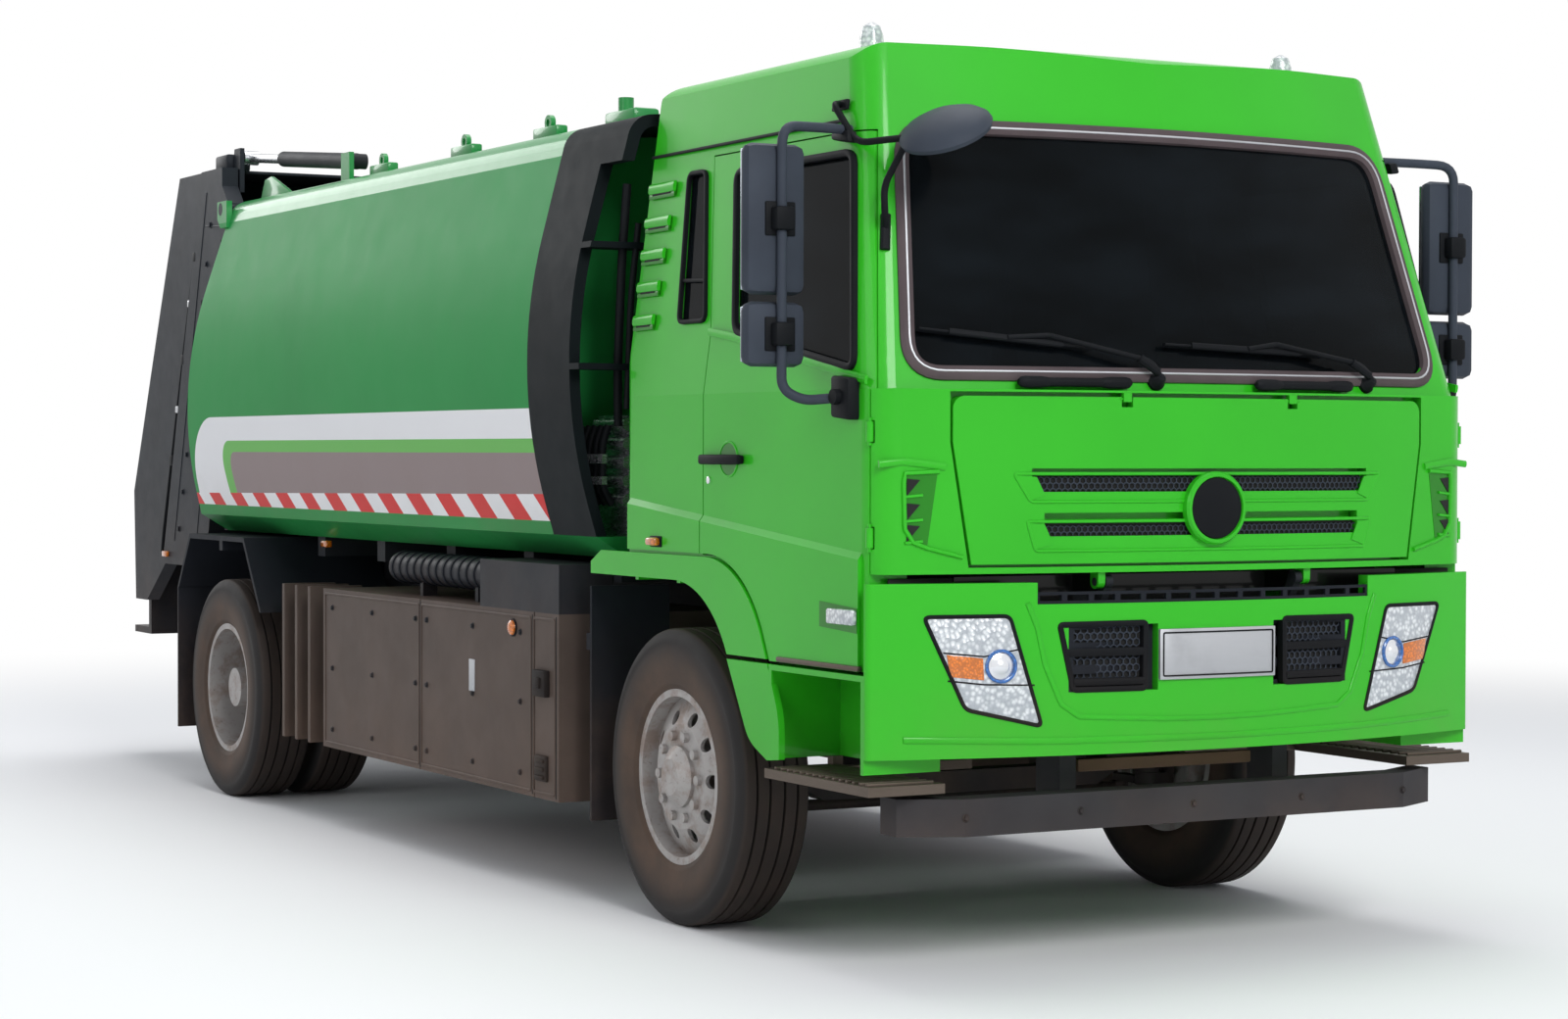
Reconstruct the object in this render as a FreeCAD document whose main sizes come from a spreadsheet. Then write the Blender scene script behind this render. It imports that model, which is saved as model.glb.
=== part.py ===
import FreeCAD, Part
import Sketcher
import math
import operator
import os

# Rear-loading refuse truck with a tilting cab, two axles and a compacting tailgate.
# The frame has +X forward, +Y to the left and +Z up, with its origin on the ground
# under the middle of the whole truck. Lengths along X are counted from the front axle.

SIZES = {
    # Whole truck
    "wheelbase": 4500,
    "rear_reach": 6570,
    "running_gap": 5,
    "pin_gap": 1,
    "slide_gap": 0.5,
    "overrun": 20,
    # Tyres and rims
    "tyre_radius": 505,
    "tyre_half_width": 138,
    "bead_radius": 285,
    "tread_half_width": 104,
    "rim_flange_radius": 298.5,
    "rim_half_width": 113,
    "rim_wall": 12,
    "disc_wall": 14,
    "hand_hole_radius": 24,
    "hand_hole_circle": 205,
    "hand_holes": 10,
    "nut_circle": 143,
    "nut_radius": 17,
    "nut_height": 24,
    "hub_radius": 105,
    "hub_cap_radius": 62,
    "front_wheel_at": 1005,
    "rear_outer_wheel_at": 1085,
    "rear_wheel_spacing": 310,
    "front_hub_reach": 1150,
    "rear_hub_reach": 1165,
    # Front axle and steering
    "kingpin_at": 830,
    "kingpin_radius": 22,
    "boss_radius": 48,
    "boss_height": 150,
    "knuckle_ear_height": 46,
    "knuckle_web": 30,
    "spindle_radius": 38,
    "beam_depth": 90,
    "beam_height": 78,
    "beam_drop": 66,
    "steering_arm_length": 180,
    "steering_arm_width": 50,
    "steering_arm_height": 26,
    "rod_pin_radius": 13,
    "track_rod_radius": 20,
    "track_rod_eye_radius": 32,
    "drum_radius": 205,
    "drum_wall": 15,
    # Frame
    "rail_half_spread": 430,
    "rail_top": 960,
    "rail_height": 240,
    "rail_flange": 80,
    "rail_wall": 8,
    "rail_front": 1180,
    "rail_rear": 5480,
    "cross_member_depth": 90,
    "cross_member_height": 150,
    "spring_width": 75,
    "spring_leaf_height": 60,
    "spring_half_length": 640,
    "spring_rise": 110,
    "spring_hanger_length": 80,
    "rear_spring_at": 520,
    "axle_tube_radius": 68,
    "axle_ball_radius": 205,
    "axle_nose_length": 330,
    "axle_nose_radius": 95,
    "motor_radius": 215,
    "motor_length": 760,
    "motor_rear": 2560,
    "motor_height": 640,
    "motor_foot": 120,
    "shaft_radius": 48,
    "shaft_flange_radius": 80,
    "shaft_flange_length": 40,
    # Load body
    "body_front": 960,
    "body_bottom": 1305,
    "body_bottom_half_width": 1143,
    "body_waist_corner": 1320,
    "body_shoulder_height": 2790,
    "body_shoulder_half_width": 1086,
    "body_shoulder_radius": 100,
    "body_crown_rise": 92,
    "roof_seam_drop": 100,
    "body_wall": 40,
    "body_rear_top": 4740,
    "body_rear_bottom": 5060,
    "floor_height": 80,
    "floor_half_width": 1010,
    "bearer_length": 90,
    "bearer_half_width": 980,
    "subframe_width": 80,
    "subframe_rear": 5050,
    "subframe_front": 640,
    "cheek_front": 420,
    "cheek_opening_rear": 595,
    "cheek_opening_drop": 160,
    "shelf_height": 22,
    "valve_bank_front": 605,
    "valve_bank_rear": 860,
    "valve_bank_lift": 95,
    "valve_bank_height": 340,
    "valve_bank_outer": 1075,
    "valve_bank_depth": 130,
    "valve_radius": 24,
    "valves": 5,
    # Battery boxes, side boxes and mudguards
    "side_box_outer": 1200,
    "battery_front": 790,
    "battery_rear": 3220,
    "battery_bottom": 340,
    "battery_top": 1020,
    "battery_inner": 470,
    "battery_end_panel": 215,
    "battery_split": 2114,
    "seam_width": 8,
    "seam_depth": 10,
    "rack_rear": 3744,
    "rack_plate": 30,
    "rack_depth": 240,
    "rack_plates": 3,
    "control_box_rear": 1510,
    "control_box_top": 1200,
    "canister_rear": 2650,
    "canister_radius": 62,
    "canister_at": 1062,
    "canister_height": 1130,
    "guard_inner": 600,
    "guard_outer": 1232,
    "guard_top": 1212,
    "guard_wall": 22,
    "guard_front": 3960,
    "guard_front_bottom": 880,
    "guard_front_bend": 4190,
    "guard_rear_bend": 4960,
    "guard_rear": 5135,
    "guard_rear_bottom": 950,
    "flap_bottom": 272,
    "flap_wall": 14,
    "front_flap_at": 632,
    "front_flap_inner": 840,
    "front_flap_outer": 1150,
    "front_flap_top": 1130,
    "front_flap_bottom": 290,
    # Bumper, lamps and underrun bar
    "bumper_bottom": 682,
    "bumper_top": 1212,
    "bumper_middle_top": 1146,
    "strip_height": 37,
    "strip_half_width": 640,
    "screen_half_width": 860,
    "screen_top": 1228,
    "screen_slot_bottom": 800,
    "strip_depth": 12,
    "strip_slots": 14,
    "bumper_half_width": 1170,
    "bumper_corner_radius": 22,
    "bumper_set_back": 13,
    "bumper_crown_rise": 324,
    "bumper_rear_reach": 19,
    "bumper_face_depth": 36,
    "nose_corner_share": 0.8,
    "bumper_wall": 45,
    "lamp_depth": 60,
    "lamp_gap": 3,
    "seat_gap": 0.3,
    "vent_rim": 18,
    "lamp_inner_top": 730,
    "lamp_tip": 625,
    "lamp_outer_bottom": 870,
    "lamp_outer": 1000,
    "lamp_top": 1112,
    "lamp_bottom": 774,
    "lamp_rise": 56,
    "vent_inner": 223,
    "vent_outer": 536,
    "vent_bottom": 875,
    "vent_top": 1080,
    "bar_depth": 95,
    "bar_set_back": 122,
    "bar_bottom": 440,
    "bar_top": 555,
    "bar_bend_half": 853,
    "bar_end_half": 1040,
    "bar_end_sweep": 95,
    "bar_bracket_width": 60,
    "bar_bracket_at": 415,
    # Steps and fenders
    "step_wall": 18,
    "step_inner": 890,
    "step_rear": 742,
    "step_bottom": 636,
    "step_depth": 270,
    "tread_rear": 715,
    "tread_front": 1370,
    "tread_bottom": 572,
    "tread_top": 602,
    "fender_lip": 22,
    "fender_liner": 12,
    "fender_inner": 850,
    "fender_rear": 584,
    "fender_inner_top": 1178,
    "fender_outer_top": 1262,
    "fender_corner_at": 563,
    "fender_corner_radius": 440,
    "fender_run": 159,
    "fender_arch_at": 326,
    "fender_arch_run": 128,
    "fender_seam": 950,
    "fender_seam_gap": 15,
    "fender_door_gap": 10,
    "tip_front": 809,
    "tip_bend_height": 770,
    "tip_bend_radius": 260,
    "tip_low": 628,
    "tip_low_front": 730,
    "tip_heel_at": 605,
    "tip_heel_height": 681,
    "tip_heel_radius": 150,
    "flare_depth": 14,
    "flare_front_gap": 32,
    "flare_slope": 20,
    "crease_rear_height": 1399,
    "crease_front_height": 1301,
    # Cab
    "cab_rear": 345,
    "cab_wall": 45,
    "cab_floor": 1240,
    "cab_floor_height": 60,
    "cab_half_width": 1150,
    "cab_corner_at": 1372,
    "cab_crown_rise": 212,
    "cab_corner_radius": 100,
    "cab_rear_radius": 45,
    "cowl_height": 1800,
    "cowl_ledge": 34,
    "sill_height": 1868,
    "windshield_lean": 285,
    "side_lean": 137,
    "roof_height": 2885,
    "header_drop": 285,
    "roof_gap": 10,
    "roof_front_radius": 130,
    "roof_side_radius": 120,
    "roof_rear_radius": 70,
    "pillar_width": 148,
    "windshield_radius": 70,
    "hood_half_top": 905,
    "hood_bend_height": 1640,
    "hood_side_gap": 9,
    "hood_half_bottom": 845,
    "hood_bottom": 1268,
    "hood_top_gap": 13,
    "hood_top": 1780,
    "hood_depth": 30,
    "hood_lip_radius": 40,
    "brow_back": 75,
    "grille_half_upper": 648,
    "grille_half_lower": 606,
    "grille_upper_bottom": 1488,
    "grille_upper_top": 1560,
    "grille_lower_bottom": 1352,
    "grille_lower_top": 1424,
    "grille_mesh_depth": 11,
    "tilt_axis_height": 1210,
    "tilt_axis_depth": 82,
    "panel_axis_height": 1774,
    "panel_axis_depth": 44,
    "rear_mount_drop": 70,
    "panel_lug_at": 320,
    "panel_lug_width": 30,
    "panel_pin_radius": 4,
    "tilt_lug_at": 398,
    "tilt_lug_width": 26,
    "tilt_pin_radius": 13,
    "tilt_boss_radius": 22,
    "door_axis_out": 1145,
    "hinge_radius": 12,
    "hinge_pin_radius": 6,
    "hinge_length": 60,
    "hinge_low": 1320,
    "hinge_high": 1640,
    "hinge_gap": 4,
    # Doors
    "door_rear": 250,
    "door_front_depth": 47,
    "door_axis_gap": 5,
    "door_bottom": 945,
    "door_depth": 62,
    "door_gap": 5,
    "glass_wall": 8,
    "window_rear": 428,
    "window_front_inset": 83,
    "window_front_lean": 165,
    "window_rear_lean": 126,
    "window_drop": 8,
    "window_margin": 62,
    "window_radius": 40,
    "quarter_front": 205,
    "quarter_rear": 15,
    "door_reach": 215,
    # Mirrors
    "mirror_at": 1010,
    "mirror_header_drop": 55,
    "main_mirror_height": 455,
    "mirror_spacing": 25,
    "low_mirror_height": 197,
    "mirror_centre": 1330,
    "mirror_half_width": 98,
    "mirror_depth": 60,
    "mirror_radius": 34,
    "arm_radius": 15,
    "arm_front": 70,
    # Tailgate
    "gate_hinge_at": 4810,
    "gate_hinge_drop": 33,
    "gate_rise": 175,
    "gate_half_width": 1095,
    "gate_beam_width": 80,
    "gate_step_in": 15,
    "gate_bottom": 1040,
    "gate_heel": 185,
    "gate_gap": 20,
    "gate_neck": 80,
    "gate_pin_radius": 30,
    "gate_boss_radius": 32,
    "lug_radius": 45,
    "gate_lug_inner": 1102,
    "gate_lug_outer": 1130,
    "gate_beam_top_rear": 5200,
    "gate_beam_bottom_rear": 5835,
    "gate_beam_bottom_front": 5200,
    "gate_sheet_wall": 12,
    "hood_rear_top": 5590,
    "hood_rear_bottom": 6080,
    "hood_low": 1990,
    "lip_rear": 6370,
    "lip_height": 1400,
    "sill_rear": 6340,
    "sill_front": 6150,
    "gate_low": 840,
    "hopper_wall": 42,
    "trough_bend": 5720,
    "trough_rear": 6260,
    "lamp_length": 230,
    "rear_lamp_depth": 30,
    "rear_lamp_height": 110,
    "lift_pad_depth": 45,
    "lift_pad_drop": 30,
    "rear_step_width": 420,
    "rear_step_low": 655,
    "rear_step_height": 35,
    "ear_back": 110,
    "ear_up": 262,
    "ear_radius": 42,
    "ear_width": 22,
    "ear_gap": 6,
    "ear_foot": 115,
    "ram_foot_at": 3480,
    "ram_foot_rise": 3,
    "ram_foot_drop": 107,
    "ram_length": 960,
    "ram_radius": 36,
    "ram_rod_radius": 22,
    "ram_eye_radius": 34,
    "ram_pin_radius": 16,
    "ram_gap": 8,
    # Compactor
    "guide_foot_at": 5520,
    "guide_foot_height": 1040,
    "guide_run": 600,
    "guide_top_gap": 5,
    "packer_boss_radius": 46,
    "packer_pin_radius": 26,
    "packer_ear": 40,
    "packer_length": 600,
    "carriage_wall": 35,
    "carriage_gap": 8,
    # Cab inside
    "seat_width": 480,
    "seat_depth": 640,
    "seat_cushion": 130,
    "seat_height": 330,
    "seat_back_height": 1010,
    "seat_at": 540,
    "dash_depth": 330,
    "dash_bottom": 120,
    "dash_half_width": 880,
    "hand_wheel_radius": 225,
    "hand_wheel_rim": 16,
}


class Size:
    """A length worked out from the sheet: its number, and the expression that binds it."""

    def __init__(self, number, text):
        self.number = float(number)
        self.text = text

    def __add__(self, other):
        return worked_out(self, "+", other)

    def __radd__(self, other):
        return worked_out(other, "+", self)

    def __sub__(self, other):
        return worked_out(self, "-", other)

    def __rsub__(self, other):
        return worked_out(other, "-", self)

    def __mul__(self, other):
        return worked_out(self, "*", other)

    def __rmul__(self, other):
        return worked_out(other, "*", self)

    def __truediv__(self, other):
        return worked_out(self, "/", other)

    def __neg__(self):
        return worked_out(-1, "*", self)


SIGNS = {"+": operator.add, "-": operator.sub, "*": operator.mul, "/": operator.truediv}


def as_size(value):
    if isinstance(value, Size):
        return value
    return Size(value, repr(float(value)))


def worked_out(first, sign, second):
    first, second = as_size(first), as_size(second)
    return Size(SIGNS[sign](first.number, second.number), f"({first.text} {sign} {second.text})")


doc = FreeCAD.newDocument("refuse_truck")
sheet = doc.addObject("Spreadsheet::Sheet", "sizes")


class Sizes:
    """Every driving dimension by its name."""


s = Sizes()
for row, (name, number) in enumerate(SIZES.items(), start=1):
    sheet.set(f"A{row}", name)
    sheet.set(f"B{row}", str(number))
    sheet.setAlias(f"B{row}", name)
    setattr(s, name, Size(number, f"sizes.{name}"))


FLUSH = Size(0, "0")


def root(size):
    return Size(math.sqrt(size.number), f"sqrt({size.text})")


def fitted_radius(before, corner, after, share):
    """The radius whose arc takes a share of the first side at a left-turning corner."""
    first_x, first_y = corner[0] - before[0], corner[1] - before[1]
    second_x, second_y = after[0] - corner[0], after[1] - corner[1]
    length = root(first_x * first_x + first_y * first_y)
    other = root(second_x * second_x + second_y * second_y)
    across = first_x * second_y - first_y * second_x
    along = first_x * second_x + first_y * second_y
    return length * share * across / (length * other - along)


def follows(name, size):
    """Keep a size that follows from others in the sheet, under its own name."""
    row = len(vars(s)) + 1
    sheet.set(f"A{row}", name)
    sheet.set(f"B{row}", f"={size.text.replace('sizes.', '')}")
    sheet.setAlias(f"B{row}", name)
    setattr(s, name, Size(size.number, f"sizes.{name}"))


def body_sizes():
    height = s.body_shoulder_height - s.body_bottom
    waist_share, upper_shelf_share, lower_shelf_share = 0.4, 0.69, 0.4
    waist_arc_share, crown_arc_share = 0.82, 0.7
    follows("body_waist_height", s.body_bottom + height * waist_share)
    follows("body_crown_height", s.body_shoulder_height + s.body_crown_rise)
    sill = (s.body_bottom_half_width, s.body_bottom)
    waist = (s.body_waist_corner, s.body_waist_height)
    shoulder = (s.body_shoulder_half_width, s.body_shoulder_height)
    other_shoulder = (-s.body_shoulder_half_width, s.body_shoulder_height)
    follows("body_waist_radius", fitted_radius(sill, waist, shoulder, waist_arc_share))
    follows("body_crown_radius", fitted_radius(shoulder, (0, s.body_crown_height), other_shoulder,
                                               crown_arc_share))
    follows("roof_seam_height", s.body_shoulder_height - s.roof_seam_drop)
    follows("cheek_opening_top", s.body_shoulder_height - s.cheek_opening_drop)
    follows("upper_shelf_at", s.body_bottom + height * upper_shelf_share)
    follows("lower_shelf_at", s.body_bottom + height * lower_shelf_share)
    follows("valve_bank_bottom", s.body_bottom + s.valve_bank_lift)
    follows("valve_bank_top", s.valve_bank_bottom + s.valve_bank_height)


def tailgate_sizes():
    pivot_share, carriage_share = 0.592, 0.323
    follows("gate_hinge_height", s.body_shoulder_height - s.gate_hinge_drop)
    follows("gate_top", s.body_shoulder_height + s.gate_rise)
    follows("ram_foot_height", s.body_crown_height + s.ram_foot_rise)
    follows("ram_foot_low", s.body_crown_height - s.ram_foot_drop)
    follows("guide_rise", s.gate_top - s.guide_foot_height - s.guide_top_gap)
    follows("guide_length", root(s.guide_run * s.guide_run + s.guide_rise * s.guide_rise))
    follows("packer_pivot_up", s.guide_length * pivot_share)
    follows("carriage_length", s.guide_length * carriage_share)


def cab_sizes():
    cab_arc_share, bumper_arc_share = 0.741, 0.9152
    pillar_share, quarter_share, quarter_top_share = 0.178, 0.238, 0.945
    follows("cab_crown_at", s.cab_corner_at + s.cab_crown_rise)
    cab_corner = (s.cab_corner_at, s.cab_half_width)
    other_corner = (s.cab_corner_at, -s.cab_half_width)
    follows("cab_front_radius", fitted_radius(other_corner, (s.cab_crown_at, 0), cab_corner, cab_arc_share))
    follows("bumper_corner_at", s.cab_corner_at - s.bumper_set_back)
    follows("bumper_crown_at", s.bumper_corner_at + s.bumper_crown_rise)
    follows("bumper_rear", s.bumper_corner_at - s.bumper_rear_reach)
    bumper_corner = (s.bumper_corner_at, s.bumper_half_width)
    other_corner = (s.bumper_corner_at, -s.bumper_half_width)
    follows("bumper_front_radius", fitted_radius(other_corner, (s.bumper_crown_at, 0), bumper_corner,
                                                 bumper_arc_share))
    rise, half = s.bumper_crown_rise, s.bumper_half_width
    slant = root(rise * rise + half * half) / half
    follows("front_reach", s.bumper_crown_at - s.bumper_front_radius * (slant - 1))
    follows("bumper_face", s.front_reach - s.bumper_face_depth)
    follows("bar_front", s.front_reach - s.bar_set_back)
    follows("tilt_axis_at", s.front_reach - s.tilt_axis_depth)
    follows("panel_axis_at", s.front_reach - s.panel_axis_depth)
    follows("door_front", s.cab_corner_at - s.door_front_depth)
    follows("door_axis_at", s.door_front + s.door_axis_gap)
    follows("window_front", s.door_front - s.window_front_inset)
    follows("header_height", s.roof_height - s.header_drop)
    window = s.header_height - s.sill_height
    follows("pillar_height", window * pillar_share)
    follows("quarter_bottom", s.sill_height + window * quarter_share)
    follows("quarter_top", s.sill_height + window * quarter_top_share)
    follows("main_mirror_top", s.header_height - s.mirror_header_drop)
    follows("main_mirror_bottom", s.main_mirror_top - s.main_mirror_height)
    follows("low_mirror_top", s.main_mirror_bottom - s.mirror_spacing)
    follows("low_mirror_bottom", s.low_mirror_top - s.low_mirror_height)
    follows("fender_inner_front", s.fender_arch_at + s.fender_arch_run)


body_sizes()
tailgate_sizes()
cab_sizes()
doc.recompute()

Vector = FreeCAD.Vector
FRONT_AXLE_X = (s.rear_reach - s.front_reach) / 2
AXLE_Z = s.tyre_radius
TURNS = {
    "side": FreeCAD.Rotation(Vector(1, 0, 0), 90),
    "front": FreeCAD.Rotation(Vector(1, 1, 1), 120),
    "plan": FreeCAD.Rotation(),
}
ALONG = {"side": Vector(0, 1, 0), "front": Vector(1, 0, 0), "plan": Vector(0, 0, 1)}
OFFSET_AXIS = {"side": "y", "front": "x", "plan": "z"}
AXIS_TURNS = {
    "x": FreeCAD.Rotation(Vector(0, 1, 0), 90),
    "y": FreeCAD.Rotation(Vector(1, 0, 0), -90),
    "z": FreeCAD.Rotation(),
}
ORIGIN_POINT = (-1, 1)
REFINE = False


# Drawing helpers


def put(thing, x=0, y=0, z=0):
    """Bind an object's place, with x counted from the front axle."""
    thing.setExpression("Placement.Base.x", (FRONT_AXLE_X + x).text)
    thing.setExpression("Placement.Base.y", as_size(y).text)
    thing.setExpression("Placement.Base.z", as_size(z).text)


def along_corner(corner, neighbour, reach):
    line = neighbour - corner
    return corner + line * (reach / line.Length)


def corner_arc(before, corner, after, radius):
    """The arc that rounds a corner, with its two ends in the outline's order."""
    turn = (before - corner).getAngle(after - corner)
    reach = radius / math.tan(turn / 2)
    start = along_corner(corner, before, reach)
    end = along_corner(corner, after, reach)
    middle = (start + end) / 2
    centre = along_corner(corner, middle, radius / math.sin(turn / 2))
    left_turn = (corner - before).cross(after - corner).z > 0
    first, last = (start, end) if left_turn else (end, start)
    first_angle = math.atan2(first.y - centre.y, first.x - centre.x)
    last_angle = math.atan2(last.y - centre.y, last.x - centre.x)
    if last_angle < first_angle:
        last_angle += math.tau
    arc = Part.ArcOfCircle(Part.Circle(centre, Vector(0, 0, 1), radius), first_angle, last_angle)
    return arc, start, end, left_turn


def outline(name, plane, corners, offset=0):
    """A closed sketch; each corner is (u, v) or (u, v, radius), bound to the sheet."""
    sketch = doc.addObject("Sketcher::SketchObject", name)
    sketch.Placement.Rotation = TURNS[plane]
    put(sketch, **{OFFSET_AXIS[plane]: offset})
    corners = [tuple(as_size(part) for part in corner) for corner in corners]
    points = [Vector(corner[0].number, corner[1].number, 0) for corner in corners]
    count = len(points)
    arcs = {}
    for i, corner in enumerate(corners):
        if len(corner) == 3:
            arcs[i] = corner_arc(points[i - 1], points[i], points[(i + 1) % count], corner[2].number)
    shapes = []
    for i in range(count):
        following = (i + 1) % count
        start = arcs[i][2] if i in arcs else points[i]
        end = arcs[following][1] if following in arcs else points[following]
        shapes.append(Part.LineSegment(start, end))
    arc_number = {}
    for i, (arc, start, end, left_turn) in arcs.items():
        arc_number[i] = len(shapes)
        shapes.append(arc)
    sketch.addGeometry(shapes)
    constraints = []
    bindings = []

    def bind(kind, parts, size):
        bindings.append((len(constraints), size.text))
        constraints.append(Sketcher.Constraint(kind, *parts, size.number))

    for i, corner in enumerate(corners):
        before = (i - 1) % count
        if i not in arcs:
            constraints.append(Sketcher.Constraint("Coincident", before, 2, i, 1))
            bind("DistanceX", (*ORIGIN_POINT, i, 1), corner[0])
            bind("DistanceY", (*ORIGIN_POINT, i, 1), corner[1])
            continue
        first_end, last_end = (1, 2) if arcs[i][3] else (2, 1)
        mark = sketch.addGeometry(Part.Point(points[i]), True)
        constraints.append(Sketcher.Constraint("Tangent", before, 2, arc_number[i], first_end))
        constraints.append(Sketcher.Constraint("Tangent", arc_number[i], last_end, i, 1))
        constraints.append(Sketcher.Constraint("PointOnObject", mark, 1, before))
        constraints.append(Sketcher.Constraint("PointOnObject", mark, 1, i))
        bind("DistanceX", (*ORIGIN_POINT, mark, 1), corner[0])
        bind("DistanceY", (*ORIGIN_POINT, mark, 1), corner[1])
        bind("Radius", (arc_number[i],), corner[2])
    sketch.addConstraint(constraints)
    for number, text in bindings:
        sketch.setExpression(f"Constraints[{number}]", text)
    return sketch


def prism(name, plane, corners, start, end):
    """An outline pushed out between two distances along the plane's normal."""
    solid = doc.addObject("Part::Extrusion", name)
    solid.Base = outline(f"{name}_outline", plane, corners, start)
    solid.DirMode = "Custom"
    solid.Dir = ALONG[plane]
    solid.Solid = True
    solid.setExpression("LengthFwd", as_size(end - start).text)
    return solid


def box(name, x, y, z):
    solid = doc.addObject("Part::Box", name)
    for side, (low, high) in {"Length": x, "Width": y, "Height": z}.items():
        solid.setExpression(side, as_size(high - low).text)
    put(solid, x[0], y[0], z[0])
    return solid


def cylinder(name, radius, length, axis, x=0, y=0, z=0):
    solid = doc.addObject("Part::Cylinder", name)
    solid.Placement.Rotation = AXIS_TURNS[axis]
    solid.setExpression("Radius", as_size(radius).text)
    solid.setExpression("Height", as_size(length).text)
    put(solid, x, y, z)
    return solid


def turned(name, corners, x, z):
    """An outline of (y, radius) corners turned about a line along Y."""
    solid = doc.addObject("Part::Revolution", name)
    sketch = outline(f"{name}_outline", "front", corners)
    put(sketch, x, 0, z)
    solid.Source = sketch
    solid.Axis = Vector(0, 1, 0)
    solid.setExpression("Base.x", (FRONT_AXLE_X + x).text)
    solid.setExpression("Base.z", as_size(z).text)
    solid.Angle = 360
    solid.Solid = True
    return solid


def slanted(name, radius, start, end, y):
    """A round bar between two (x, z) points in one plane along X and Z."""
    dx, dz = end[0] - start[0], end[1] - start[1]
    solid = doc.addObject("Part::Cylinder", name)
    solid.Placement.Rotation = FreeCAD.Rotation(Vector(0, 1, 0), 30)
    solid.setExpression("Radius", radius.text)
    solid.setExpression("Height", f"sqrt({dx.text}^2 + {dz.text}^2)")
    solid.setExpression("Placement.Rotation.Angle", f"atan2({dx.text}; {dz.text})")
    put(solid, start[0], y, start[1])
    return solid


def fused(name, parts):
    if len(parts) == 1:
        return parts[0]
    solid = doc.addObject("Part::MultiFuse", name)
    solid.Shapes = parts
    solid.Refine = REFINE
    return solid


def common(name, parts):
    solid = doc.addObject("Part::MultiCommon", name)
    solid.Shapes = parts
    solid.Refine = REFINE
    return solid


def cut(name, base, tools):
    solid = doc.addObject("Part::Cut", name)
    solid.Base = base
    solid.Tool = fused(f"{name}_tool", tools)
    solid.Refine = REFINE
    return solid


def group(name, parts):
    solids = doc.addObject("Part::Compound", name)
    solids.Links = parts
    return solids


def mirrored(name, source):
    """The same piece on the other side of the truck."""
    solid = doc.addObject("Part::Mirroring", name)
    solid.Source = source
    solid.Normal = Vector(0, 1, 0)
    return solid


SUB_PARTS = []


def sub_part(name, solid):
    """Give a finished piece its name and keep it for export."""
    solid.Label = name
    SUB_PARTS.append(solid)
    return solid


def both_sides(name, left):
    sub_part(f"{name}_left", left)
    sub_part(f"{name}_right", mirrored(f"{name}_mirror", left))


def both_at_once(name, left):
    """One piece of two like solids, one on each side."""
    return sub_part(name, group(f"{name}_pair", [left, mirrored(f"{name}_mirror", left)]))


# Frame and axles


def frame_rails():
    top, bottom = s.rail_top, s.rail_top - s.rail_height
    outer = s.rail_half_spread
    inner = outer - s.rail_flange
    web = outer - s.rail_wall
    rail = prism("rail", "front", [
        (outer, bottom), (outer, top), (inner, top), (inner, top - s.rail_wall),
        (web, top - s.rail_wall), (web, bottom + s.rail_wall), (inner, bottom + s.rail_wall), (inner, bottom),
    ], -s.rail_rear, s.rail_front)
    parts = [rail, mirrored("rail_mirror", rail)]
    cross_member_shares = (0.04, 0.27, 0.42, 0.66, 0.86, 0.98)
    length = s.rail_front + s.rail_rear
    middle = s.rail_top - s.rail_height / 2
    for number, share in enumerate(cross_member_shares):
        rear = s.rail_front - length * share - s.cross_member_depth / 2
        parts.append(box(
            f"cross_member_{number}", (rear, rear + s.cross_member_depth), (-web, web),
            (middle - s.cross_member_height / 2, middle + s.cross_member_height / 2),
        ))
    sub_part("frame_rails", fused("frame_rails_fused", parts))


def leaf_spring(name, x, y, seat, hanger_top):
    """An arched leaf pack on its axle seat, with a hanger at each end."""
    half, rise, height = s.spring_half_length, s.spring_rise, s.spring_leaf_height
    flat = s.spring_width
    leaves = prism(f"{name}_leaves", "side", [
        (x - half, seat + rise), (x - flat, seat), (x + flat, seat), (x + half, seat + rise),
        (x + half, seat + rise + height / 2), (x + flat, seat + height), (x - flat, seat + height),
        (x - half, seat + rise + height / 2),
    ], y - s.spring_width / 2, y + s.spring_width / 2)
    hangers = []
    for end, sign in (("front", 1), ("rear", -1)):
        middle = x + sign * (half - s.spring_hanger_length / 4)
        hangers.append(box(
            f"{name}_{end}_hanger", (middle - s.spring_hanger_length / 2,
                                     middle + s.spring_hanger_length / 2),
            (y - s.spring_width / 2, y + s.spring_width / 2), (seat + rise, hanger_top),
        ))
    return fused(f"{name}_spring", [leaves, *hangers])


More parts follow.
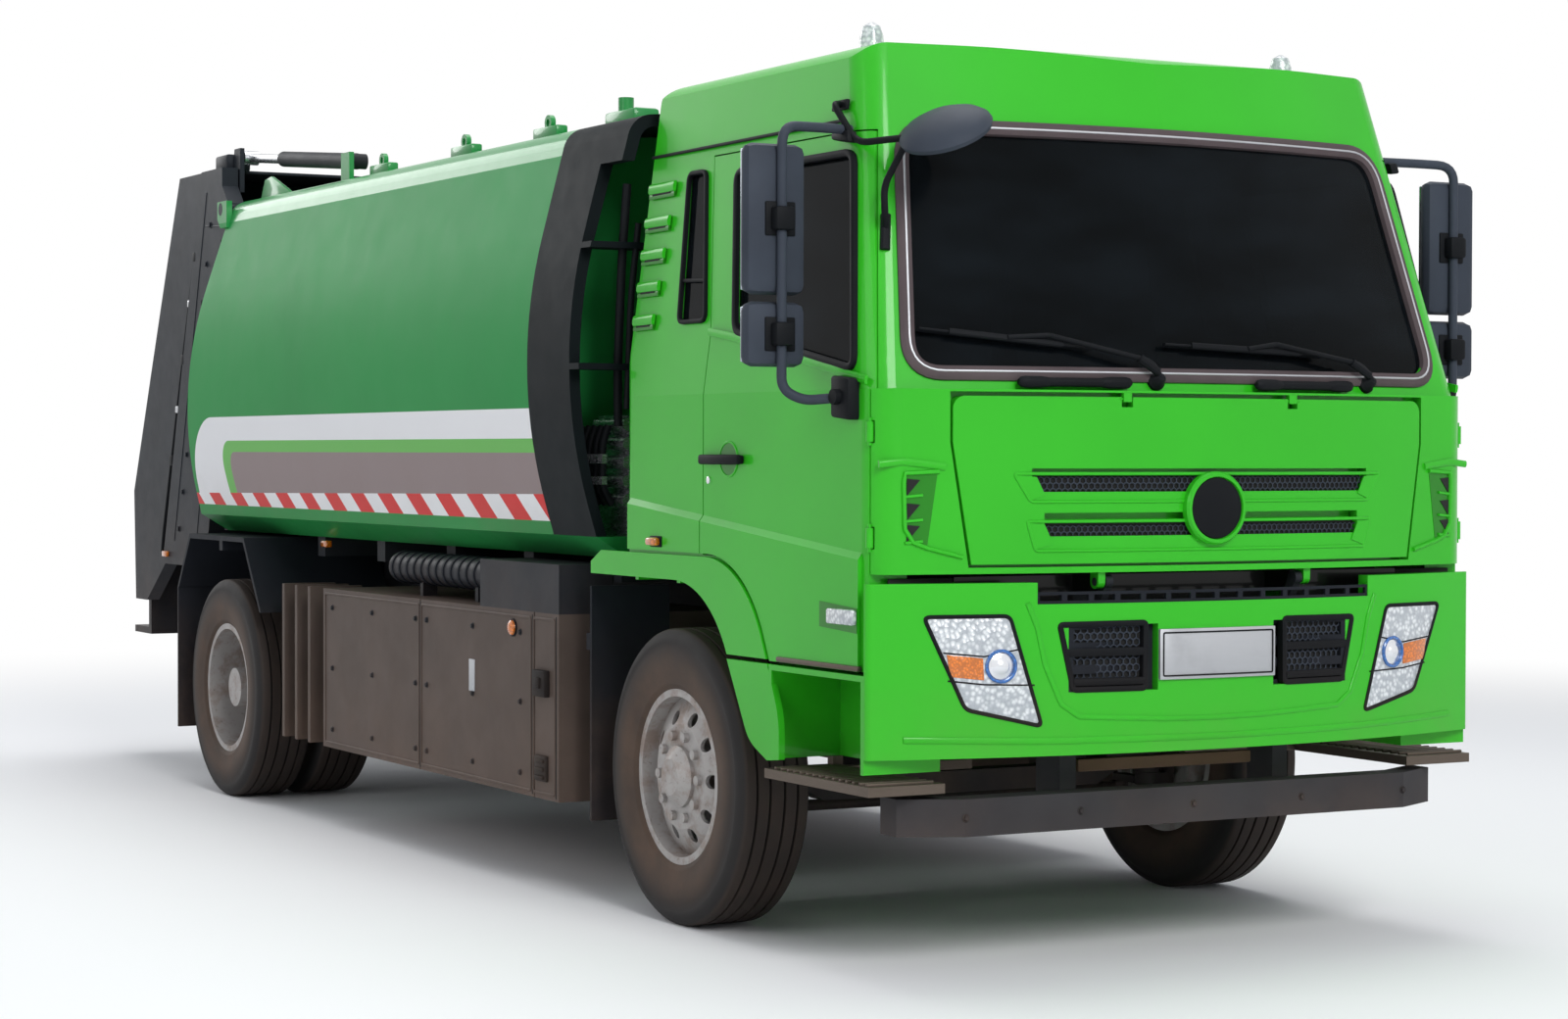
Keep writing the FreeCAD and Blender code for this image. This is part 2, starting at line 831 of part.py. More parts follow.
def front_axle():
    high = AXLE_Z + s.beam_height / 2
    low = AXLE_Z - s.beam_height / 2
    end = s.kingpin_at - s.boss_radius * 0.85
    knee, foot = s.kingpin_at * 0.83, s.kingpin_at * 0.69
    beam = prism("axle_beam", "front", [
        (end, low), (end, high), (knee, high), (foot, high - s.beam_drop), (-foot, high - s.beam_drop),
        (-knee, high), (-end, high), (-end, low), (-knee, low), (-foot, low - s.beam_drop),
        (foot, low - s.beam_drop), (knee, low),
    ], -s.beam_depth / 2, s.beam_depth / 2)
    parts = [beam]
    bores = []
    bottom = AXLE_Z - s.boss_height / 2
    for side, sign in (("left", 1), ("right", -1)):
        parts.append(cylinder(f"boss_{side}", s.boss_radius, s.boss_height, "z", 0, sign * s.kingpin_at,
                              bottom))
        bores.append(cylinder(
            f"kingpin_bore_{side}", s.kingpin_radius + s.pin_gap, s.boss_height + 2 * s.overrun, "z",
            0, sign * s.kingpin_at, bottom - s.overrun,
        ))
    spring_y = s.rail_half_spread - s.spring_width / 2
    seat = front_spring_seat()
    for side, sign in (("left", 1), ("right", -1)):
        near, far = sign * spring_y - s.spring_width / 2, sign * spring_y + s.spring_width / 2
        parts.append(box(
            f"spring_seat_{side}", (-s.spring_width, s.spring_width), (near, far),
            (high - s.beam_drop - s.overrun, seat),
        ))
    sub_part("front_axle", cut("front_axle_cut", fused("front_axle_fused", parts), bores))
    left = leaf_spring("front", 0, spring_y, seat, s.rail_top - s.rail_height)
    both_at_once("front_springs", left)


def front_spring_seat():
    return s.rail_top - s.rail_height - s.spring_rise - s.spring_leaf_height / 2 - s.spring_hanger_length * 0.4


def rear_axle():
    x, z = -s.wheelbase, AXLE_Z
    parts = [
        cylinder("axle_tube", s.axle_tube_radius, s.rear_outer_wheel_at * 1.16, "y", x,
                 -s.rear_outer_wheel_at * 0.58, z),
        cylinder("rear_spindle", s.spindle_radius, s.rear_outer_wheel_at * 2, "y", x, -s.rear_outer_wheel_at,
                 z),
        cylinder("axle_nose", s.axle_nose_radius, s.axle_nose_length, "x", x, 0, z),
    ]
    ball = doc.addObject("Part::Sphere", "axle_ball")
    ball.setExpression("Radius", s.axle_ball_radius.text)
    put(ball, x, 0, z)
    parts.append(ball)
    seat = rear_spring_seat()
    for side, sign in (("left", 1), ("right", -1)):
        near = sign * s.rear_spring_at - s.spring_width / 2
        parts.append(box(
            f"rear_seat_{side}", (x - s.spring_width, x + s.spring_width), (near, near + s.spring_width),
            (z, seat),
        ))
    sub_part("rear_axle", fused("rear_axle_fused", parts))
    left = leaf_spring("rear", x, s.rear_spring_at, seat, s.rail_top - s.rail_height / 3)
    both_at_once("rear_springs", left)


def rear_spring_seat():
    return AXLE_Z + s.axle_tube_radius + s.rail_wall


def drive_line():
    length, height = s.motor_length, s.motor_height
    body = cylinder("motor_case", s.motor_radius, length, "x", -s.motor_rear, 0, height)
    web = s.rail_half_spread - s.rail_wall
    foot = box(
        "motor_feet", (-s.motor_rear + length / 2 - s.motor_foot / 2,
                       -s.motor_rear + length / 2 + s.motor_foot / 2),
        (-web, web), (s.rail_top - s.rail_height + s.rail_wall, s.rail_top - s.rail_height + s.motor_foot),
    )
    sub_part("traction_motor", fused("motor_fused", [body, foot]))
    start = (-s.wheelbase + s.axle_nose_length, AXLE_Z)
    end = (-s.motor_rear, height)
    tube = slanted("shaft_tube", s.shaft_radius, start, end, 0)
    flange_length = s.shaft_flange_length
    rear_flange = cylinder("shaft_rear_flange", s.shaft_flange_radius, flange_length, "x", start[0], 0,
                           start[1])
    front_flange = cylinder("shaft_front_flange", s.shaft_flange_radius, flange_length, "x",
                            end[0] - flange_length, 0, end[1])
    trim = [
        box("shaft_trim_rear", (start[0] - s.motor_radius, start[0]), (-s.motor_radius, s.motor_radius),
            (0, s.rail_top)),
        box("shaft_trim_front", (end[0], end[0] + s.motor_radius), (-s.motor_radius, s.motor_radius),
            (0, s.rail_top)),
    ]
    shaft = fused("shaft_fused", [tube, rear_flange, front_flange])
    sub_part("propeller_shaft", cut("shaft_cut", shaft, trim))


def knuckle():
    y = s.kingpin_at
    half = s.boss_height / 2 + s.pin_gap * 2
    ear = s.knuckle_ear_height
    web_inner = y + s.boss_radius + s.running_gap
    bottom, top = AXLE_Z - half - ear, AXLE_Z + half
    parts = [
        cylinder("kingpin", s.kingpin_radius, 2 * (half + ear), "z", 0, y, bottom),
        cylinder("lower_ear", s.boss_radius, ear, "z", 0, y, bottom),
        cylinder("upper_ear", s.boss_radius, ear, "z", 0, y, top),
        box("knuckle_web", (-s.boss_radius, s.boss_radius), (web_inner, web_inner + s.knuckle_web),
            (bottom, top + ear)),
        cylinder("spindle", s.spindle_radius, s.front_wheel_at - web_inner, "y", 0, web_inner, AXLE_Z),
    ]
    for name, low in (("lower_bridge", bottom), ("upper_bridge", top)):
        parts.append(box(name, (-s.boss_radius, s.boss_radius), (y, web_inner + s.knuckle_web),
                         (low, low + ear)))
    arm_end = -s.steering_arm_length
    half_arm = s.steering_arm_width / 2
    parts.append(box("steering_arm", (arm_end, 0), (y - half_arm, y + half_arm),
                     (bottom, bottom + s.steering_arm_height)))
    parts.append(cylinder("steering_eye", half_arm, s.steering_arm_height, "z", arm_end, y, bottom))
    pin_length = s.steering_arm_height + 2 * s.track_rod_radius + s.running_gap
    parts.append(cylinder("rod_pin", s.rod_pin_radius, pin_length, "z", arm_end, y,
                          bottom - pin_length + s.steering_arm_height))
    both_sides("knuckle", fused("knuckle_fused", parts))


def track_rod():
    bottom = AXLE_Z - s.boss_height / 2 - s.pin_gap * 2 - s.knuckle_ear_height
    middle = bottom - s.running_gap - s.track_rod_radius
    x, y = -s.steering_arm_length, s.kingpin_at
    parts = [cylinder("rod", s.track_rod_radius, 2 * y, "y", x, -y, middle)]
    bores = []
    for side, sign in (("left", 1), ("right", -1)):
        half = s.track_rod_radius + s.pin_gap
        parts.append(cylinder(f"rod_eye_{side}", s.track_rod_eye_radius, 2 * half, "z", x, sign * y,
                              middle - half))
        bores.append(cylinder(
            f"rod_bore_{side}", s.rod_pin_radius + s.pin_gap, 2 * half + 2 * s.overrun, "z",
            x, sign * y, middle - half - s.overrun,
        ))
    sub_part("track_rod", cut("track_rod_cut", fused("track_rod_fused", parts), bores))


# Wheels


def mirrored_about(name, source, degrees, x):
    """A piece mirrored in a plane through a wheel's axle, at an angle up from +X."""
    solid = doc.addObject("Part::Mirroring", name)
    solid.Source = source
    angle = math.radians(degrees)
    solid.Normal = Vector(-math.sin(angle), 0, math.cos(angle))
    solid.setExpression("Base.x", (FRONT_AXLE_X + x).text)
    solid.setExpression("Base.z", AXLE_Z.text)
    return solid


TYRE_SECTORS = 48


def tyre_ring(name, x, centre):
    """A tyre of flat sectors, whose lowest one is its patch on the ground.

    The top sector is copied to both sides, and the row is then doubled until it closes.
    """
    half, bead, tread = s.tyre_half_width, s.rim_half_width - s.rim_wall, s.tread_half_width
    bore, height = AXLE_Z + s.bead_radius, s.tyre_radius - s.bead_radius
    side = [(bead, bore + s.seat_gap), (bead, AXLE_Z + s.rim_flange_radius)]
    wall_shares = ((1.0, 0.5), (0.95, 0.82))
    side.extend((half * across, bore + height * up) for across, up in wall_shares)
    side.append((tread, AXLE_Z + s.tyre_radius))
    corners = [(centre + across, up) for across, up in side]
    corners.extend((centre - across, up) for across, up in reversed(side))
    bar = prism(f"{name}_bar", "front", corners, x - tread, x + tread)
    reach = s.tyre_radius + tread
    out = reach * math.tan(math.pi / TYRE_SECTORS)
    wedge = prism(f"{name}_wedge", "side", [
        (x, AXLE_Z), (x + out, AXLE_Z + reach), (x - out, AXLE_Z + reach),
    ], centre - half - s.overrun, centre + half + s.overrun)
    sector = common(f"{name}_sector", [bar, wedge])
    step = 360 / TYRE_SECTORS
    low, high = 90 - step / 2, 90 + step / 2
    ring = fused(f"{name}_three", [
        sector, mirrored_about(f"{name}_before", sector, low, x),
        mirrored_about(f"{name}_after", sector, high, x),
    ])
    low, high = low - step, high + step
    while high - low < 360:
        other = mirrored_about(f"{name}_mirror_{round(high)}", ring, high, x)
        ring = fused(f"{name}_fused_{round(high)}", [ring, other])
        high += high - low
    return ring


def rim_shell(name, x, centre, disc, facing):
    """A rim: barrel with two flanges, and a dished disc at a given distance from the middle."""
    bead, wall = s.bead_radius, s.rim_wall
    half, flange = s.rim_half_width, s.rim_flange_radius
    inner = bead - wall
    barrel = [
        (centre - half, flange), (centre - half, inner), (centre + half, inner), (centre + half, flange),
        (centre + half - wall, flange), (centre + half - wall, bead),
        (centre - half + wall, bead), (centre - half + wall, flange),
    ]
    step = s.disc_wall * facing
    slope = s.hub_radius * 0.45 * facing
    face = [
        (disc, s.spindle_radius + s.pin_gap), (disc, s.nut_circle * 1.25), (disc - slope, inner),
        (disc - slope - step, inner), (disc - step, s.nut_circle * 1.25),
        (disc - step, s.spindle_radius + s.pin_gap),
    ]
    return [turned(f"{name}_barrel", barrel, x, AXLE_Z), turned(f"{name}_disc", face, x, AXLE_Z)]


def around(name, count, circle, radius, start, length, x):
    """Round bars along Y, evenly spaced on a circle about the wheel's axis."""
    bars = []
    for number in range(count):
        angle = math.tau * number / count
        bars.append(cylinder(
            f"{name}_{number}", radius, length, "y",
            x + circle * math.cos(angle), start, AXLE_Z + circle * math.sin(angle),
        ))
    return bars


def front_wheel():
    x, centre = 0, s.front_wheel_at
    tyre = tyre_ring("front_tyre_ring", x, centre)
    both_sides("front_tyre", tyre)
    disc = centre + s.rim_half_width * 0.9
    shell = rim_shell("front_rim", x, centre, disc, 1)
    count = SIZES["hand_holes"]
    holes = around("front_hole", count, s.hand_hole_circle, s.hand_hole_radius, centre,
                   s.tyre_half_width * 2, x)
    nuts = around("front_nut", count, s.nut_circle, s.nut_radius, disc - s.disc_wall / 2, s.nut_height, x)
    bore = s.spindle_radius + s.pin_gap
    inner = centre - s.rim_half_width * 0.55
    hub = turned("front_hub", [
        (inner, bore), (inner, s.hub_radius), (disc + s.disc_wall, s.hub_radius),
        (s.front_hub_reach, s.hub_cap_radius), (s.front_hub_reach, 0), (centre + s.running_gap, 0),
        (centre + s.running_gap, bore),
    ], x, AXLE_Z)
    drum = turned("front_drum", [
        (inner, s.hub_radius * 0.9), (inner, s.drum_radius), (inner - s.hub_radius * 0.6, s.drum_radius),
        (inner - s.hub_radius * 0.6, s.drum_radius - s.drum_wall),
        (inner - s.drum_wall, s.drum_radius - s.drum_wall),
        (inner - s.drum_wall, s.hub_radius * 0.9),
    ], x, AXLE_Z)
    rim = cut("front_rim_holed", fused("front_rim_shell", shell), holes)
    both_sides("front_rim", fused("front_rim_fused", [rim, *nuts, hub, drum]))


def rear_wheel():
    x = -s.wheelbase
    outer = s.rear_outer_wheel_at
    inner = outer - s.rear_wheel_spacing
    both_sides("rear_tyres", group("rear_tyre_pair", [
        tyre_ring("rear_outer_ring", x, outer), tyre_ring("rear_inner_ring", x, inner),
    ]))
    face = (outer + inner) / 2
    outer_shell = rim_shell("rear_outer_rim", x, outer, face, -1)
    inner_shell = rim_shell("rear_inner_rim", x, inner, face, 1)
    count = SIZES["hand_holes"]
    span = s.rear_wheel_spacing
    holes = around("rear_hole", count, s.hand_hole_circle, s.hand_hole_radius, face - span / 2, span, x)
    nuts = around("rear_nut", count, s.nut_circle, s.nut_radius, face, s.disc_wall + s.nut_height, x)
    bore = s.spindle_radius + s.pin_gap
    hub = turned("rear_hub", [
        (inner, bore), (inner, s.hub_radius), (face + s.disc_wall + s.nut_height, s.hub_radius),
        (s.rear_hub_reach, s.hub_radius * 0.85), (s.rear_hub_reach, 0), (outer + s.running_gap, 0),
        (outer + s.running_gap, bore),
    ], x, AXLE_Z)
    rim = cut("rear_rim_holed", fused("rear_rim_shell", [*outer_shell, *inner_shell]), holes)
    both_sides("rear_rims", fused("rear_rim_fused", [rim, *nuts, hub]))


# Load body


def body_section(inset):
    """Half of the barrel-sided cross-section, from the lower sill to the crown."""
    return [
        (s.body_bottom_half_width - inset, s.body_bottom),
        (s.body_waist_corner - inset, s.body_waist_height, s.body_waist_radius - inset),
        (s.body_shoulder_half_width - inset, s.body_shoulder_height - inset, s.body_shoulder_radius - inset),
        (0, s.body_crown_height - inset, s.body_crown_radius - inset),
    ]


def full_section(inset):
    half = body_section(inset)
    other = [(-corner[0], *corner[1:]) for corner in reversed(half[:-1])]
    return [*half, *other]


def barrel(name, inset, rear, front):
    return prism(name, "front", full_section(inset), rear, front)


def hinge_lugs(tube):
    """Bored ears at the body's rear top corners, which carry the tailgate's pins."""
    x, z, radius = -s.gate_hinge_at, s.gate_hinge_height, s.lug_radius
    lug = prism("hinge_lug", "side", [
        (x + radius * 2, z - radius * 2), (x + radius * 2, z + radius * 0.8), (x - radius, z + radius * 0.8),
        (x - radius, z - radius), (x, z - radius * 2),
    ], s.gate_lug_inner, s.gate_lug_outer)
    bore = cylinder("hinge_bore", s.gate_pin_radius + s.pin_gap,
                    s.gate_lug_outer - s.gate_lug_inner + 2 * s.overrun, "y",
                    x, s.gate_lug_inner - s.overrun, z)
    bored = cut("hinge_lug_cut", lug, [bore])
    return fused("barrel_lugged", [tube, bored, mirrored("hinge_lug_mirror", bored)])


def ram_line():
    """Across, the rams' distance from the middle; then their foot and ear, as (x, z)."""
    y = s.gate_half_width - s.gate_beam_width - s.ear_gap - s.ear_width - s.ram_gap - s.ram_radius
    foot = (-s.ram_foot_at, s.ram_foot_height)
    ear = (-s.gate_hinge_at - s.ear_back, s.gate_hinge_height + s.ear_up)
    return y, foot, ear


def ram_foot():
    y, foot, _ = ram_line()
    near = y + s.ram_radius + s.ram_gap
    block = box("ram_foot_block", (foot[0] - s.ram_eye_radius, foot[0] + s.ram_eye_radius * 2),
                (near, near + s.ear_width),
                (s.ram_foot_low, foot[1] + s.ram_eye_radius))
    pin = cylinder("ram_foot_pin", s.ram_pin_radius, s.ram_radius * 2 + s.ram_gap + s.ear_width / 2, "y",
                   foot[0], y - s.ram_radius, foot[1])
    return fused("ram_foot", [block, pin])


def load_body():
    overrun = s.overrun
    wide = s.body_waist_corner + overrun
    outer = barrel("barrel_outer", 0, -s.body_rear_bottom, -s.body_front)
    inner = barrel("barrel_inner", s.body_wall, -s.body_rear_bottom - overrun, -s.body_front + overrun)
    below = box(
        "barrel_open_floor", (-s.body_rear_bottom - overrun, -s.body_front + overrun),
        (-s.body_bottom_half_width + s.body_wall, s.body_bottom_half_width - s.body_wall),
        (s.body_bottom - overrun, s.body_bottom + s.body_wall),
    )
    ring = cut("barrel_ring", outer, [inner, below])
    slant = prism("rear_slant", "side", [
        (-s.body_front, s.body_bottom - overrun), (-s.body_front, s.body_crown_height + overrun),
        (-s.body_rear_top, s.body_crown_height + overrun), (-s.body_rear_top, s.body_shoulder_height),
        (-s.body_rear_bottom, s.body_bottom), (-s.body_rear_bottom, s.body_bottom - overrun),
    ], -wide, wide)
    tube = hinge_lugs(common("barrel_tube", [ring, slant]))
    length = (-s.body_rear_bottom, -s.body_front)
    side_room = box("side_room", length, (0, wide), (s.body_bottom - overrun, s.roof_seam_height))
    roof_room = box("roof_room", length, (-wide, wide), (s.roof_seam_height, s.body_crown_height + overrun))
    both_sides("body_side", common("body_side_common", [tube, side_room]))
    roof = common("body_roof_common", [tube, roof_room])
    foot = ram_foot()
    sub_part("body_roof", fused("body_roof_fused", [roof, foot, mirrored("ram_foot_mirror", foot)]))
    floor_section = [
        (-s.body_bottom_half_width, s.body_bottom), (-s.floor_half_width, s.body_bottom - s.floor_height),
        (s.floor_half_width, s.body_bottom - s.floor_height), (s.body_bottom_half_width, s.body_bottom),
    ]
    sub_part("body_floor", prism("body_floor_plate", "front", floor_section, -s.body_rear_bottom,
                                 -s.cheek_opening_rear))
    bulkhead = barrel("bulkhead_plate", s.body_wall, -s.body_front - s.body_wall, -s.body_front)
    sub_part("body_bulkhead", bulkhead)


def subframe():
    inner = s.rail_half_spread - s.subframe_width
    beam = box("subframe_beam", (-s.subframe_rear, -s.subframe_front), (inner, s.rail_half_spread),
               (s.rail_top, s.body_bottom - s.floor_height - s.bearer_length))
    parts = [beam, mirrored("subframe_beam_mirror", beam)]
    wide_shares, narrow_shares = (0.02, 0.2, 0.38, 0.56, 0.73), (0.86, 1.0)
    span = s.subframe_rear - s.subframe_front - s.bearer_length
    for number, share in enumerate((*wide_shares, *narrow_shares)):
        front = -s.subframe_front - span * share
        half = s.bearer_half_width if share in wide_shares else s.guard_inner - s.overrun
        parts.append(box(
            f"bearer_{number}", (front - s.bearer_length, front), (-half, half),
            (s.body_bottom - s.floor_height - s.bearer_length, s.body_bottom - s.floor_height),
        ))
    sub_part("subframe", fused("subframe_fused", parts))


def front_cheek():
    overrun = s.overrun
    wide = s.body_waist_corner + overrun
    outer = barrel("cheek_outer", 0, -s.body_front, -s.cheek_front)
    inner = barrel("cheek_inner", s.body_wall, -s.body_front - overrun, -s.cheek_front + overrun)
    below = box(
        "cheek_open_floor", (-s.body_front - overrun, -s.cheek_front + overrun),
        (-s.body_bottom_half_width + s.body_wall, s.body_bottom_half_width - s.body_wall),
        (s.body_bottom - overrun, s.body_bottom + s.body_wall),
    )
    opening = box(
        "cheek_opening", (-s.cheek_opening_rear, -s.cheek_front + overrun), (-wide, wide),
        (s.body_bottom - overrun, s.cheek_opening_top),
    )
    shell = cut("cheek_cut", outer, [inner, below, opening])
    shelves = []
    for name, height in (("upper", s.upper_shelf_at), ("lower", s.lower_shelf_at)):
        bar = box(
            f"{name}_shelf", (-s.cheek_opening_rear - s.body_wall, -s.cheek_opening_rear + s.body_wall * 2),
            (-wide, wide), (height, height + s.shelf_height),
        )
        shelves.append(common(f"{name}_shelf_common", [bar, outer]))
    sub_part("front_cheek", fused("cheek_fused", [shell, *shelves]))


def valve_bank():
    rear, front = -s.valve_bank_rear, -s.valve_bank_front
    low, high = s.valve_bank_bottom, s.valve_bank_top
    outer = -s.valve_bank_outer
    back = box("valve_back", (rear, front), (outer + s.valve_bank_depth / 2, outer + s.valve_bank_depth),
               (s.body_bottom, high))
    parts = [back]
    count = SIZES["valves"]
    pitch = (high - low) / count
    for number in range(count):
        parts.append(cylinder(
            f"valve_{number}", s.valve_radius, front - rear, "x",
            rear, outer + s.valve_bank_depth / 2, low + pitch * (number + 0.5),
        ))
    sub_part("valve_bank", fused("valve_bank_fused", parts))


# Side boxes and mudguards


def battery_boxes():
    rear, front = -s.battery_rear, -s.battery_front
    shell = box("battery_shell", (rear, front), (s.battery_inner, s.side_box_outer),
                (s.battery_bottom, s.battery_top))
    seams = []
    for name, at in (("front", s.battery_front + s.battery_end_panel), ("middle", s.battery_split)):
        seams.append(box(
            f"battery_seam_{name}", (-at - s.seam_width / 2, -at + s.seam_width / 2),
            (s.side_box_outer - s.seam_depth, s.side_box_outer + s.overrun),
            (s.battery_bottom - s.overrun, s.battery_top + s.overrun),
        ))
    grooved = cut("battery_grooved", shell, seams)
    ties = box(
        "battery_ties", (rear + s.battery_end_panel, front - s.battery_end_panel),
        (s.rail_half_spread, s.battery_inner), (s.rail_top - s.rail_height, s.battery_top - s.overrun),
    )
    both_at_once("battery_boxes", fused("battery_fused", [grooved, ties]))


def side_rack():
    """Upright plates behind the battery box, tied to it and to the rail by two bars."""
    outer = s.side_box_outer
    span = s.rack_rear - s.battery_rear - s.rack_plate
    count = SIZES["rack_plates"]
    parts = []
    for number in range(count):
        rear = -s.rack_rear + span * number / count
        parts.append(box(
            f"rack_plate_{number}", (rear, rear + s.rack_plate), (outer - s.rack_depth, outer),
            (s.battery_bottom, s.battery_top),
        ))
    for name, low in (("lower", s.battery_bottom + s.overrun),
                      ("upper", s.battery_top - s.rack_plate - s.overrun)):
        parts.append(box(
            f"rack_bar_{name}", (-s.rack_rear, -s.battery_rear),
            (outer - s.rack_depth, outer - s.rack_depth + s.rack_plate),
            (low, low + s.rack_plate),
        ))
    both_at_once("side_racks", fused("side_rack_fused", parts))


def control_box():
    inner = s.bearer_half_width + s.running_gap
    case = box("control_case", (-s.control_box_rear, -s.battery_front), (-s.side_box_outer, -inner),
               (s.battery_top, s.control_box_top))
    tank = cylinder("tank_shell", s.canister_radius, s.canister_rear - s.control_box_rear, "x",
                    -s.canister_rear, -s.canister_at, s.canister_height)
    feet = []
    for name, share in (("front", 0.25), ("rear", 0.75)):
        at = -s.control_box_rear - (s.canister_rear - s.control_box_rear) * share
        feet.append(box(
            f"tank_foot_{name}", (at - s.rack_plate / 2, at + s.rack_plate / 2),
            (-s.canister_at - s.canister_radius / 2, -s.canister_at + s.canister_radius / 2),
            (s.battery_top, s.canister_height),
        ))
    sub_part("control_box", group("control_pair", [case, fused("air_tank_fused", [tank, *feet])]))


def rear_mudguards():
    wall = s.guard_wall
    front, front_bend = -s.guard_front, -s.guard_front_bend
    rear_bend, rear = -s.guard_rear_bend, -s.guard_rear
    guard = prism("mudguard_sheet", "side", [
        (front, s.guard_front_bottom), (front + wall, s.guard_front_bottom),
        (front_bend + wall / 2, s.guard_top),
        (rear_bend - wall / 2, s.guard_top), (rear - wall, s.guard_rear_bottom), (rear, s.guard_rear_bottom),
        (rear_bend, s.guard_top - wall), (front_bend, s.guard_top - wall),
    ], s.guard_inner, s.guard_outer)
    flap = box("rear_flap", (rear - wall, rear - wall + s.flap_wall), (s.guard_inner, s.guard_outer),
               (s.flap_bottom, s.guard_rear_bottom))
    stay = box("guard_stay", (-s.wheelbase - wall, -s.wheelbase + wall), (s.rail_half_spread, s.guard_outer),
               (s.guard_top - s.guard_wall - s.bearer_length / 2, s.guard_top - wall))
    post = box("guard_post", (-s.wheelbase - wall, -s.wheelbase + wall),
               (s.rail_half_spread, s.rail_half_spread + wall * 2),
               (s.rail_top - s.rail_height / 2, s.guard_top - wall))
    both_at_once("rear_mudguards", fused("mudguard_fused", [guard, flap, stay, post]))
    at = -s.front_flap_at
    front_flap = box("front_flap_sheet", (at, at + s.flap_wall), (s.front_flap_inner, s.front_flap_outer),
                     (s.front_flap_bottom, s.front_flap_top))
    front_stay = box("front_flap_stay", (at - s.rack_plate, at), (s.rail_half_spread, s.front_flap_outer),
                     (s.rail_top - s.rack_plate * 2, s.rail_top))
    both_at_once("front_mudflaps", fused("front_flap_fused", [front_flap, front_stay]))


# Front end


def bumper_plan(inset, rear):
    """The bumper's outline from above, drawn in by a wall thickness."""
    corner = (s.bumper_corner_at - inset * s.nose_corner_share, s.bumper_half_width - inset)
    if not isinstance(inset, Size):
        corner = (*corner, s.bumper_corner_radius)
    half = [(rear, s.bumper_half_width - inset), corner]
    other = [(corner[0], -corner[1], *corner[2:]) for corner in reversed(half)]
    return [*half, (s.bumper_crown_at - inset, 0, s.bumper_front_radius - inset), *other]


def bumper():
    overrun = s.overrun
    outer = prism("bumper_outer", "plan", bumper_plan(0, s.bumper_rear), s.bumper_bottom, s.bumper_top)
    inner_plan = bumper_plan(s.bumper_wall, s.bumper_rear - overrun)
    inner = prism("bumper_inner", "plan", inner_plan, s.bumper_bottom + s.bumper_wall, s.bumper_top + overrun)
    lamps = []
    pockets = []
    for side, sign in (("left", 1), ("right", -1)):
        window = [(sign * y, z) for y, z in lamp_window(0)]
        pockets.append(prism(f"lamp_pocket_{side}", "front", window, s.bumper_rear, s.front_reach + overrun))
        glass = [(sign * y, z) for y, z in lamp_window(s.seat_gap)]
        block = prism(f"lamp_block_{side}", "front", glass, s.bumper_rear, s.front_reach + overrun)
        lamps.append(block)
    vents = []
    for side, sign in (("left", 1), ("right", -1)):
        near, far = sorted((sign * s.vent_inner, sign * s.vent_outer), key=lambda size: size.number)
        vents.append(box(f"vent_pocket_{side}", (s.bumper_rear, s.front_reach + overrun), (near, far),
                         (s.vent_bottom, s.vent_top)))
    recess = box("strip_recess", (s.bumper_rear, s.front_reach + overrun),
                 (-s.strip_half_width, s.strip_half_width),
                 (s.bumper_middle_top, s.bumper_top + overrun))
    shell = cut("bumper_cut", outer, [inner, recess, *pockets, *vents])
    sub_part("front_bumper", fused("bumper_fused", [shell, bumper_screen()]))
    skin_outer = prism("lamp_outer", "plan", bumper_plan(s.lamp_gap, s.bumper_rear), s.bumper_bottom,
                       s.bumper_top)
    skin_inner = prism("lamp_inner", "plan", bumper_plan(s.lamp_gap + s.lamp_depth, s.bumper_rear - overrun),
                       s.bumper_bottom - overrun, s.bumper_top + overrun)
    skin = cut("lamp_skin", skin_outer, [skin_inner])
    pair = [common(f"lamp_{number}", [skin, block]) for number, block in enumerate(lamps)]
    sub_part("headlamps", group("headlamp_pair", pair))
    grilles = []
    for side, sign in (("left", 1), ("right", -1)):
        grilles.append(vent_grille(side, sign))
    sub_part("bumper_vents", group("bumper_vent_set", [*grilles, bumper_strip()]))


def bumper_screen():
    """The upright sheet behind the bumper, slotted for the cab's front brackets."""
    outer = s.tilt_lug_at + s.tilt_lug_width
    slots = []
    for side, sign in (("left", 1), ("right", -1)):
        near, far = sorted((sign * (outer - s.tilt_lug_width * 4), sign * outer),
                           key=lambda size: size.number)
        slots.append(box(f"screen_slot_{side}", (s.bumper_rear, s.bumper_rear + s.strip_depth), (near, far),
                         (s.screen_slot_bottom, s.screen_top)))
    sheet_metal = box("screen_sheet", (s.bumper_rear, s.bumper_rear + s.strip_depth),
                      (-s.screen_half_width, s.screen_half_width), (s.bumper_bottom, s.screen_top))
    return cut("bumper_screen", sheet_metal, slots)


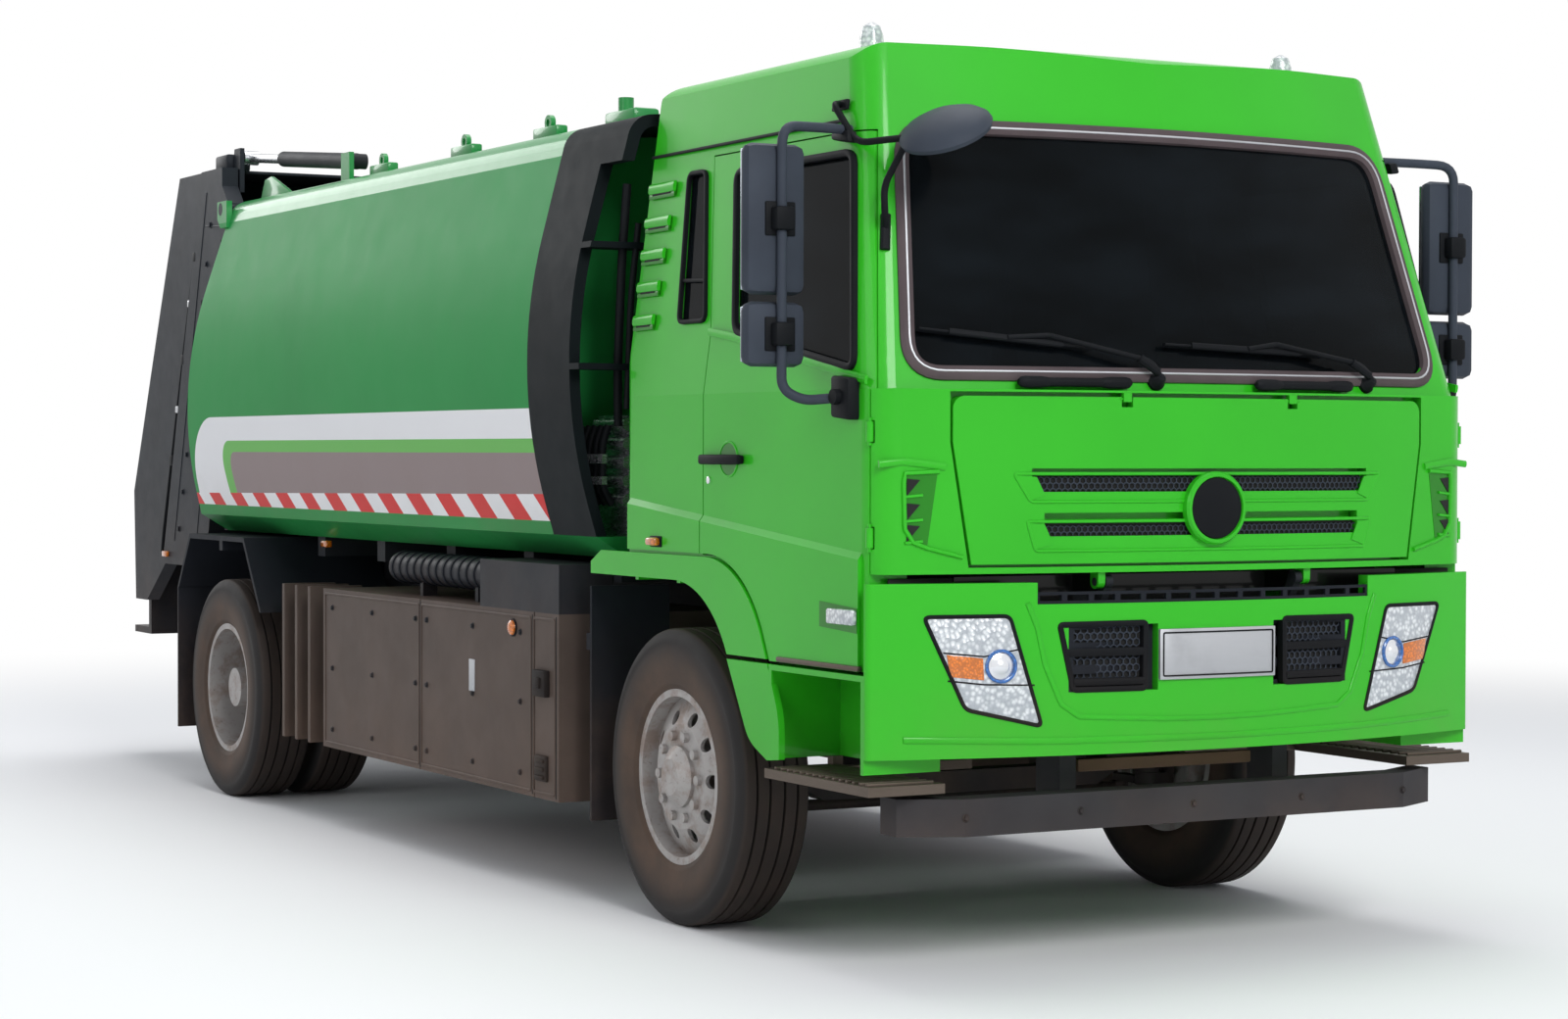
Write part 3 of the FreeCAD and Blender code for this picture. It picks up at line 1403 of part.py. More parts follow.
def bumper_strip():
    """The slotted black strip that closes the recess in the bumper's top edge."""
    half = s.strip_half_width - s.seat_gap
    low, high = s.bumper_middle_top, s.bumper_middle_top + s.strip_height
    front = prism("strip_front", "plan", bumper_plan(s.lamp_gap, s.bumper_rear), low, high)
    rear = prism("strip_rear", "plan", bumper_plan(s.lamp_gap + s.strip_depth, s.bumper_rear - s.overrun),
                 low - s.overrun, high + s.overrun)
    room = box("strip_room", (s.bumper_rear, s.front_reach), (-half, half), (low, high))
    strip = common("strip_common", [cut("strip_skin", front, [rear]), room])
    count = SIZES["strip_slots"]
    pitch = half * 2 / count
    open_share, rim_share = 0.8, 0.25
    rim = (high - low) * rim_share
    slots = []
    for number in range(count):
        near = pitch * (number + (1 - open_share) / 2) - half
        slots.append(box(f"strip_slot_{number}", (s.bumper_rear, s.front_reach),
                         (near, near + pitch * open_share),
                         (low + rim, high - rim)))
    return cut("bumper_strip", strip, slots)


def lamp_window(gap):
    """The lamp's outline seen from the front, as (y, z) corners for the left side."""
    return [
        (s.lamp_inner_top + gap, s.lamp_top - gap), (s.lamp_tip + gap, s.lamp_bottom + gap),
        (s.lamp_outer_bottom - gap, s.lamp_bottom + s.lamp_rise + gap),
        (s.lamp_outer - gap, s.lamp_top - gap),
    ]


def vent_grille(side, sign):
    """A black insert: a frame with two bars across, filling the bumper's vent."""
    near, far = sorted((sign * s.vent_inner, sign * s.vent_outer), key=lambda size: size.number)
    gap = s.seat_gap
    front = s.bumper_face
    frame = box(f"vent_frame_{side}", (front - s.lamp_depth, front), (near + gap, far - gap),
                (s.vent_bottom + gap, s.vent_top - gap))
    height = (s.vent_top - s.vent_bottom) / 3
    slots = []
    for number in range(3):
        low = s.vent_bottom + height * (number + 0.2)
        slots.append(box(f"vent_slot_{side}_{number}", (front - s.lamp_depth / 2, front + s.overrun),
                         (near + s.vent_rim, far - s.vent_rim), (low, low + height * 0.6)))
    return cut(f"vent_{side}", frame, slots)


def underrun_bar():
    depth = s.bar_depth
    front = s.bar_front
    swept = front - s.bar_end_sweep
    bar = prism("bar_beam", "plan", [
        (front, -s.bar_bend_half), (front, s.bar_bend_half), (swept, s.bar_end_half),
        (swept - depth, s.bar_end_half),
        (front - depth, s.bar_bend_half), (front - depth, -s.bar_bend_half), (swept - depth, -s.bar_end_half),
        (swept, -s.bar_end_half),
    ], s.bar_bottom, s.bar_top)
    at = s.bar_bracket_at
    bracket = box("bar_bracket", (s.rail_front, front - depth),
                  (at - s.bar_bracket_width / 2, at + s.bar_bracket_width / 2),
                  (s.bar_bottom, s.rail_top))
    tie = box("bumper_tie", (s.bumper_rear - s.bumper_wall, s.bumper_rear),
              (at - s.bar_bracket_width / 2, s.step_inner),
              (s.bumper_bottom, s.bumper_bottom + s.bumper_wall))
    tie_web = box("bumper_tie_web", (s.rail_front, s.bumper_rear),
                  (at - s.bar_bracket_width / 2, at + s.bar_bracket_width / 2),
                  (s.bumper_bottom, s.bumper_bottom + s.bumper_wall))
    parts = [bar, bracket, mirrored("bar_bracket_mirror", bracket), tie, mirrored("bumper_tie_mirror", tie),
             tie_web, mirrored("bumper_tie_web_mirror", tie_web)]
    sub_part("underrun_bar", fused("underrun_fused", parts))


def step_well():
    """The recess below the door: a back, two ends and a top, with the fender's lower tip behind it."""
    outer, wall = s.bumper_half_width, s.step_wall
    rear, front = s.step_rear, s.bumper_rear - s.seat_gap
    low, high = s.step_bottom, s.fender_seam - s.fender_seam_gap
    inner = outer - s.step_depth
    shell = box("well_shell", (rear, front), (inner, outer), (low, high))
    hollow = box("well_hollow", (rear + wall, front - wall), (inner + wall, outer + s.overrun),
                 (low - s.overrun, high - wall))
    tip = prism("fender_tip", "side", [
        (fender_edge_at(high), high), (s.tip_front, s.tip_bend_height, s.tip_bend_radius),
        (s.tip_front, s.step_bottom),
        (s.tip_low_front, s.tip_low), (s.tip_heel_at, s.tip_heel_height, s.tip_heel_radius),
        (s.fender_inner_front, high),
    ], outer - s.fender_lip, outer)
    both_at_once("step_wells", fused("step_well_fused", [cut("step_well_cut", shell, [hollow]), tip]))
    entry_step(inner, low)


def entry_step(inner, low):
    """The tread below the step well, carried from the frame rail."""
    wall = s.step_wall
    tread_low, tread_high = s.tread_bottom, s.tread_top
    tread = box("tread", (s.tread_rear, s.tread_front), (inner, s.bumper_half_width), (tread_low, tread_high))
    stay = box("tread_stay", (s.step_rear, s.step_rear + wall * 2), (s.rail_half_spread, inner + wall),
               (tread_low, tread_high))
    post = box("tread_post", (s.step_rear, s.step_rear + wall * 2), (inner + wall, inner + wall * 3),
               (tread_low, low))
    hanger = box("tread_hanger", (s.step_rear, s.step_rear + wall * 2),
                 (s.rail_half_spread, s.rail_half_spread + wall), (tread_low, s.rail_top - s.rail_height / 2))
    both_at_once("entry_steps", fused("entry_step_fused", [tread, stay, post, hanger]))


def fender_edge_at(height):
    """How far in front of the axle the fender's sloping front edge lies at a height."""
    drop = s.fender_outer_top - s.fender_seam
    return s.fender_corner_at + s.fender_run * (s.fender_outer_top - height) / drop


# Cab


def cab_plan(inset, back):
    """The cab from above, drawn in by a wall and moved back."""
    half_width = s.cab_half_width - inset
    half = [
        (-s.cab_rear + inset, half_width, s.cab_rear_radius),
        (s.cab_corner_at - inset - back, half_width, s.cab_corner_radius - inset / 2),
    ]
    other = [(corner[0], -corner[1], corner[2]) for corner in reversed(half)]
    return [*half, (s.cab_crown_at - inset - back, 0, s.cab_front_radius), *other]


def leaning_block(name, inset):
    """The plan above the cowl, pushed up along the left windshield pillar."""
    solid = doc.addObject("Part::Extrusion", name)
    solid.Base = outline(f"{name}_outline", "plan", cab_plan(inset, s.cowl_ledge), s.cowl_height)
    rise = s.roof_height - s.sill_height
    height = s.roof_height - s.cowl_height
    solid.DirMode = "Custom"
    solid.Solid = True
    solid.Dir = Vector(-1, -1, 1)
    solid.setExpression("Dir.x", (-s.windshield_lean * height / rise).text)
    solid.setExpression("Dir.y", (-s.side_lean * height / rise).text)
    solid.setExpression("Dir.z", height.text)
    solid.setExpression("LengthFwd", "0")
    return solid


def upper_cab(name, inset):
    """The cab above the cowl: leaning front and sides under a rounded roof."""
    overrun = s.overrun
    low, top = s.cowl_height, s.roof_height - inset
    rise = s.roof_height - s.sill_height
    half = s.cab_half_width - inset
    edge = half - s.side_lean + s.roof_gap
    across = prism(f"{name}_across", "front", [
        (half, low), (half, s.sill_height), (edge, top, s.roof_side_radius), (-edge, top, s.roof_side_radius),
        (-half, s.sill_height), (-half, low),
    ], -s.cab_rear - overrun, s.front_reach)
    brow = s.cab_crown_at - s.cowl_ledge - inset - s.windshield_lean - s.brow_back
    along = prism(f"{name}_along", "side", [
        (-s.cab_rear + inset, low), (s.front_reach, low), (s.front_reach, s.sill_height),
        (brow, top, s.roof_front_radius), (-s.cab_rear + inset, top, s.roof_rear_radius - inset),
    ], FLUSH, s.cab_half_width + overrun)
    half = common(f"{name}_half", [leaning_block(f"{name}_lean", inset), across, along])
    return fused(f"{name}_upper", [half, mirrored(f"{name}_half_mirror", half)])


def cab_body(name, inset, bottom):
    lower = prism(f"{name}_lower", "plan", cab_plan(inset, FLUSH), bottom, s.cowl_height)
    return fused(name, [lower, upper_cab(name, inset)])


def door_outline(gap):
    """The door seen from the side, as (x, z) corners; gap widens it for the opening."""
    length = s.door_front - s.door_rear
    low = s.door_bottom
    rear_lean_share, front_lean_share = 0.12, 0.2
    arch_height = s.fender_outer_top + s.fender_door_gap - gap
    arch_corner = (s.fender_corner_at + s.fender_door_gap / 2 - gap / 2, arch_height, s.fender_corner_radius)
    foot = fender_edge_at(low) + s.fender_door_gap - gap
    rear = s.door_rear - gap
    return [
        (s.door_front + gap, low - gap), (s.door_front + gap, s.cowl_height),
        (s.door_front - length * front_lean_share + gap, s.header_height + gap),
        (s.door_rear - length * rear_lean_share - gap, s.header_height + gap),
        (rear, s.sill_height + s.pillar_height), (rear, arch_height), arch_corner, (foot, low - gap),
    ]


def hinge_barrels(name, radius, reach):
    """Upright cylinders on the left door's axis, one at each hinge height."""
    barrels = []
    for level, low in (("low", s.hinge_low), ("high", s.hinge_high)):
        barrels.append(cylinder(f"{name}_{level}", radius, s.hinge_length + reach * 2, "z",
                                s.door_axis_at, s.door_axis_out, low - reach))
    return barrels


def crease_at(along):
    """The height of the crease along the cab's side."""
    run = (along - s.door_rear) / (s.door_front - s.door_rear)
    return s.crease_rear_height + (s.crease_front_height - s.crease_rear_height) * run


def flare(name, rear, front, low, room):
    """What swells out of the cab's side below the crease, trimmed to its panel."""
    half = s.cab_half_width
    depth = s.door_depth + s.flare_depth
    rise = s.flare_slope * s.door_depth / s.flare_depth
    block = doc.addObject("Part::Extrusion", f"{name}_block")
    block.Base = outline(f"{name}_outline", "side", [
        (rear, low), (front, low), (front, crease_at(front) + rise), (rear, crease_at(rear) + rise),
    ], half - s.door_depth)
    block.DirMode = "Custom"
    block.Solid = True
    block.Dir = Vector(0, 1, -1)
    block.setExpression("Dir.y", depth.text)
    block.setExpression("Dir.z", (-(rise + s.flare_slope)).text)
    block.setExpression("LengthFwd", "0")
    swollen = prism(f"{name}_outer", "plan", cab_plan(-s.flare_depth, FLUSH), s.door_bottom, s.sill_height)
    skin = cut(f"{name}_skin", swollen, [
        prism(f"{name}_inner", "plan", cab_plan(s.door_depth / 2, FLUSH), s.door_bottom - s.overrun,
              s.sill_height + s.overrun),
    ])
    return common(name, [block, skin, room])


def door_window(gap):
    """The door's window seen from the side, with its lower edge dropping forward."""
    low_front, low_rear = s.sill_height - s.window_drop + gap, s.sill_height + s.pillar_height + gap
    high, radius = s.header_height - s.window_margin - gap, s.window_radius
    return [
        (s.window_front - gap, low_front, radius), (s.window_front - s.window_front_lean - gap, high, radius),
        (s.window_rear - s.window_rear_lean + gap, high, radius), (s.window_rear + gap, low_rear, radius),
    ]


def quarter_window(gap):
    low, high = s.quarter_bottom + gap, s.quarter_top - gap
    lean, radius = s.window_rear_lean, s.window_radius / 2
    return [
        (s.quarter_front - gap, low, radius), (s.quarter_front - lean - gap, high, radius),
        (s.quarter_rear - lean / 2 + gap, high, radius), (s.quarter_rear + gap, low, radius),
    ]


def tilt_lug(name, at, bore_gap):
    """A pair of ears under the cab's front edge, bored for the tilting pins."""
    x, z, half = s.tilt_axis_at, s.tilt_axis_height, s.tilt_lug_width / 2
    boss = cylinder(f"{name}_tilt_boss", s.tilt_boss_radius, s.tilt_lug_width, "y", x, at - half, z)
    neck = box(f"{name}_tilt_neck", (x - s.tilt_boss_radius, x + s.tilt_boss_radius), (at - half, at + half),
               (z, s.cab_floor + s.running_gap))
    bore = cylinder(f"{name}_tilt_bore", s.tilt_pin_radius + bore_gap, s.tilt_lug_width + 2 * s.overrun, "y",
                    x, at - half - s.overrun, z)
    ear = cut(f"{name}_tilt_ear", fused(f"{name}_tilt_fused", [boss, neck]), [bore])
    return fused(f"{name}_tilt_ears", [ear, mirrored(f"{name}_tilt_mirror", ear)])


def cab_mounts():
    """Front brackets with the pins that the cab tilts on, and the rear beam that it rests on."""
    x, z = s.tilt_axis_at, s.tilt_axis_height
    outer = s.tilt_lug_at - s.tilt_lug_width / 2 - s.running_gap
    inner = outer - s.tilt_lug_width
    radius = s.tilt_boss_radius
    boss = cylinder("mount_boss", radius, s.tilt_lug_width, "y", x, inner, z)
    web = prism("mount_web", "side", [
        (x - radius * 0.6, z + radius * 0.7), (x - radius * 6, s.rail_top + radius),
        (s.rail_front - radius * 4, s.rail_top + radius),
        (s.rail_front - radius * 4, s.rail_top), (s.rail_front, s.rail_top),
        (s.rail_front, s.rail_top - radius * 5),
        (s.rail_front + radius * 4, s.rail_top - radius * 5), (x + radius * 0.6, z - radius * 0.7),
    ], inner, outer)
    pin = cylinder("mount_pin", s.tilt_pin_radius, s.tilt_lug_width * 2 + s.running_gap, "y", x, inner, z)
    front = fused("mount_front", [boss, web, pin])
    rear = -s.cab_rear + s.cab_rear_radius
    beam = box("rear_mount_beam", (rear, rear + s.cross_member_depth),
               (-s.rail_half_spread, s.rail_half_spread),
               (s.cab_floor - s.rear_mount_drop, s.cab_floor - s.pin_gap))
    post = box("rear_mount_post", (rear, rear + s.cross_member_depth),
               (s.rail_half_spread - s.rail_flange, s.rail_half_spread),
               (s.rail_top, s.cab_floor - s.rear_mount_drop))
    sub_part("cab_mounts", group("cab_mount_group", [
        front, mirrored("mount_front_mirror", front),
        fused("rear_mount", [beam, post, mirrored("rear_mount_mirror", post)]),
    ]))


def windshield_outline(gap):
    pillar = s.pillar_width
    low_half, high_half = s.cab_half_width - pillar, s.cab_half_width - s.side_lean * 0.72 - pillar
    low, high = s.sill_height + gap, s.header_height - gap
    return [
        (low_half - gap, low, s.windshield_radius), (high_half - gap, high, s.windshield_radius),
        (-high_half + gap, high, s.windshield_radius), (-low_half + gap, low, s.windshield_radius),
    ]


def cab_shell():
    outer = cab_body("cab_outer", 0, s.cab_floor)
    inner = cab_body("cab_inner", s.cab_wall, s.cab_floor + s.cab_floor_height)
    wide = s.cab_half_width + s.overrun
    deep = s.cab_half_width - s.door_reach
    shell = cut("cab_hollow", outer, [inner])
    openings = []
    for side, (near, far) in (("left", (deep, wide)), ("right", (-wide, -deep))):
        openings.append(prism(f"door_opening_{side}", "side", door_outline(s.door_gap), near, far))
        openings.append(prism(f"quarter_opening_{side}", "side", quarter_window(0), near, far))
    glass_rear = s.cab_corner_at - s.windshield_lean - s.cowl_ledge - s.cab_corner_radius
    openings.append(prism("windshield_opening", "front", windshield_outline(0), glass_rear, s.front_reach))
    openings.append(hood_block("hood_opening", s.hood_side_gap, s.hood_depth + s.door_gap))
    opened = cut("cab_shell_cut", shell, openings)
    lugs = [tilt_lug("cab", s.tilt_lug_at, s.pin_gap), panel_hinge("panel_lug", FLUSH, FLUSH)]
    low = s.fender_outer_top + s.fender_door_gap
    front = s.door_rear - s.door_gap
    room = box("side_flare_room", (-s.cab_rear, front), (deep, wide), (low, s.sill_height))
    side = flare("side_flare", -s.cab_rear + s.cab_rear_radius, front, low, room)
    notches = hinge_barrels("hinge_notch", s.hinge_radius + s.hinge_gap, s.hinge_gap)
    pins = hinge_barrels("hinge_pin", s.hinge_pin_radius, s.hinge_radius)
    other_notches = [mirrored(f"hinge_notch_mirror_{i}", notch) for i, notch in enumerate(notches)]
    notched = cut("cab_shell_notched", opened, [*notches, *other_notches])
    pins = [*pins, *[mirrored(f"hinge_pin_mirror_{i}", pin) for i, pin in enumerate(pins)]]
    sub_part("cab_shell", fused("cab_shell_lugged",
                                [notched, *lugs, side, mirrored("side_flare_mirror", side), *pins]))
    pane = cut("pane_skin", upper_cab("pane_outer", s.glass_wall),
               [upper_cab("pane_inner", s.glass_wall * 2.5)])
    block = prism("windshield_block", "front", windshield_outline(s.seat_gap), glass_rear, s.front_reach)
    windshield = common("windshield_common", [pane, block])
    quarter_block = prism("quarter_block", "side", quarter_window(s.seat_gap), deep, wide)
    quarter = common("quarter_common", [pane, quarter_block])
    sub_part("cab_glass", group("cab_panes", [windshield, quarter, mirrored("quarter_mirror", quarter)]))


def hood_outline(gap, top_gap):
    """The hood from the front: tapered below a bend, and straight above it."""
    half = [
        (s.hood_half_bottom + gap, s.hood_bottom - gap), (s.hood_half_top + gap, s.hood_bend_height),
        (s.hood_half_top + gap, s.hood_top + top_gap),
    ]
    other = [(-across, up) for across, up in reversed(half)]
    return [*half, *other]


def hood_block(name, gap, depth):
    """What the hood fills of the cab's front, to a given depth behind its surface."""
    front = prism(f"{name}_front", "front", hood_outline(gap, s.hood_top_gap),
                  s.cab_corner_at - s.cab_corner_radius, s.front_reach)
    behind = prism(f"{name}_behind", "plan", cab_plan(depth, FLUSH), s.cab_floor - s.overrun, s.sill_height)
    return cut(name, front, [behind])


def grille_rooms(name, gap):
    rooms = []
    rear = s.cab_corner_at - s.cab_corner_radius
    for level, half, low, high in (
        ("upper", s.grille_half_upper, s.grille_upper_bottom, s.grille_upper_top),
        ("lower", s.grille_half_lower, s.grille_lower_bottom, s.grille_lower_top),
    ):
        rooms.append(box(f"{name}_{level}", (rear, s.front_reach), (-half + gap, half - gap),
                         (low + gap, high - gap)))
    return rooms


def cowl_skin(name, near, far):
    """A skin of the cab's front below the cowl, between two depths behind its surface."""
    outer = prism(f"{name}_outer", "plan", cab_plan(near, FLUSH), s.cab_floor, s.cowl_height)
    inner = prism(f"{name}_inner", "plan", cab_plan(far, FLUSH), s.cab_floor - s.overrun,
                  s.cowl_height + s.overrun)
    return cut(name, outer, [inner])


def panel_hinge(name, gap, pin_gap):
    """The lug that hangs from the cowl into the panel's top edge, with its pin."""
    half = s.panel_lug_width / 2 + gap
    reach = s.panel_lug_width / 2 + s.overrun / 2 + pin_gap
    radius = s.panel_pin_radius + pin_gap
    x, z = s.panel_axis_at, s.panel_axis_height
    block = box(f"{name}_lug", (x - radius - s.overrun / 4 - gap * 5, x + radius + s.overrun / 4 + gap * 5),
                (s.panel_lug_at - half, s.panel_lug_at + half),
                (z - radius - s.overrun / 4 - gap * 3, s.hood_top + s.hood_top_gap))
    pin = cylinder(f"{name}_pin", radius, reach * 2, "y", x, s.panel_lug_at - reach, z)
    side = fused(f"{name}_side", [block, pin])
    return fused(name, [side, mirrored(f"{name}_mirror", side)])


def front_panel():
    gap = FLUSH
    hood = hood_outline(gap, gap)
    rounded = [(*corner, s.hood_lip_radius) if i in (2, 3) else corner for i, corner in enumerate(hood)]
    face = prism("hood_face", "front", rounded, s.cab_corner_at - s.cab_corner_radius, s.front_reach)
    skin = common("hood_skin", [face, cowl_skin("hood_wall", gap, s.hood_depth)])
    notch = panel_hinge("panel_notch", s.door_gap, s.pin_gap)
    sub_part("front_panel", cut("front_panel_cut", skin, [*grille_rooms("grille_slot", gap), notch]))
    mesh = cowl_skin("mesh_skin", s.grille_mesh_depth, s.grille_mesh_depth * 2)
    rooms = grille_rooms("mesh_room", s.seat_gap)
    sub_part("grille_mesh", group("grille_mesh_pair",
                                  [common(f"mesh_{number}", [mesh, room]) for number,
                                   room in enumerate(rooms)]))


def doors():
    wide = s.cab_half_width + s.overrun
    deep = s.cab_half_width - s.door_reach
    skin = cut("door_skin", cab_body("door_outer", FLUSH, s.door_bottom),
               [cab_body("door_inner", s.door_depth, s.door_bottom - s.overrun)])
    block = prism("door_block", "side", door_outline(FLUSH), deep, wide)
    pane = prism("door_window_block", "side", door_window(FLUSH), deep, wide)
    lower = flare("door_flare", s.door_rear, s.door_front - s.flare_front_gap, s.door_bottom, block)
    barrels = hinge_barrels("door_barrel", s.hinge_radius, FLUSH)
    bores = hinge_barrels("door_bore", s.hinge_pin_radius + s.pin_gap, s.hinge_radius + s.hinge_gap)
    panel = fused("door_flared", [common("door_common", [skin, block]), lower, *barrels])
    both_sides("door", cut("door_cut", panel, [pane, *bores]))
    glass_skin = cut("door_glass_skin", cab_body("door_glass_outer", s.glass_wall * 1.5,
                                                 s.cowl_height - s.overrun),
                     [cab_body("door_glass_inner", s.glass_wall * 3, s.cowl_height - s.overrun * 2)])
    glass = common("door_glass_common", [glass_skin,
                                         prism("door_glass_block", "side", door_window(s.seat_gap), deep,
                                               wide)])
    both_sides("door_glass", glass)


def mirrors():
    """Two housings on a bent arm that the door carries."""
    at, y = s.mirror_at, s.mirror_centre
    half, depth, radius = s.mirror_half_width, s.mirror_depth, s.mirror_radius
    parts = []
    for name, low, high in (
        ("main", s.main_mirror_bottom, s.main_mirror_top), ("low", s.low_mirror_bottom, s.low_mirror_top),
    ):
        parts.append(prism(f"{name}_mirror", "front", [
            (y - half, low, radius), (y + half, low, radius), (y + half, high, radius),
            (y - half, high, radius),
        ], at, at + depth))
    arm_x = at + depth + s.arm_radius / 2
    top, bottom = s.main_mirror_top + s.brow_back, s.low_mirror_bottom - s.brow_back
    parts.append(cylinder("mirror_post", s.arm_radius, top - bottom, "z", arm_x, y, bottom))
    lean_share = 0.72
    header_half = s.cab_half_width - s.side_lean * lean_share
    parts.append(cylinder("mirror_arm_top", s.arm_radius, y - header_half, "y", arm_x, header_half,
                          top - s.arm_radius))
    parts.append(cylinder("mirror_arm_low", s.arm_radius, y - s.cab_half_width, "y", arm_x, s.cab_half_width,
                          bottom + s.arm_radius))
    both_sides("mirror", fused("mirror_fused", parts))


def wheel_arch(lift):
    """The arch's inner edge from the side, from its front foot to its rear end, moved up."""
    return [
        (s.fender_inner_front, s.fender_seam + lift),
        (s.fender_arch_at, s.fender_inner_top + lift, s.fender_corner_radius),
        (-s.fender_rear, s.fender_inner_top + lift),
    ]


def fenders():
    lift = s.fender_liner
    heel = s.fender_outer_top - s.fender_inner_top
    lip = prism("fender_lip_sheet", "side", [
        (-s.fender_rear, s.fender_outer_top - heel / 2), (-s.fender_rear + heel, s.fender_outer_top),
        (s.fender_corner_at, s.fender_outer_top, s.fender_corner_radius),
        (s.fender_corner_at + s.fender_run, s.fender_seam), *wheel_arch(FLUSH),
    ], s.cab_half_width, s.bumper_half_width)
    above = list(reversed(wheel_arch(lift)))
    liner = prism("fender_liner_sheet", "side", [*wheel_arch(FLUSH), *above], s.fender_inner,
                  s.cab_half_width)
    hangers = []
    hanger_shares = {"front": 0.1, "rear": -0.6}
    for name, share in hanger_shares.items():
        at = s.fender_inner_front * share
        hangers.append(box(f"fender_hanger_{name}", (at, at + lift * 2),
                           (s.fender_inner, s.cab_half_width - s.running_gap),
                           (s.fender_inner_top - lift, s.cab_floor)))
    both_at_once("front_fenders", fused("fender_fused", [lip, liner, *hangers]))


def interior():
    """Two seats, a dashboard and a steering wheel behind the windshield."""
    base = s.cab_floor + s.cab_floor_height
    width, depth, cushion = s.seat_width, s.seat_depth, s.seat_cushion
    rear = -s.cab_rear + s.cab_wall + s.overrun
    half = width / 2
    seat = prism("seat_form", "side", [
        (rear + cushion, base), (rear + depth, base), (rear + depth, base + s.seat_height),
        (rear + cushion * 2, base + s.seat_height), (rear + cushion, base + s.seat_back_height),
        (rear, base + s.seat_back_height), (rear + cushion / 2, base + s.seat_height - cushion),
    ], s.seat_at - half, s.seat_at + half)
    both_at_once("seats", seat)
    front = s.cab_corner_at - s.cowl_ledge - s.cab_corner_radius
    block = prism("dash_form", "side", [
        (front - s.dash_depth, base + s.dash_bottom), (s.front_reach, base + s.dash_bottom),
        (s.front_reach, s.cowl_height - s.overrun),
        (front - s.dash_depth * 0.8, s.cowl_height - s.overrun),
        (front - s.dash_depth, s.cowl_height - s.overrun * 4),
    ], -s.dash_half_width, s.dash_half_width)
    room = prism("dash_room", "plan", cab_plan(s.cab_wall + s.seat_gap, FLUSH), base, s.cowl_height)
    board = common("dash_board", [block, room])
    ring = doc.addObject("Part::Torus", "wheel_ring")
    ring.setExpression("Radius1", s.hand_wheel_radius.text)
    ring.setExpression("Radius2", s.hand_wheel_rim.text)
    ring.Placement.Rotation = FreeCAD.Rotation(Vector(0, 1, 0), -35)
    hub_x = front - s.dash_depth - s.hand_wheel_radius * 0.75
    hub_z = s.cowl_height + s.hand_wheel_radius * 0.3
    put(ring, hub_x, s.seat_at, hub_z)
    spoke = cylinder("wheel_spoke", s.hand_wheel_rim, s.hand_wheel_radius * 2, "y", hub_x,
                     s.seat_at - s.hand_wheel_radius, hub_z)
    column = slanted("wheel_column", s.hand_wheel_rim * 2, (hub_x, hub_z),
                     (front - s.dash_depth * 0.9, s.cowl_height - s.overrun * 6), s.seat_at)
    whole = fused("hand_wheel_fused", [ring, spoke, column])
    keep = box("hand_wheel_keep", (hub_x - s.dash_depth * 2, front), (0, s.cab_half_width),
               (base, s.roof_height))
    sub_part("dashboard", fused("dashboard_fused", [board, common("hand_wheel_common", [whole, keep])]))


# Tailgate


def gate_slope(height):
    """How far back the load body's slanted rear face lies at a height."""
    share = (s.body_shoulder_height - height) / (s.body_shoulder_height - s.body_bottom)
    return s.body_rear_top + (s.body_rear_bottom - s.body_rear_top) * share


def gate_frame():
    """The thick slanted side beams, their hinge pins and the ears that the lift rods pull."""
    inner, outer = s.gate_half_width - s.gate_beam_width, s.gate_half_width
    top, low = s.gate_top, s.gate_bottom
    clear = s.gate_gap
    hinge_x, hinge_z = -s.gate_hinge_at, s.gate_hinge_height
    boss = s.gate_boss_radius
    beam = prism("gate_beam", "side", [
        (hinge_x + boss * 0.7, hinge_z - boss * 0.4), (hinge_x + boss * 0.3, hinge_z + boss),
        (hinge_x - s.gate_neck, hinge_z + s.gate_neck * 1.5), (hinge_x - s.gate_neck, top),
        (-s.gate_beam_top_rear, top), (-s.gate_beam_bottom_rear, low), (-s.gate_beam_bottom_front, low),
        (-gate_slope(low + s.gate_heel) - clear, low + s.gate_heel),
    ], inner, outer)
    pin = cylinder("gate_pin", s.gate_pin_radius, s.gate_lug_outer - inner, "y", hinge_x, inner, hinge_z)
    ear_x, ear_z = hinge_x - s.ear_back, hinge_z + s.ear_up
    ear = prism("gate_ear", "side", [
        (ear_x + s.ear_radius, ear_z + s.ear_radius), (ear_x - s.ear_radius, ear_z + s.ear_radius),
        (ear_x - s.ear_radius * 2, top - s.ear_foot), (ear_x + s.ear_radius, top - s.ear_foot),
    ], inner - s.ear_width - s.ear_gap, inner - s.ear_gap)
    tie = box("ear_tie", (ear_x - s.ear_radius * 2, ear_x), (inner - s.ear_gap - s.ear_width, inner),
              (top - s.ear_foot, top - s.ear_foot + s.ear_width))
    both_at_once("tailgate_frame", fused("gate_frame_fused", [beam, pin, ear, tie]))


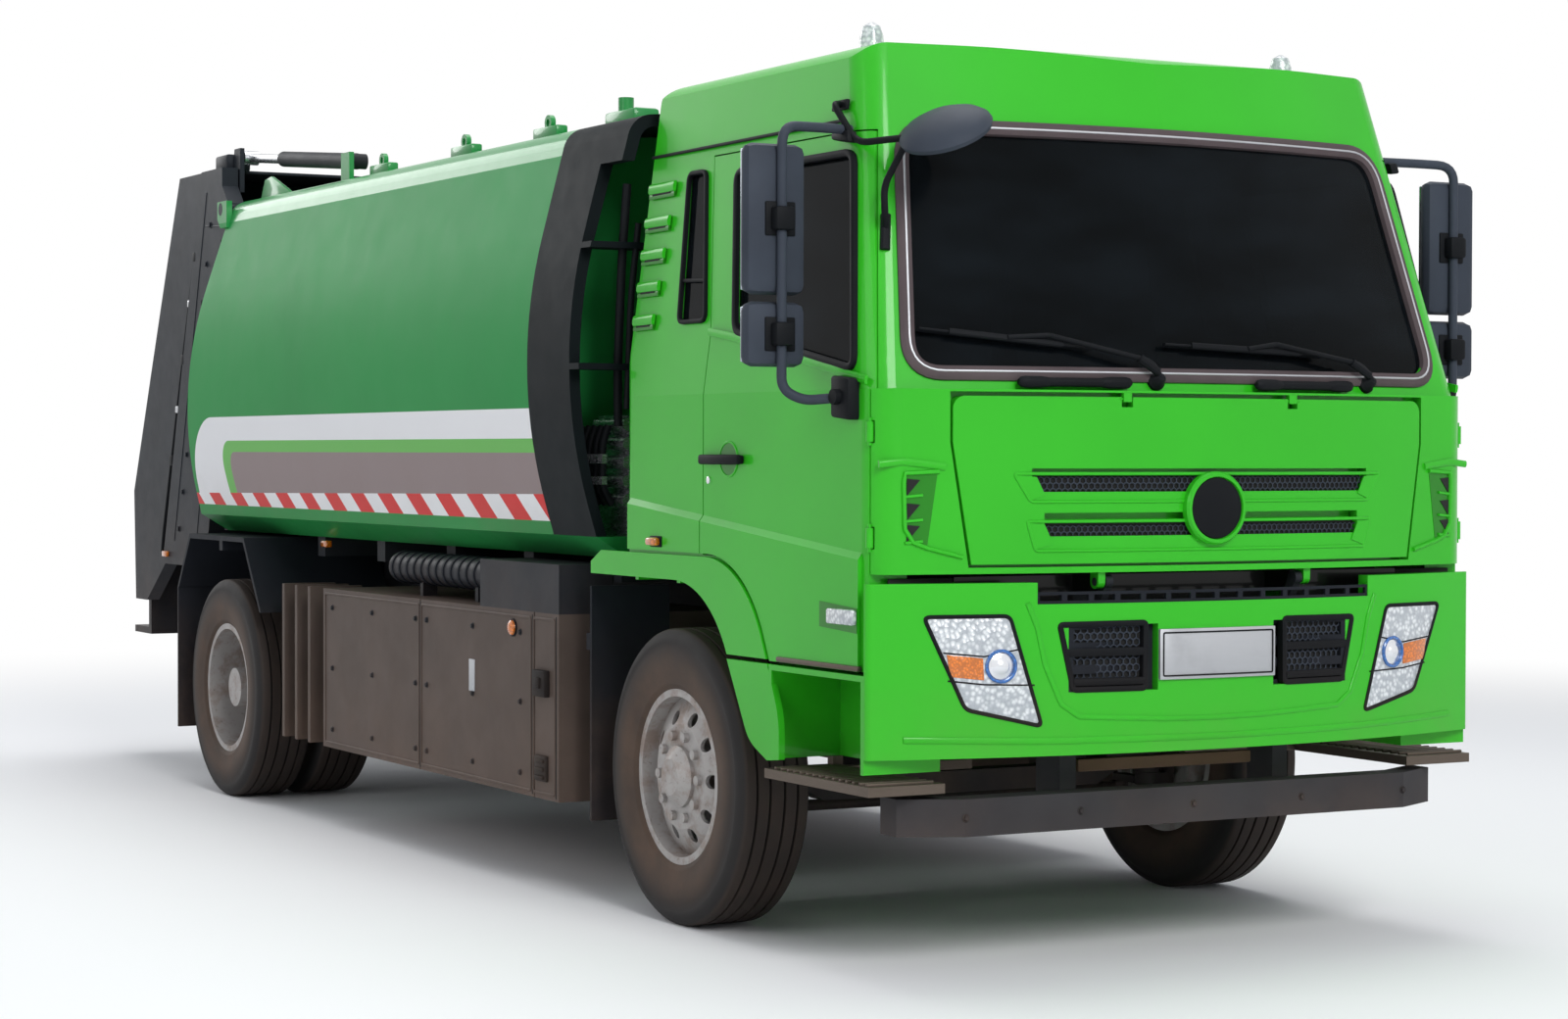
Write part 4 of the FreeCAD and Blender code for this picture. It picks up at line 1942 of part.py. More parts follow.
def gate_shell():
    """The side sheets of the hopper and hood, with the hood's roof and sloping back between them."""
    inner, outer = s.gate_half_width - s.gate_beam_width, s.gate_half_width - s.gate_step_in
    sheet_rear = [
        (-s.hood_rear_top, s.gate_top), (-s.hood_rear_bottom, s.hood_low), (-s.lip_rear, s.lip_height),
        (-s.sill_rear, s.gate_low), (-s.sill_front, s.gate_low),
    ]
    sheet = prism("gate_sheet", "side", [
        (-s.gate_beam_top_rear, s.gate_top), *sheet_rear, (-s.gate_beam_bottom_rear, s.gate_bottom),
    ], inner, outer)
    wall = s.gate_sheet_wall
    roof_front = -s.gate_hinge_at - s.ear_back - s.ear_radius * 2 - s.running_gap
    roof = prism("gate_roof", "side", [
        (roof_front, s.gate_top), (-s.hood_rear_top, s.gate_top), (-s.hood_rear_bottom, s.hood_low),
        (-s.hood_rear_bottom + wall, s.hood_low), (-s.hood_rear_top + wall, s.gate_top - wall),
        (roof_front, s.gate_top - wall),
    ], -inner, inner)
    sub_part("tailgate_shell", fused("gate_shell_fused", [sheet, mirrored("gate_sheet_mirror", sheet), roof]))
    lip = (-s.lip_rear, s.lip_height)
    wall = s.hopper_wall
    floor = prism("hopper_trough", "side", [
        (-gate_slope(s.gate_bottom + s.gate_heel) - s.gate_gap, s.gate_bottom + s.gate_heel),
        (-s.gate_beam_bottom_front, s.gate_bottom), (-s.trough_bend, s.gate_bottom),
        (-s.trough_rear, s.gate_bottom + wall * 4), lip, (lip[0] + wall, lip[1]),
        (-s.trough_rear + wall, s.gate_bottom + wall * 5), (-s.trough_bend + wall / 3, s.gate_bottom + wall),
        (-s.gate_beam_bottom_front - wall / 2, s.gate_bottom + wall),
        (-gate_slope(s.gate_bottom + s.gate_heel) - s.gate_gap - wall, s.gate_bottom + s.gate_heel),
    ], -inner, inner)
    sub_part("hopper_floor", floor)


def gate_rear():
    """The panel under the hopper's lip, its lamps, and the crew's two steps."""
    inner = s.gate_half_width - s.gate_beam_width
    wall = s.hopper_wall
    panel = box("sill_panel", (-s.sill_rear + s.gate_sheet_wall, -s.sill_rear + wall + s.gate_sheet_wall),
                (-inner, inner),
                (s.gate_low, s.gate_bottom + s.hopper_wall * 3))
    lamp_inner = inner - s.lamp_length
    sill_lamp = box("rear_lamp", (-s.sill_rear + s.gate_sheet_wall - s.rear_lamp_depth,
                                  -s.sill_rear + s.gate_sheet_wall), (lamp_inner, inner),
                    (s.gate_low + wall / 2, s.gate_low + wall / 2 + s.rear_lamp_height))
    both_at_once("rear_lamps", sill_lamp)
    step = box("rear_tread", (-s.rear_reach, -s.sill_rear), (inner - s.rear_step_width, inner),
               (s.rear_step_low, s.rear_step_low + s.rear_step_height))
    hanger = box("rear_step_hanger", (-s.sill_rear + s.gate_sheet_wall,
                                      -s.sill_rear + wall + s.gate_sheet_wall),
                 (inner - s.rear_step_width, inner), (s.rear_step_low, s.gate_low))
    link = box("rear_step_link", (-s.sill_rear, -s.sill_rear + s.gate_sheet_wall),
               (inner - s.rear_step_width, inner),
               (s.rear_step_low, s.rear_step_low + s.rear_step_height))
    side = fused("rear_step_fused", [step, hanger, link])
    pad_half = lamp_inner - wall
    pad = box("lift_pad", (-s.sill_rear + s.gate_sheet_wall - s.lift_pad_depth,
                           -s.sill_rear + s.gate_sheet_wall),
              (-pad_half, pad_half), (s.gate_low + s.lift_pad_drop, s.gate_bottom + s.lift_pad_drop))
    sub_part("tailgate_sill", fused("gate_sill_fused",
                                    [panel, pad, side, mirrored("rear_step_mirror", side)]))


def guide_point(along, across):
    """A point beside the slanted guide: a distance up it, and one out behind it."""
    up_x, up_z = s.guide_run / s.guide_length, s.guide_rise / s.guide_length
    return (-s.guide_foot_at + up_x * along - up_z * across,
            s.guide_foot_height + up_z * along + up_x * across)


def compactor():
    """The carriage that slides in the side beams, and the packer blade hinged below it."""
    half = s.gate_half_width - s.gate_beam_width - s.carriage_gap
    pivot, radius = s.packer_pivot_up, s.packer_boss_radius
    thick = s.carriage_wall
    panel = prism("carriage_panel", "side", [
        guide_point(pivot + radius * 1.3, -thick), guide_point(pivot + s.carriage_length, -thick),
        guide_point(pivot + s.carriage_length, thick), guide_point(pivot + radius * 1.3, thick),
    ], -half, half)
    ear = prism("carriage_ear", "side", [
        guide_point(pivot - radius, -radius), guide_point(pivot + radius * 3, -radius),
        guide_point(pivot + radius * 3, radius), guide_point(pivot - radius, radius),
    ], half - s.packer_ear, half)
    runners = []
    for name, low in (("low", pivot), ("high", pivot + s.carriage_length - radius * 3)):
        runners.append(prism(f"runner_{name}", "side", [
            guide_point(low, -thick), guide_point(low + radius * 3, -thick),
            guide_point(low + radius * 3, thick), guide_point(low, thick),
        ], half - s.carriage_gap, half + s.carriage_gap - s.slide_gap))
    centre = guide_point(pivot, FLUSH)
    pin = cylinder("packer_pin", s.packer_pin_radius, s.packer_ear * 2.5, "y", centre[0],
                   half - s.packer_ear * 2.5, centre[1])
    sub_part("carriage", fused("carriage_fused", [
        panel, ear, mirrored("carriage_ear_mirror", ear), pin, mirrored("packer_pin_mirror", pin),
        *runners, *[mirrored(f"{runner.Name}_mirror", runner) for runner in runners],
    ]))
    reach = half - s.packer_ear - s.carriage_gap
    boss = cylinder("packer_boss", radius, reach * 2, "y", centre[0], -reach, centre[1])
    blade = prism("packer_blade", "side", [
        guide_point(pivot, -radius * 0.7), guide_point(pivot, radius * 0.7),
        guide_point(pivot - s.packer_length * 0.8, thick * 0.6),
        guide_point(pivot - s.packer_length, thick * 0.5),
        guide_point(pivot - s.packer_length, -thick * 0.2),
        guide_point(pivot - s.packer_length * 0.4, -thick),
    ], -reach, reach)
    bore = cylinder("packer_bore", s.packer_pin_radius + s.pin_gap, reach * 2 + s.overrun * 2, "y",
                    centre[0], -reach - s.overrun, centre[1])
    sub_part("packer", cut("packer_cut", fused("packer_fused", [boss, blade]), [bore]))


def lift_cylinders():
    """The two rams along the roof: barrels hinged near the roof's middle, rods to the gate's ears."""
    y, foot, ear = ram_line()
    length = ((foot[0] - ear[0]).number ** 2 + (ear[1] - foot[1]).number ** 2) ** 0.5
    run, rise = foot[0] - ear[0], ear[1] - foot[1]
    span = Size(length, f"sqrt({run.text}^2 + {rise.text}^2)")

    def along_ram(distance):
        return (foot[0] - run * distance / span, foot[1] + rise * distance / span)

    barrel_start, barrel_end = along_ram(s.ram_eye_radius / 2), along_ram(s.ram_length)
    barrel = slanted("ram_tube", s.ram_radius, barrel_start, barrel_end, y)
    hollow = slanted("ram_hollow", s.ram_rod_radius + s.pin_gap, along_ram(s.ram_eye_radius * 2),
                     along_ram(s.ram_length + s.overrun), y)
    eye = cylinder("ram_foot_eye", s.ram_eye_radius, s.ram_radius * 2, "y", foot[0], y - s.ram_radius,
                   foot[1])
    bore = cylinder("ram_foot_bore", s.ram_pin_radius + s.pin_gap, s.ram_radius * 4, "y", foot[0],
                    y - s.ram_radius * 2, foot[1])
    both_at_once("lift_barrels", cut("ram_barrel_cut", fused("ram_barrel_fused", [barrel, eye]),
                                     [hollow, bore]))
    rod = slanted("ram_rod", s.ram_rod_radius, along_ram(span - s.ram_length),
                  along_ram(span - s.ram_eye_radius / 2), y)
    rod_eye = cylinder("ram_rod_eye", s.ram_eye_radius, s.ram_radius * 2, "y", ear[0], y - s.ram_radius,
                       ear[1])
    both_at_once("lift_rods", fused("ram_rod_fused", [rod, rod_eye]))


def finish():
    doc.recompute()
    faults = [thing.Name for thing in doc.Objects if {"Invalid", "Error"} & set(thing.State)]
    if faults:
        raise RuntimeError(f"objects that failed: {faults}")
    for solid in SUB_PARTS:
        if solid.Shape.isNull() or not solid.Shape.isValid():
            raise RuntimeError(f"bad shape: {solid.Label}")
    os.makedirs("parts", exist_ok=True)
    for solid in SUB_PARTS:
        solid.Shape.exportStep(f"parts/{solid.Label}.step")


frame_rails()
front_axle()
rear_axle()
drive_line()
knuckle()
track_rod()
front_wheel()
rear_wheel()
load_body()
subframe()
front_cheek()
valve_bank()
battery_boxes()
side_rack()
control_box()
rear_mudguards()
bumper()
underrun_bar()
step_well()
cab_shell()
cab_mounts()
front_panel()
fenders()
interior()
doors()
mirrors()
gate_frame()
gate_shell()
gate_rear()
compactor()
lift_cylinders()
finish()
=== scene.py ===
import math
from functools import partialmethod

import bmesh
import bpy
from bpy.props import FloatProperty, FloatVectorProperty, PointerProperty
from mathutils import Matrix, Vector


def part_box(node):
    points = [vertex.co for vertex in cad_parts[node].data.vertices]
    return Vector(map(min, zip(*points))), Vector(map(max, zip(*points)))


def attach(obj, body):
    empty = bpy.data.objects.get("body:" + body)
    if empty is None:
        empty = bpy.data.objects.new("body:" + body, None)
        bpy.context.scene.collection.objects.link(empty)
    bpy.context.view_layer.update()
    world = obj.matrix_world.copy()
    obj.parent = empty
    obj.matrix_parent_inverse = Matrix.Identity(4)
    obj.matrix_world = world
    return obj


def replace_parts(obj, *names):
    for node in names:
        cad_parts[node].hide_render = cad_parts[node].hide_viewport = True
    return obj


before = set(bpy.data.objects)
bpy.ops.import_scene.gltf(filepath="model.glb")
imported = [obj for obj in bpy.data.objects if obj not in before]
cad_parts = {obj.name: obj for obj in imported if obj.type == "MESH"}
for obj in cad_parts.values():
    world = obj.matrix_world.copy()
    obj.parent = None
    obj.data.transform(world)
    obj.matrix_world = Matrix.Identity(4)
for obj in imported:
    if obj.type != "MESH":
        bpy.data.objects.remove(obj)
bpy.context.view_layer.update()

bl_info = {
    "name": "Refuse truck finish",
    "version": (1, 0, 0),
    "blender": (4, 5, 0),
    "location": "3D View > Sidebar > Refuse truck",
    "description": "Paint, tyres, lamps, mirrors and trim around a packed refuse truck",
    "category": "Object",
}


# Places that follow the frame


def middle_of(node):
    low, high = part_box(node)
    return (low + high) / 2


AXLE = middle_of("front_tyre_left")
AXLE_X = AXLE.x
AXLE_Z = AXLE.z
REAR_AXLE_X = middle_of("rear_tyres_left").x
PHOTO_WIDTH = 1600
PHOTO_FOCUS = 3127.65
SENSOR = 36.0


def at(x, y, z):
    """A point given from the front axle's middle line, on the ground."""
    return Vector((AXLE_X + x, y, z))


def linear(red, green, blue):
    """A colour as it shows on screen, in 0 to 255, turned to the renderer's scale."""
    shares = [channel / 255 for channel in (red, green, blue)]
    return tuple(s / 12.92 if s <= 0.04045 else ((s + 0.055) / 1.055) ** 2.4 for s in shares)


# Settings a user would change


def colour_setting(name, description, colour):
    return FloatVectorProperty(name=name, description=description, subtype="COLOR", size=3, min=0, max=1,
                               default=linear(*colour))


def length_setting(name, description, metres):
    return FloatProperty(name=name, description=description, unit="LENGTH", subtype="DISTANCE",
                         default=metres)


class PaintSettings(bpy.types.PropertyGroup):
    """Colours of the truck's paints and plastics."""

    cab_green: colour_setting("Cab green", "Paint of the cab, bumper and fenders", (47, 178, 30))
    body_green: colour_setting("Body green", "Paint of the load body", (42, 142, 72))
    band_white: colour_setting("Band white", "Broad band along the load body", (236, 236, 238))
    band_line: colour_setting("Band line", "Thin line inside the broad band", (112, 186, 96))
    band_field: colour_setting("Band field", "Field inside the line", (146, 132, 132))
    strip_red: colour_setting("Strip red", "Red blocks of the reflective strip", (214, 62, 62))
    box_brown: colour_setting("Box brown", "Battery boxes", (92, 80, 74))
    gate_grey: colour_setting("Tailgate grey", "Tailgate beams and sheets", (40, 44, 50))
    frame_grey: colour_setting("Frame grey", "Rails, axles and brackets", (44, 46, 50))
    trim_grey: colour_setting("Trim grey", "Mirror housings and handles", (62, 68, 78))
    rim_silver: colour_setting("Rim silver", "Wheel rims", (164, 160, 158))
    rubber: colour_setting("Rubber", "Tyres and flaps", (36, 34, 34))
    dust: colour_setting("Dust", "Road dust on tyres and rims", (122, 98, 82))
    floor_white: colour_setting("Floor white", "Floor and backdrop", (244, 244, 245))


class TyreSettings(bpy.types.PropertyGroup):
    """Form of the tyres' tread and walls."""

    groove_width: length_setting("Groove width", "Width of a groove round the tread", 0.010)
    groove_depth: length_setting("Groove depth", "Depth of a groove round the tread", 0.013)


class TruckSettings(bpy.types.PropertyGroup):
    """All settings of the truck's finish."""

    paint: PointerProperty(type=PaintSettings)
    tyre: PointerProperty(type=TyreSettings)


def settings():
    return bpy.context.scene.refuse_truck


# Shader values


def feed(tree, socket, given):
    """Give a node's input a value, a colour or a link."""
    if isinstance(given, Value):
        given = given.socket
    if isinstance(given, bpy.types.NodeSocket):
        tree.links.new(given, socket)
    elif socket.type == "RGBA" and len(given) == 3:
        socket.default_value = (*given, 1.0)
    else:
        socket.default_value = given


def add_node(tree, kind, choices=None, inputs=None):
    """A new node of a tree, with its choices made and its inputs fed."""
    node = tree.nodes.new(kind)
    for name, choice in (choices or {}).items():
        setattr(node, name, choice)
    for key, given in (inputs or {}).items():
        feed(tree, node.inputs[key], given)
    return node


class Value:
    """A shader socket that takes part in sums."""

    def __init__(self, finish, socket):
        self.finish = finish
        self.socket = socket

    def joined(self, operation, *others):
        node = self.finish.node("ShaderNodeMath", {"operation": operation}, dict(enumerate((self, *others))))
        return Value(self.finish, node.outputs[0])

    __add__ = __radd__ = partialmethod(joined, "ADD")
    __mul__ = __rmul__ = partialmethod(joined, "MULTIPLY")
    __sub__ = partialmethod(joined, "SUBTRACT")
    __truediv__ = partialmethod(joined, "DIVIDE")
    __gt__ = partialmethod(joined, "GREATER_THAN")
    __lt__ = partialmethod(joined, "LESS_THAN")
    __abs__ = partialmethod(joined, "ABSOLUTE")
    wrapped = partialmethod(joined, "FLOORED_MODULO")
    power = partialmethod(joined, "POWER")
    most = partialmethod(joined, "MAXIMUM")

    def __rsub__(self, other):
        return self.finish.number(other).joined("SUBTRACT", self)

    def eased(self, low, high):
        """0 below low, 1 above high, and smooth between."""
        node = self.finish.node("ShaderNodeMapRange", {"interpolation_type": "SMOOTHSTEP"},
                                {0: self, 1: low, 2: high, 3: 0.0, 4: 1.0})
        return Value(self.finish, node.outputs[0])


class Finish:
    """One material, with the nodes that feed its surface."""

    def __init__(self, name):
        self.material = bpy.data.materials.new(name)
        self.material.use_nodes = True
        self.tree = self.material.node_tree
        self.shader = self.tree.nodes["Principled BSDF"]
        self.place = self.node("ShaderNodeTexCoord").outputs["Object"]

    def node(self, kind, choices=None, inputs=None):
        return add_node(self.tree, kind, choices, inputs)

    def number(self, given):
        node = self.node("ShaderNodeValue")
        node.outputs[0].default_value = given
        return Value(self, node.outputs[0])

    def axes(self):
        """The place on the piece along X from the front axle, Y and Z."""
        node = self.node("ShaderNodeSeparateXYZ", inputs={0: self.place})
        x, y, z = (Value(self, socket) for socket in node.outputs)
        return x - AXLE_X, y, z

    def noise(self, scale, detail=3.0, roughness=0.55, stretch=(1, 1, 1)):
        mapped = self.node("ShaderNodeMapping", inputs={"Vector": self.place, "Scale": stretch})
        node = self.node("ShaderNodeTexNoise", inputs={
            "Vector": mapped.outputs[0], "Scale": scale, "Detail": detail, "Roughness": roughness,
        })
        return Value(self, node.outputs[0])

    def mixed(self, share, first, second):
        node = self.node("ShaderNodeMix", {"data_type": "RGBA"}, {0: share, 6: first, 7: second})
        return node.outputs[2]

    def bumped(self, height, distance, strength=1.0):
        node = self.node("ShaderNodeBump", inputs={
            "Height": height, "Distance": distance, "Strength": strength,
        })
        return node.outputs[0]

    def surface(self, **sockets):
        """Feed the shader's sockets, named with _ for a space."""
        for name, given in sockets.items():
            socket = self.shader.inputs[name.replace("_", " ").title().replace("Ior", "IOR")]
            feed(self.tree, socket, given)
        return self.material


# Finishes


BUMPER_SHEET = 0.129
BUMPER_SHEET_HALF = 0.87
FINE_GRAIN = 0.0006
GLOSS = {"coat_roughness": 0.07, "specular_ior_level": 0.15}
SATIN = {"specular_ior_level": 0.08}


def colour_of(given):
    """The colour of a setting, by its name, or a colour as it shows on screen."""
    return tuple(getattr(settings().paint, given)) if isinstance(given, str) else linear(*given)


def shaded(finish, value, low, high, colour, share):
    """The colour, darker by a share where a value lies above a range."""
    return finish.mixed(value.eased(low, high), colour, tuple(channel * share for channel in colour))


def dusty(finish, colour, low, high, amount):
    """The colour under road dust and how much dust there is: more near the ground, in patches."""
    z = finish.axes()[2]
    patches = finish.noise(3.1, 5.0, 0.62)
    dust = (1 - z.eased(low, high)) * (patches.eased(0.35, 0.75) * 0.7 + 0.3) * amount
    return finish.mixed(dust, colour, colour_of("dust")), dust


def glossy_paint(finish, colour, share=1.0, dust_top=1.0):
    """Coated paint, darkened by a share, with a fine orange peel."""
    colour = tuple(channel * share for channel in colour_of(colour))
    tone = shaded(finish, finish.noise(1.7, 2.0), 0.3, 0.7, colour, 0.93)
    dirty, dust = dusty(finish, tone, 0.4, dust_top, 0.22)
    peel = finish.noise(260.0, 2.0)
    rough = finish.noise(9.0, 4.0) * 0.10 + 0.30
    return finish.surface(base_color=dirty, roughness=rough + dust * 0.8, coat_weight=0.32 - dust,
                          normal=finish.bumped(peel, 0.0002, 0.35), **GLOSS)


def bumper_paint(finish):
    """The cab's green, with the upright sheet behind the bumper left near-black as painted shade of the gap.
    """
    x, y, _ = finish.axes()
    # the sheet behind the bumper, which is left near-black as painted shade
    behind = (x < middle_of("bumper_vents").x - AXLE_X - BUMPER_SHEET) * (abs(y) < BUMPER_SHEET_HALF)
    dirty, _ = dusty(finish, colour_of("cab_green"), 0.5, 1.1, 0.2)
    return finish.surface(base_color=finish.mixed(behind, dirty, linear(10, 11, 12)),
                          roughness=finish.noise(9.0, 4.0) * 0.1 + 0.3, coat_weight=0.3, **GLOSS)


BAND = {
    "top": 1.766, "corner": 0.30, "inset": 0.045,
    "strip_low": 1.354, "strip_rear": 1.407, "strip_front": 1.453,
    "rear_low": -5.06, "rear_high": -4.74, "low": 1.305, "high": 2.79,
    "front": -0.96, "block": 0.16, "block_lean": 0.9,
}
BAND_INSIDE = (
    # rear, top, corner and colour of the areas that lie on the white band
    (-4.53, 1.656, 0.13, "band_line"),
    (-4.43, 1.604, 0.085, "band_field"),
)


def rounded_area(x, z, rear, top, corner):
    """1 in front of a rear edge and below a top edge that meet in a round corner."""
    across = (rear + corner - x).most(0.0)
    above = (z - (top - corner)).most(0.0)
    return (across * across + above * above) < corner * corner


def banded_paint(finish):
    """The load body's green with the white band, its line and field, and the reflective strip."""
    x, _, z = finish.axes()
    slope = (BAND["rear_high"] - BAND["rear_low"]) / (BAND["high"] - BAND["low"])
    straight = x - (z - BAND["low"]) * slope
    white_area = rounded_area(straight, z, BAND["rear_low"] + BAND["inset"], BAND["top"], BAND["corner"])
    base = shaded(finish, finish.noise(1.3, 2.0), 0.3, 0.7, colour_of("body_green"), 0.92)
    colour = finish.mixed(white_area, base, colour_of("band_white"))
    for rear, top, corner, paint in BAND_INSIDE:
        colour = finish.mixed(rounded_area(x, z, rear, top, corner), colour, colour_of(paint))
    run = (x - BAND["rear_low"]) / (BAND["front"] - BAND["rear_low"])
    strip_top = run * (BAND["strip_front"] - BAND["strip_rear"]) + BAND["strip_rear"]
    leaning = (x + (z - BAND["strip_low"]) * BAND["block_lean"]).wrapped(BAND["block"] * 2)
    blocks = finish.mixed(leaning > BAND["block"], colour_of("strip_red"), colour_of("band_white"))
    colour = finish.mixed(strip_top > z, colour, blocks)
    colour = finish.mixed(z < BAND["strip_low"], colour, base)
    dirty, _ = dusty(finish, colour, 0.8, 1.9, 0.25)
    height = finish.noise(240.0, 2.0) * 0.02 + finish.noise(1.1, 1.0)
    return finish.surface(base_color=dirty, roughness=finish.noise(7.0, 4.0) * 0.1 + 0.42, coat_weight=0.0,
                          normal=finish.bumped(height, 0.002, 0.2), **SATIN)


def coarse_paint(finish, colour, roughness, grain=FINE_GRAIN, dust_top=1.1):
    """Matt paint, powder coat or plastic with a fine grain and road dust."""
    tone = shaded(finish, finish.noise(4.0, 4.0), 0.25, 0.75, colour_of(colour), 0.78)
    dirty, _ = dusty(finish, tone, 0.2, dust_top, 0.35)
    return finish.surface(base_color=dirty, roughness=finish.noise(11.0, 4.0) * 0.16 + roughness,
                          normal=finish.bumped(finish.noise(420.0, 3.0), grain, 0.5), **SATIN)


def tyre_rubber(finish):
    """Rubber with dust on the walls and on the tread, by the distance from each tyre's middle."""
    x, _, z = finish.axes()
    wheelbase = AXLE_X - REAR_AXLE_X
    turned_x = x + (x < -wheelbase / 2) * wheelbase
    radius = (turned_x * turned_x + (z - AXLE_Z) * (z - AXLE_Z)).power(0.5)
    wall = (1 - radius.eased(0.36, 0.47)) * 0.75
    tread = radius.eased(0.492, 0.503) * 0.25
    dust = (wall + tread) * (finish.noise(6.0, 6.0, 0.6).eased(0.2, 0.8) * 0.6 + 0.4)
    colour = finish.mixed(dust, colour_of("rubber"), tuple(channel * 0.62 for channel in colour_of("dust")))
    roughness = finish.noise(12.0, 4.0) * 0.14 + 0.62
    return finish.surface(base_color=colour, roughness=roughness, specular_ior_level=0.25,
                          normal=finish.bumped(finish.noise(300.0, 3.0), 0.0008, 0.5))


def rim_paint(finish):
    patches = finish.noise(9.0, 6.0, 0.65)
    fine = finish.noise(46.0, 5.0, 0.7)
    colour = finish.mixed(patches.eased(0.44, 0.66) * 0.62, colour_of("rim_silver"), colour_of("dust"))
    colour = finish.mixed(fine.eased(0.58, 0.72) * 0.5, colour, linear(74, 58, 50))
    return finish.surface(base_color=colour, metallic=0.25, roughness=patches * 0.25 + 0.38,
                          normal=finish.bumped(fine, 0.0012, 0.5))


def dark_glass(finish):
    smears = finish.noise(2.0, 3.0, stretch=(1, 1, 3))
    tone = finish.mixed(smears.eased(0.3, 0.8), linear(9, 12, 14), linear(19, 24, 28))
    return finish.surface(base_color=tone, roughness=smears * 0.06 + 0.05, alpha=0.9, specular_ior_level=0.05)


def lamp_glass(finish):
    flutes = finish.noise(80.0, 2.0, stretch=(1, 1, 0.2))
    return finish.surface(base_color=linear(205, 210, 212), roughness=flutes * 0.08 + 0.06, metallic=0.35,
                          coat_weight=1.0, coat_roughness=0.03, normal=finish.bumped(flutes, 0.003, 0.7))


def lens_cells(finish, scale):
    cells = finish.node("ShaderNodeTexVoronoi", inputs={"Vector": finish.place, "Scale": scale})
    return Value(finish, cells.outputs[0])


def coloured_lens(finish, colour):
    height = lens_cells(finish, 120.0)
    tone = shaded(finish, height, 0.1, 0.7, colour_of(colour), 0.55)
    return finish.surface(base_color=tone, roughness=0.16, coat_weight=0.9, coat_roughness=0.05,
                          normal=finish.bumped(height, 0.0015, 0.6))


def clear_lens(finish):
    height = lens_cells(finish, 62.0)
    fine = finish.noise(150.0, 3.0)
    tone = finish.mixed(height.eased(0.1, 0.7), linear(226, 230, 232), linear(168, 174, 180))
    tone = finish.mixed(fine.eased(0.5, 0.75) * 0.3, tone, linear(120, 126, 132))
    return finish.surface(base_color=tone, roughness=fine * 0.1 + 0.12, coat_weight=0.9, coat_roughness=0.03,
                          normal=finish.bumped(height, 0.004, 0.8))


def bare_metal(finish, colour, roughness, scratch=26.0):
    """Metal with fine streaks and darker stains."""
    colour = colour_of(colour)
    streaks = finish.noise(scratch, 5.0, 0.6, stretch=(1, 1, 6))
    stains = finish.noise(5.0, 4.0).eased(0.5, 0.8) * 0.5
    tone = finish.mixed(stains, colour, tuple(channel * 0.5 for channel in colour))
    return finish.surface(base_color=tone, metallic=0.85, roughness=streaks * 0.2 + roughness,
                          normal=finish.bumped(streaks, 0.0006, 0.4))


def seat_cloth(finish):
    weave = finish.node("ShaderNodeTexWave", {"bands_direction": "DIAGONAL"},
                        {"Vector": finish.place, "Scale": 180.0})
    height = Value(finish, weave.outputs[1])
    tone = finish.mixed(finish.noise(14.0, 3.0), linear(56, 60, 66), linear(40, 43, 48))
    return finish.surface(base_color=tone, roughness=height * 0.1 + 0.8, sheen_weight=0.3,
                          normal=finish.bumped(height, 0.001, 0.5))


# Near-black for sheets and strips put where there is only shade: painted shade behind the grilles and vents,
# in gaps and seams, in the scoops and under the louvres.
def void_black(finish):
    patches = finish.noise(6.0, 3.0)
    tone = finish.mixed(patches, linear(6, 7, 8), linear(12, 13, 14))
    return finish.surface(base_color=tone, roughness=patches * 0.1 + 0.8)


FINISHES = {
    # name: its maker, its colour, and what else the maker takes
    "cab_paint": (glossy_paint, "cab_green"),
    # a darker copy of the cab paint: painted shade in the scoop floor, the handle cups, around the door lamps
    # and under the louvres
    "shade_green": (glossy_paint, "cab_green", 0.45),
    "body_paint": (glossy_paint, "body_green", 1.0, 1.4),
    "bumper_paint": (bumper_paint,),
    "banded_paint": (banded_paint,),
    "frame_paint": (coarse_paint, "frame_grey", 0.42),
    "gate_paint": (coarse_paint, "gate_grey", 0.36, FINE_GRAIN, 1.6),
    "box_paint": (coarse_paint, "box_brown", 0.40, FINE_GRAIN, 0.9),
    "cheek_paint": (coarse_paint, (18, 24, 27), 0.5),
    "bar_paint": (coarse_paint, (58, 58, 61), 0.52, FINE_GRAIN, 0.7),
    "moulded_plastic": (coarse_paint, (34, 37, 43), 0.48, 0.0012),
    "mirror_plastic": (coarse_paint, "trim_grey", 0.42, 0.0012),
    "seal_rubber": (coarse_paint, (88, 78, 80), 0.5),
    "black_trim": (coarse_paint, (22, 24, 27), 0.45, 0.0008),
    "bare_rust": (coarse_paint, (128, 104, 84), 0.6),
    "tyre_rubber": (tyre_rubber,),
    "rim_paint": (rim_paint,),
    "dark_glass": (dark_glass,),
    "lamp_glass": (lamp_glass,),
    "red_lens": (coloured_lens, (190, 22, 24)),
    "amber_lens": (coloured_lens, (240, 128, 20)),
    "blue_ring": (coloured_lens, (32, 112, 196)),
    "clear_lens": (clear_lens,),
    "step_metal": (bare_metal, (98, 88, 80), 0.5),
    "ram_steel": (bare_metal, (186, 188, 192), 0.16),
    "plate_metal": (bare_metal, (176, 178, 182), 0.42, 12.0),
    "chrome": (bare_metal, (226, 228, 232), 0.08, 60.0),
    "mirror_glass": (bare_metal, (170, 180, 190), 0.05, 8.0),
    "seat_cloth": (seat_cloth,),
    # near-black painted shade for gaps, recesses and seams
    "void_black": (void_black,),
}
made_finishes = {}


def finish_of(name):
    """Each finish is made once, when a piece first asks for it."""
    if name not in made_finishes:
        maker, *given = FINISHES[name]
        made_finishes[name] = maker(Finish(name), *given)
    return made_finishes[name]


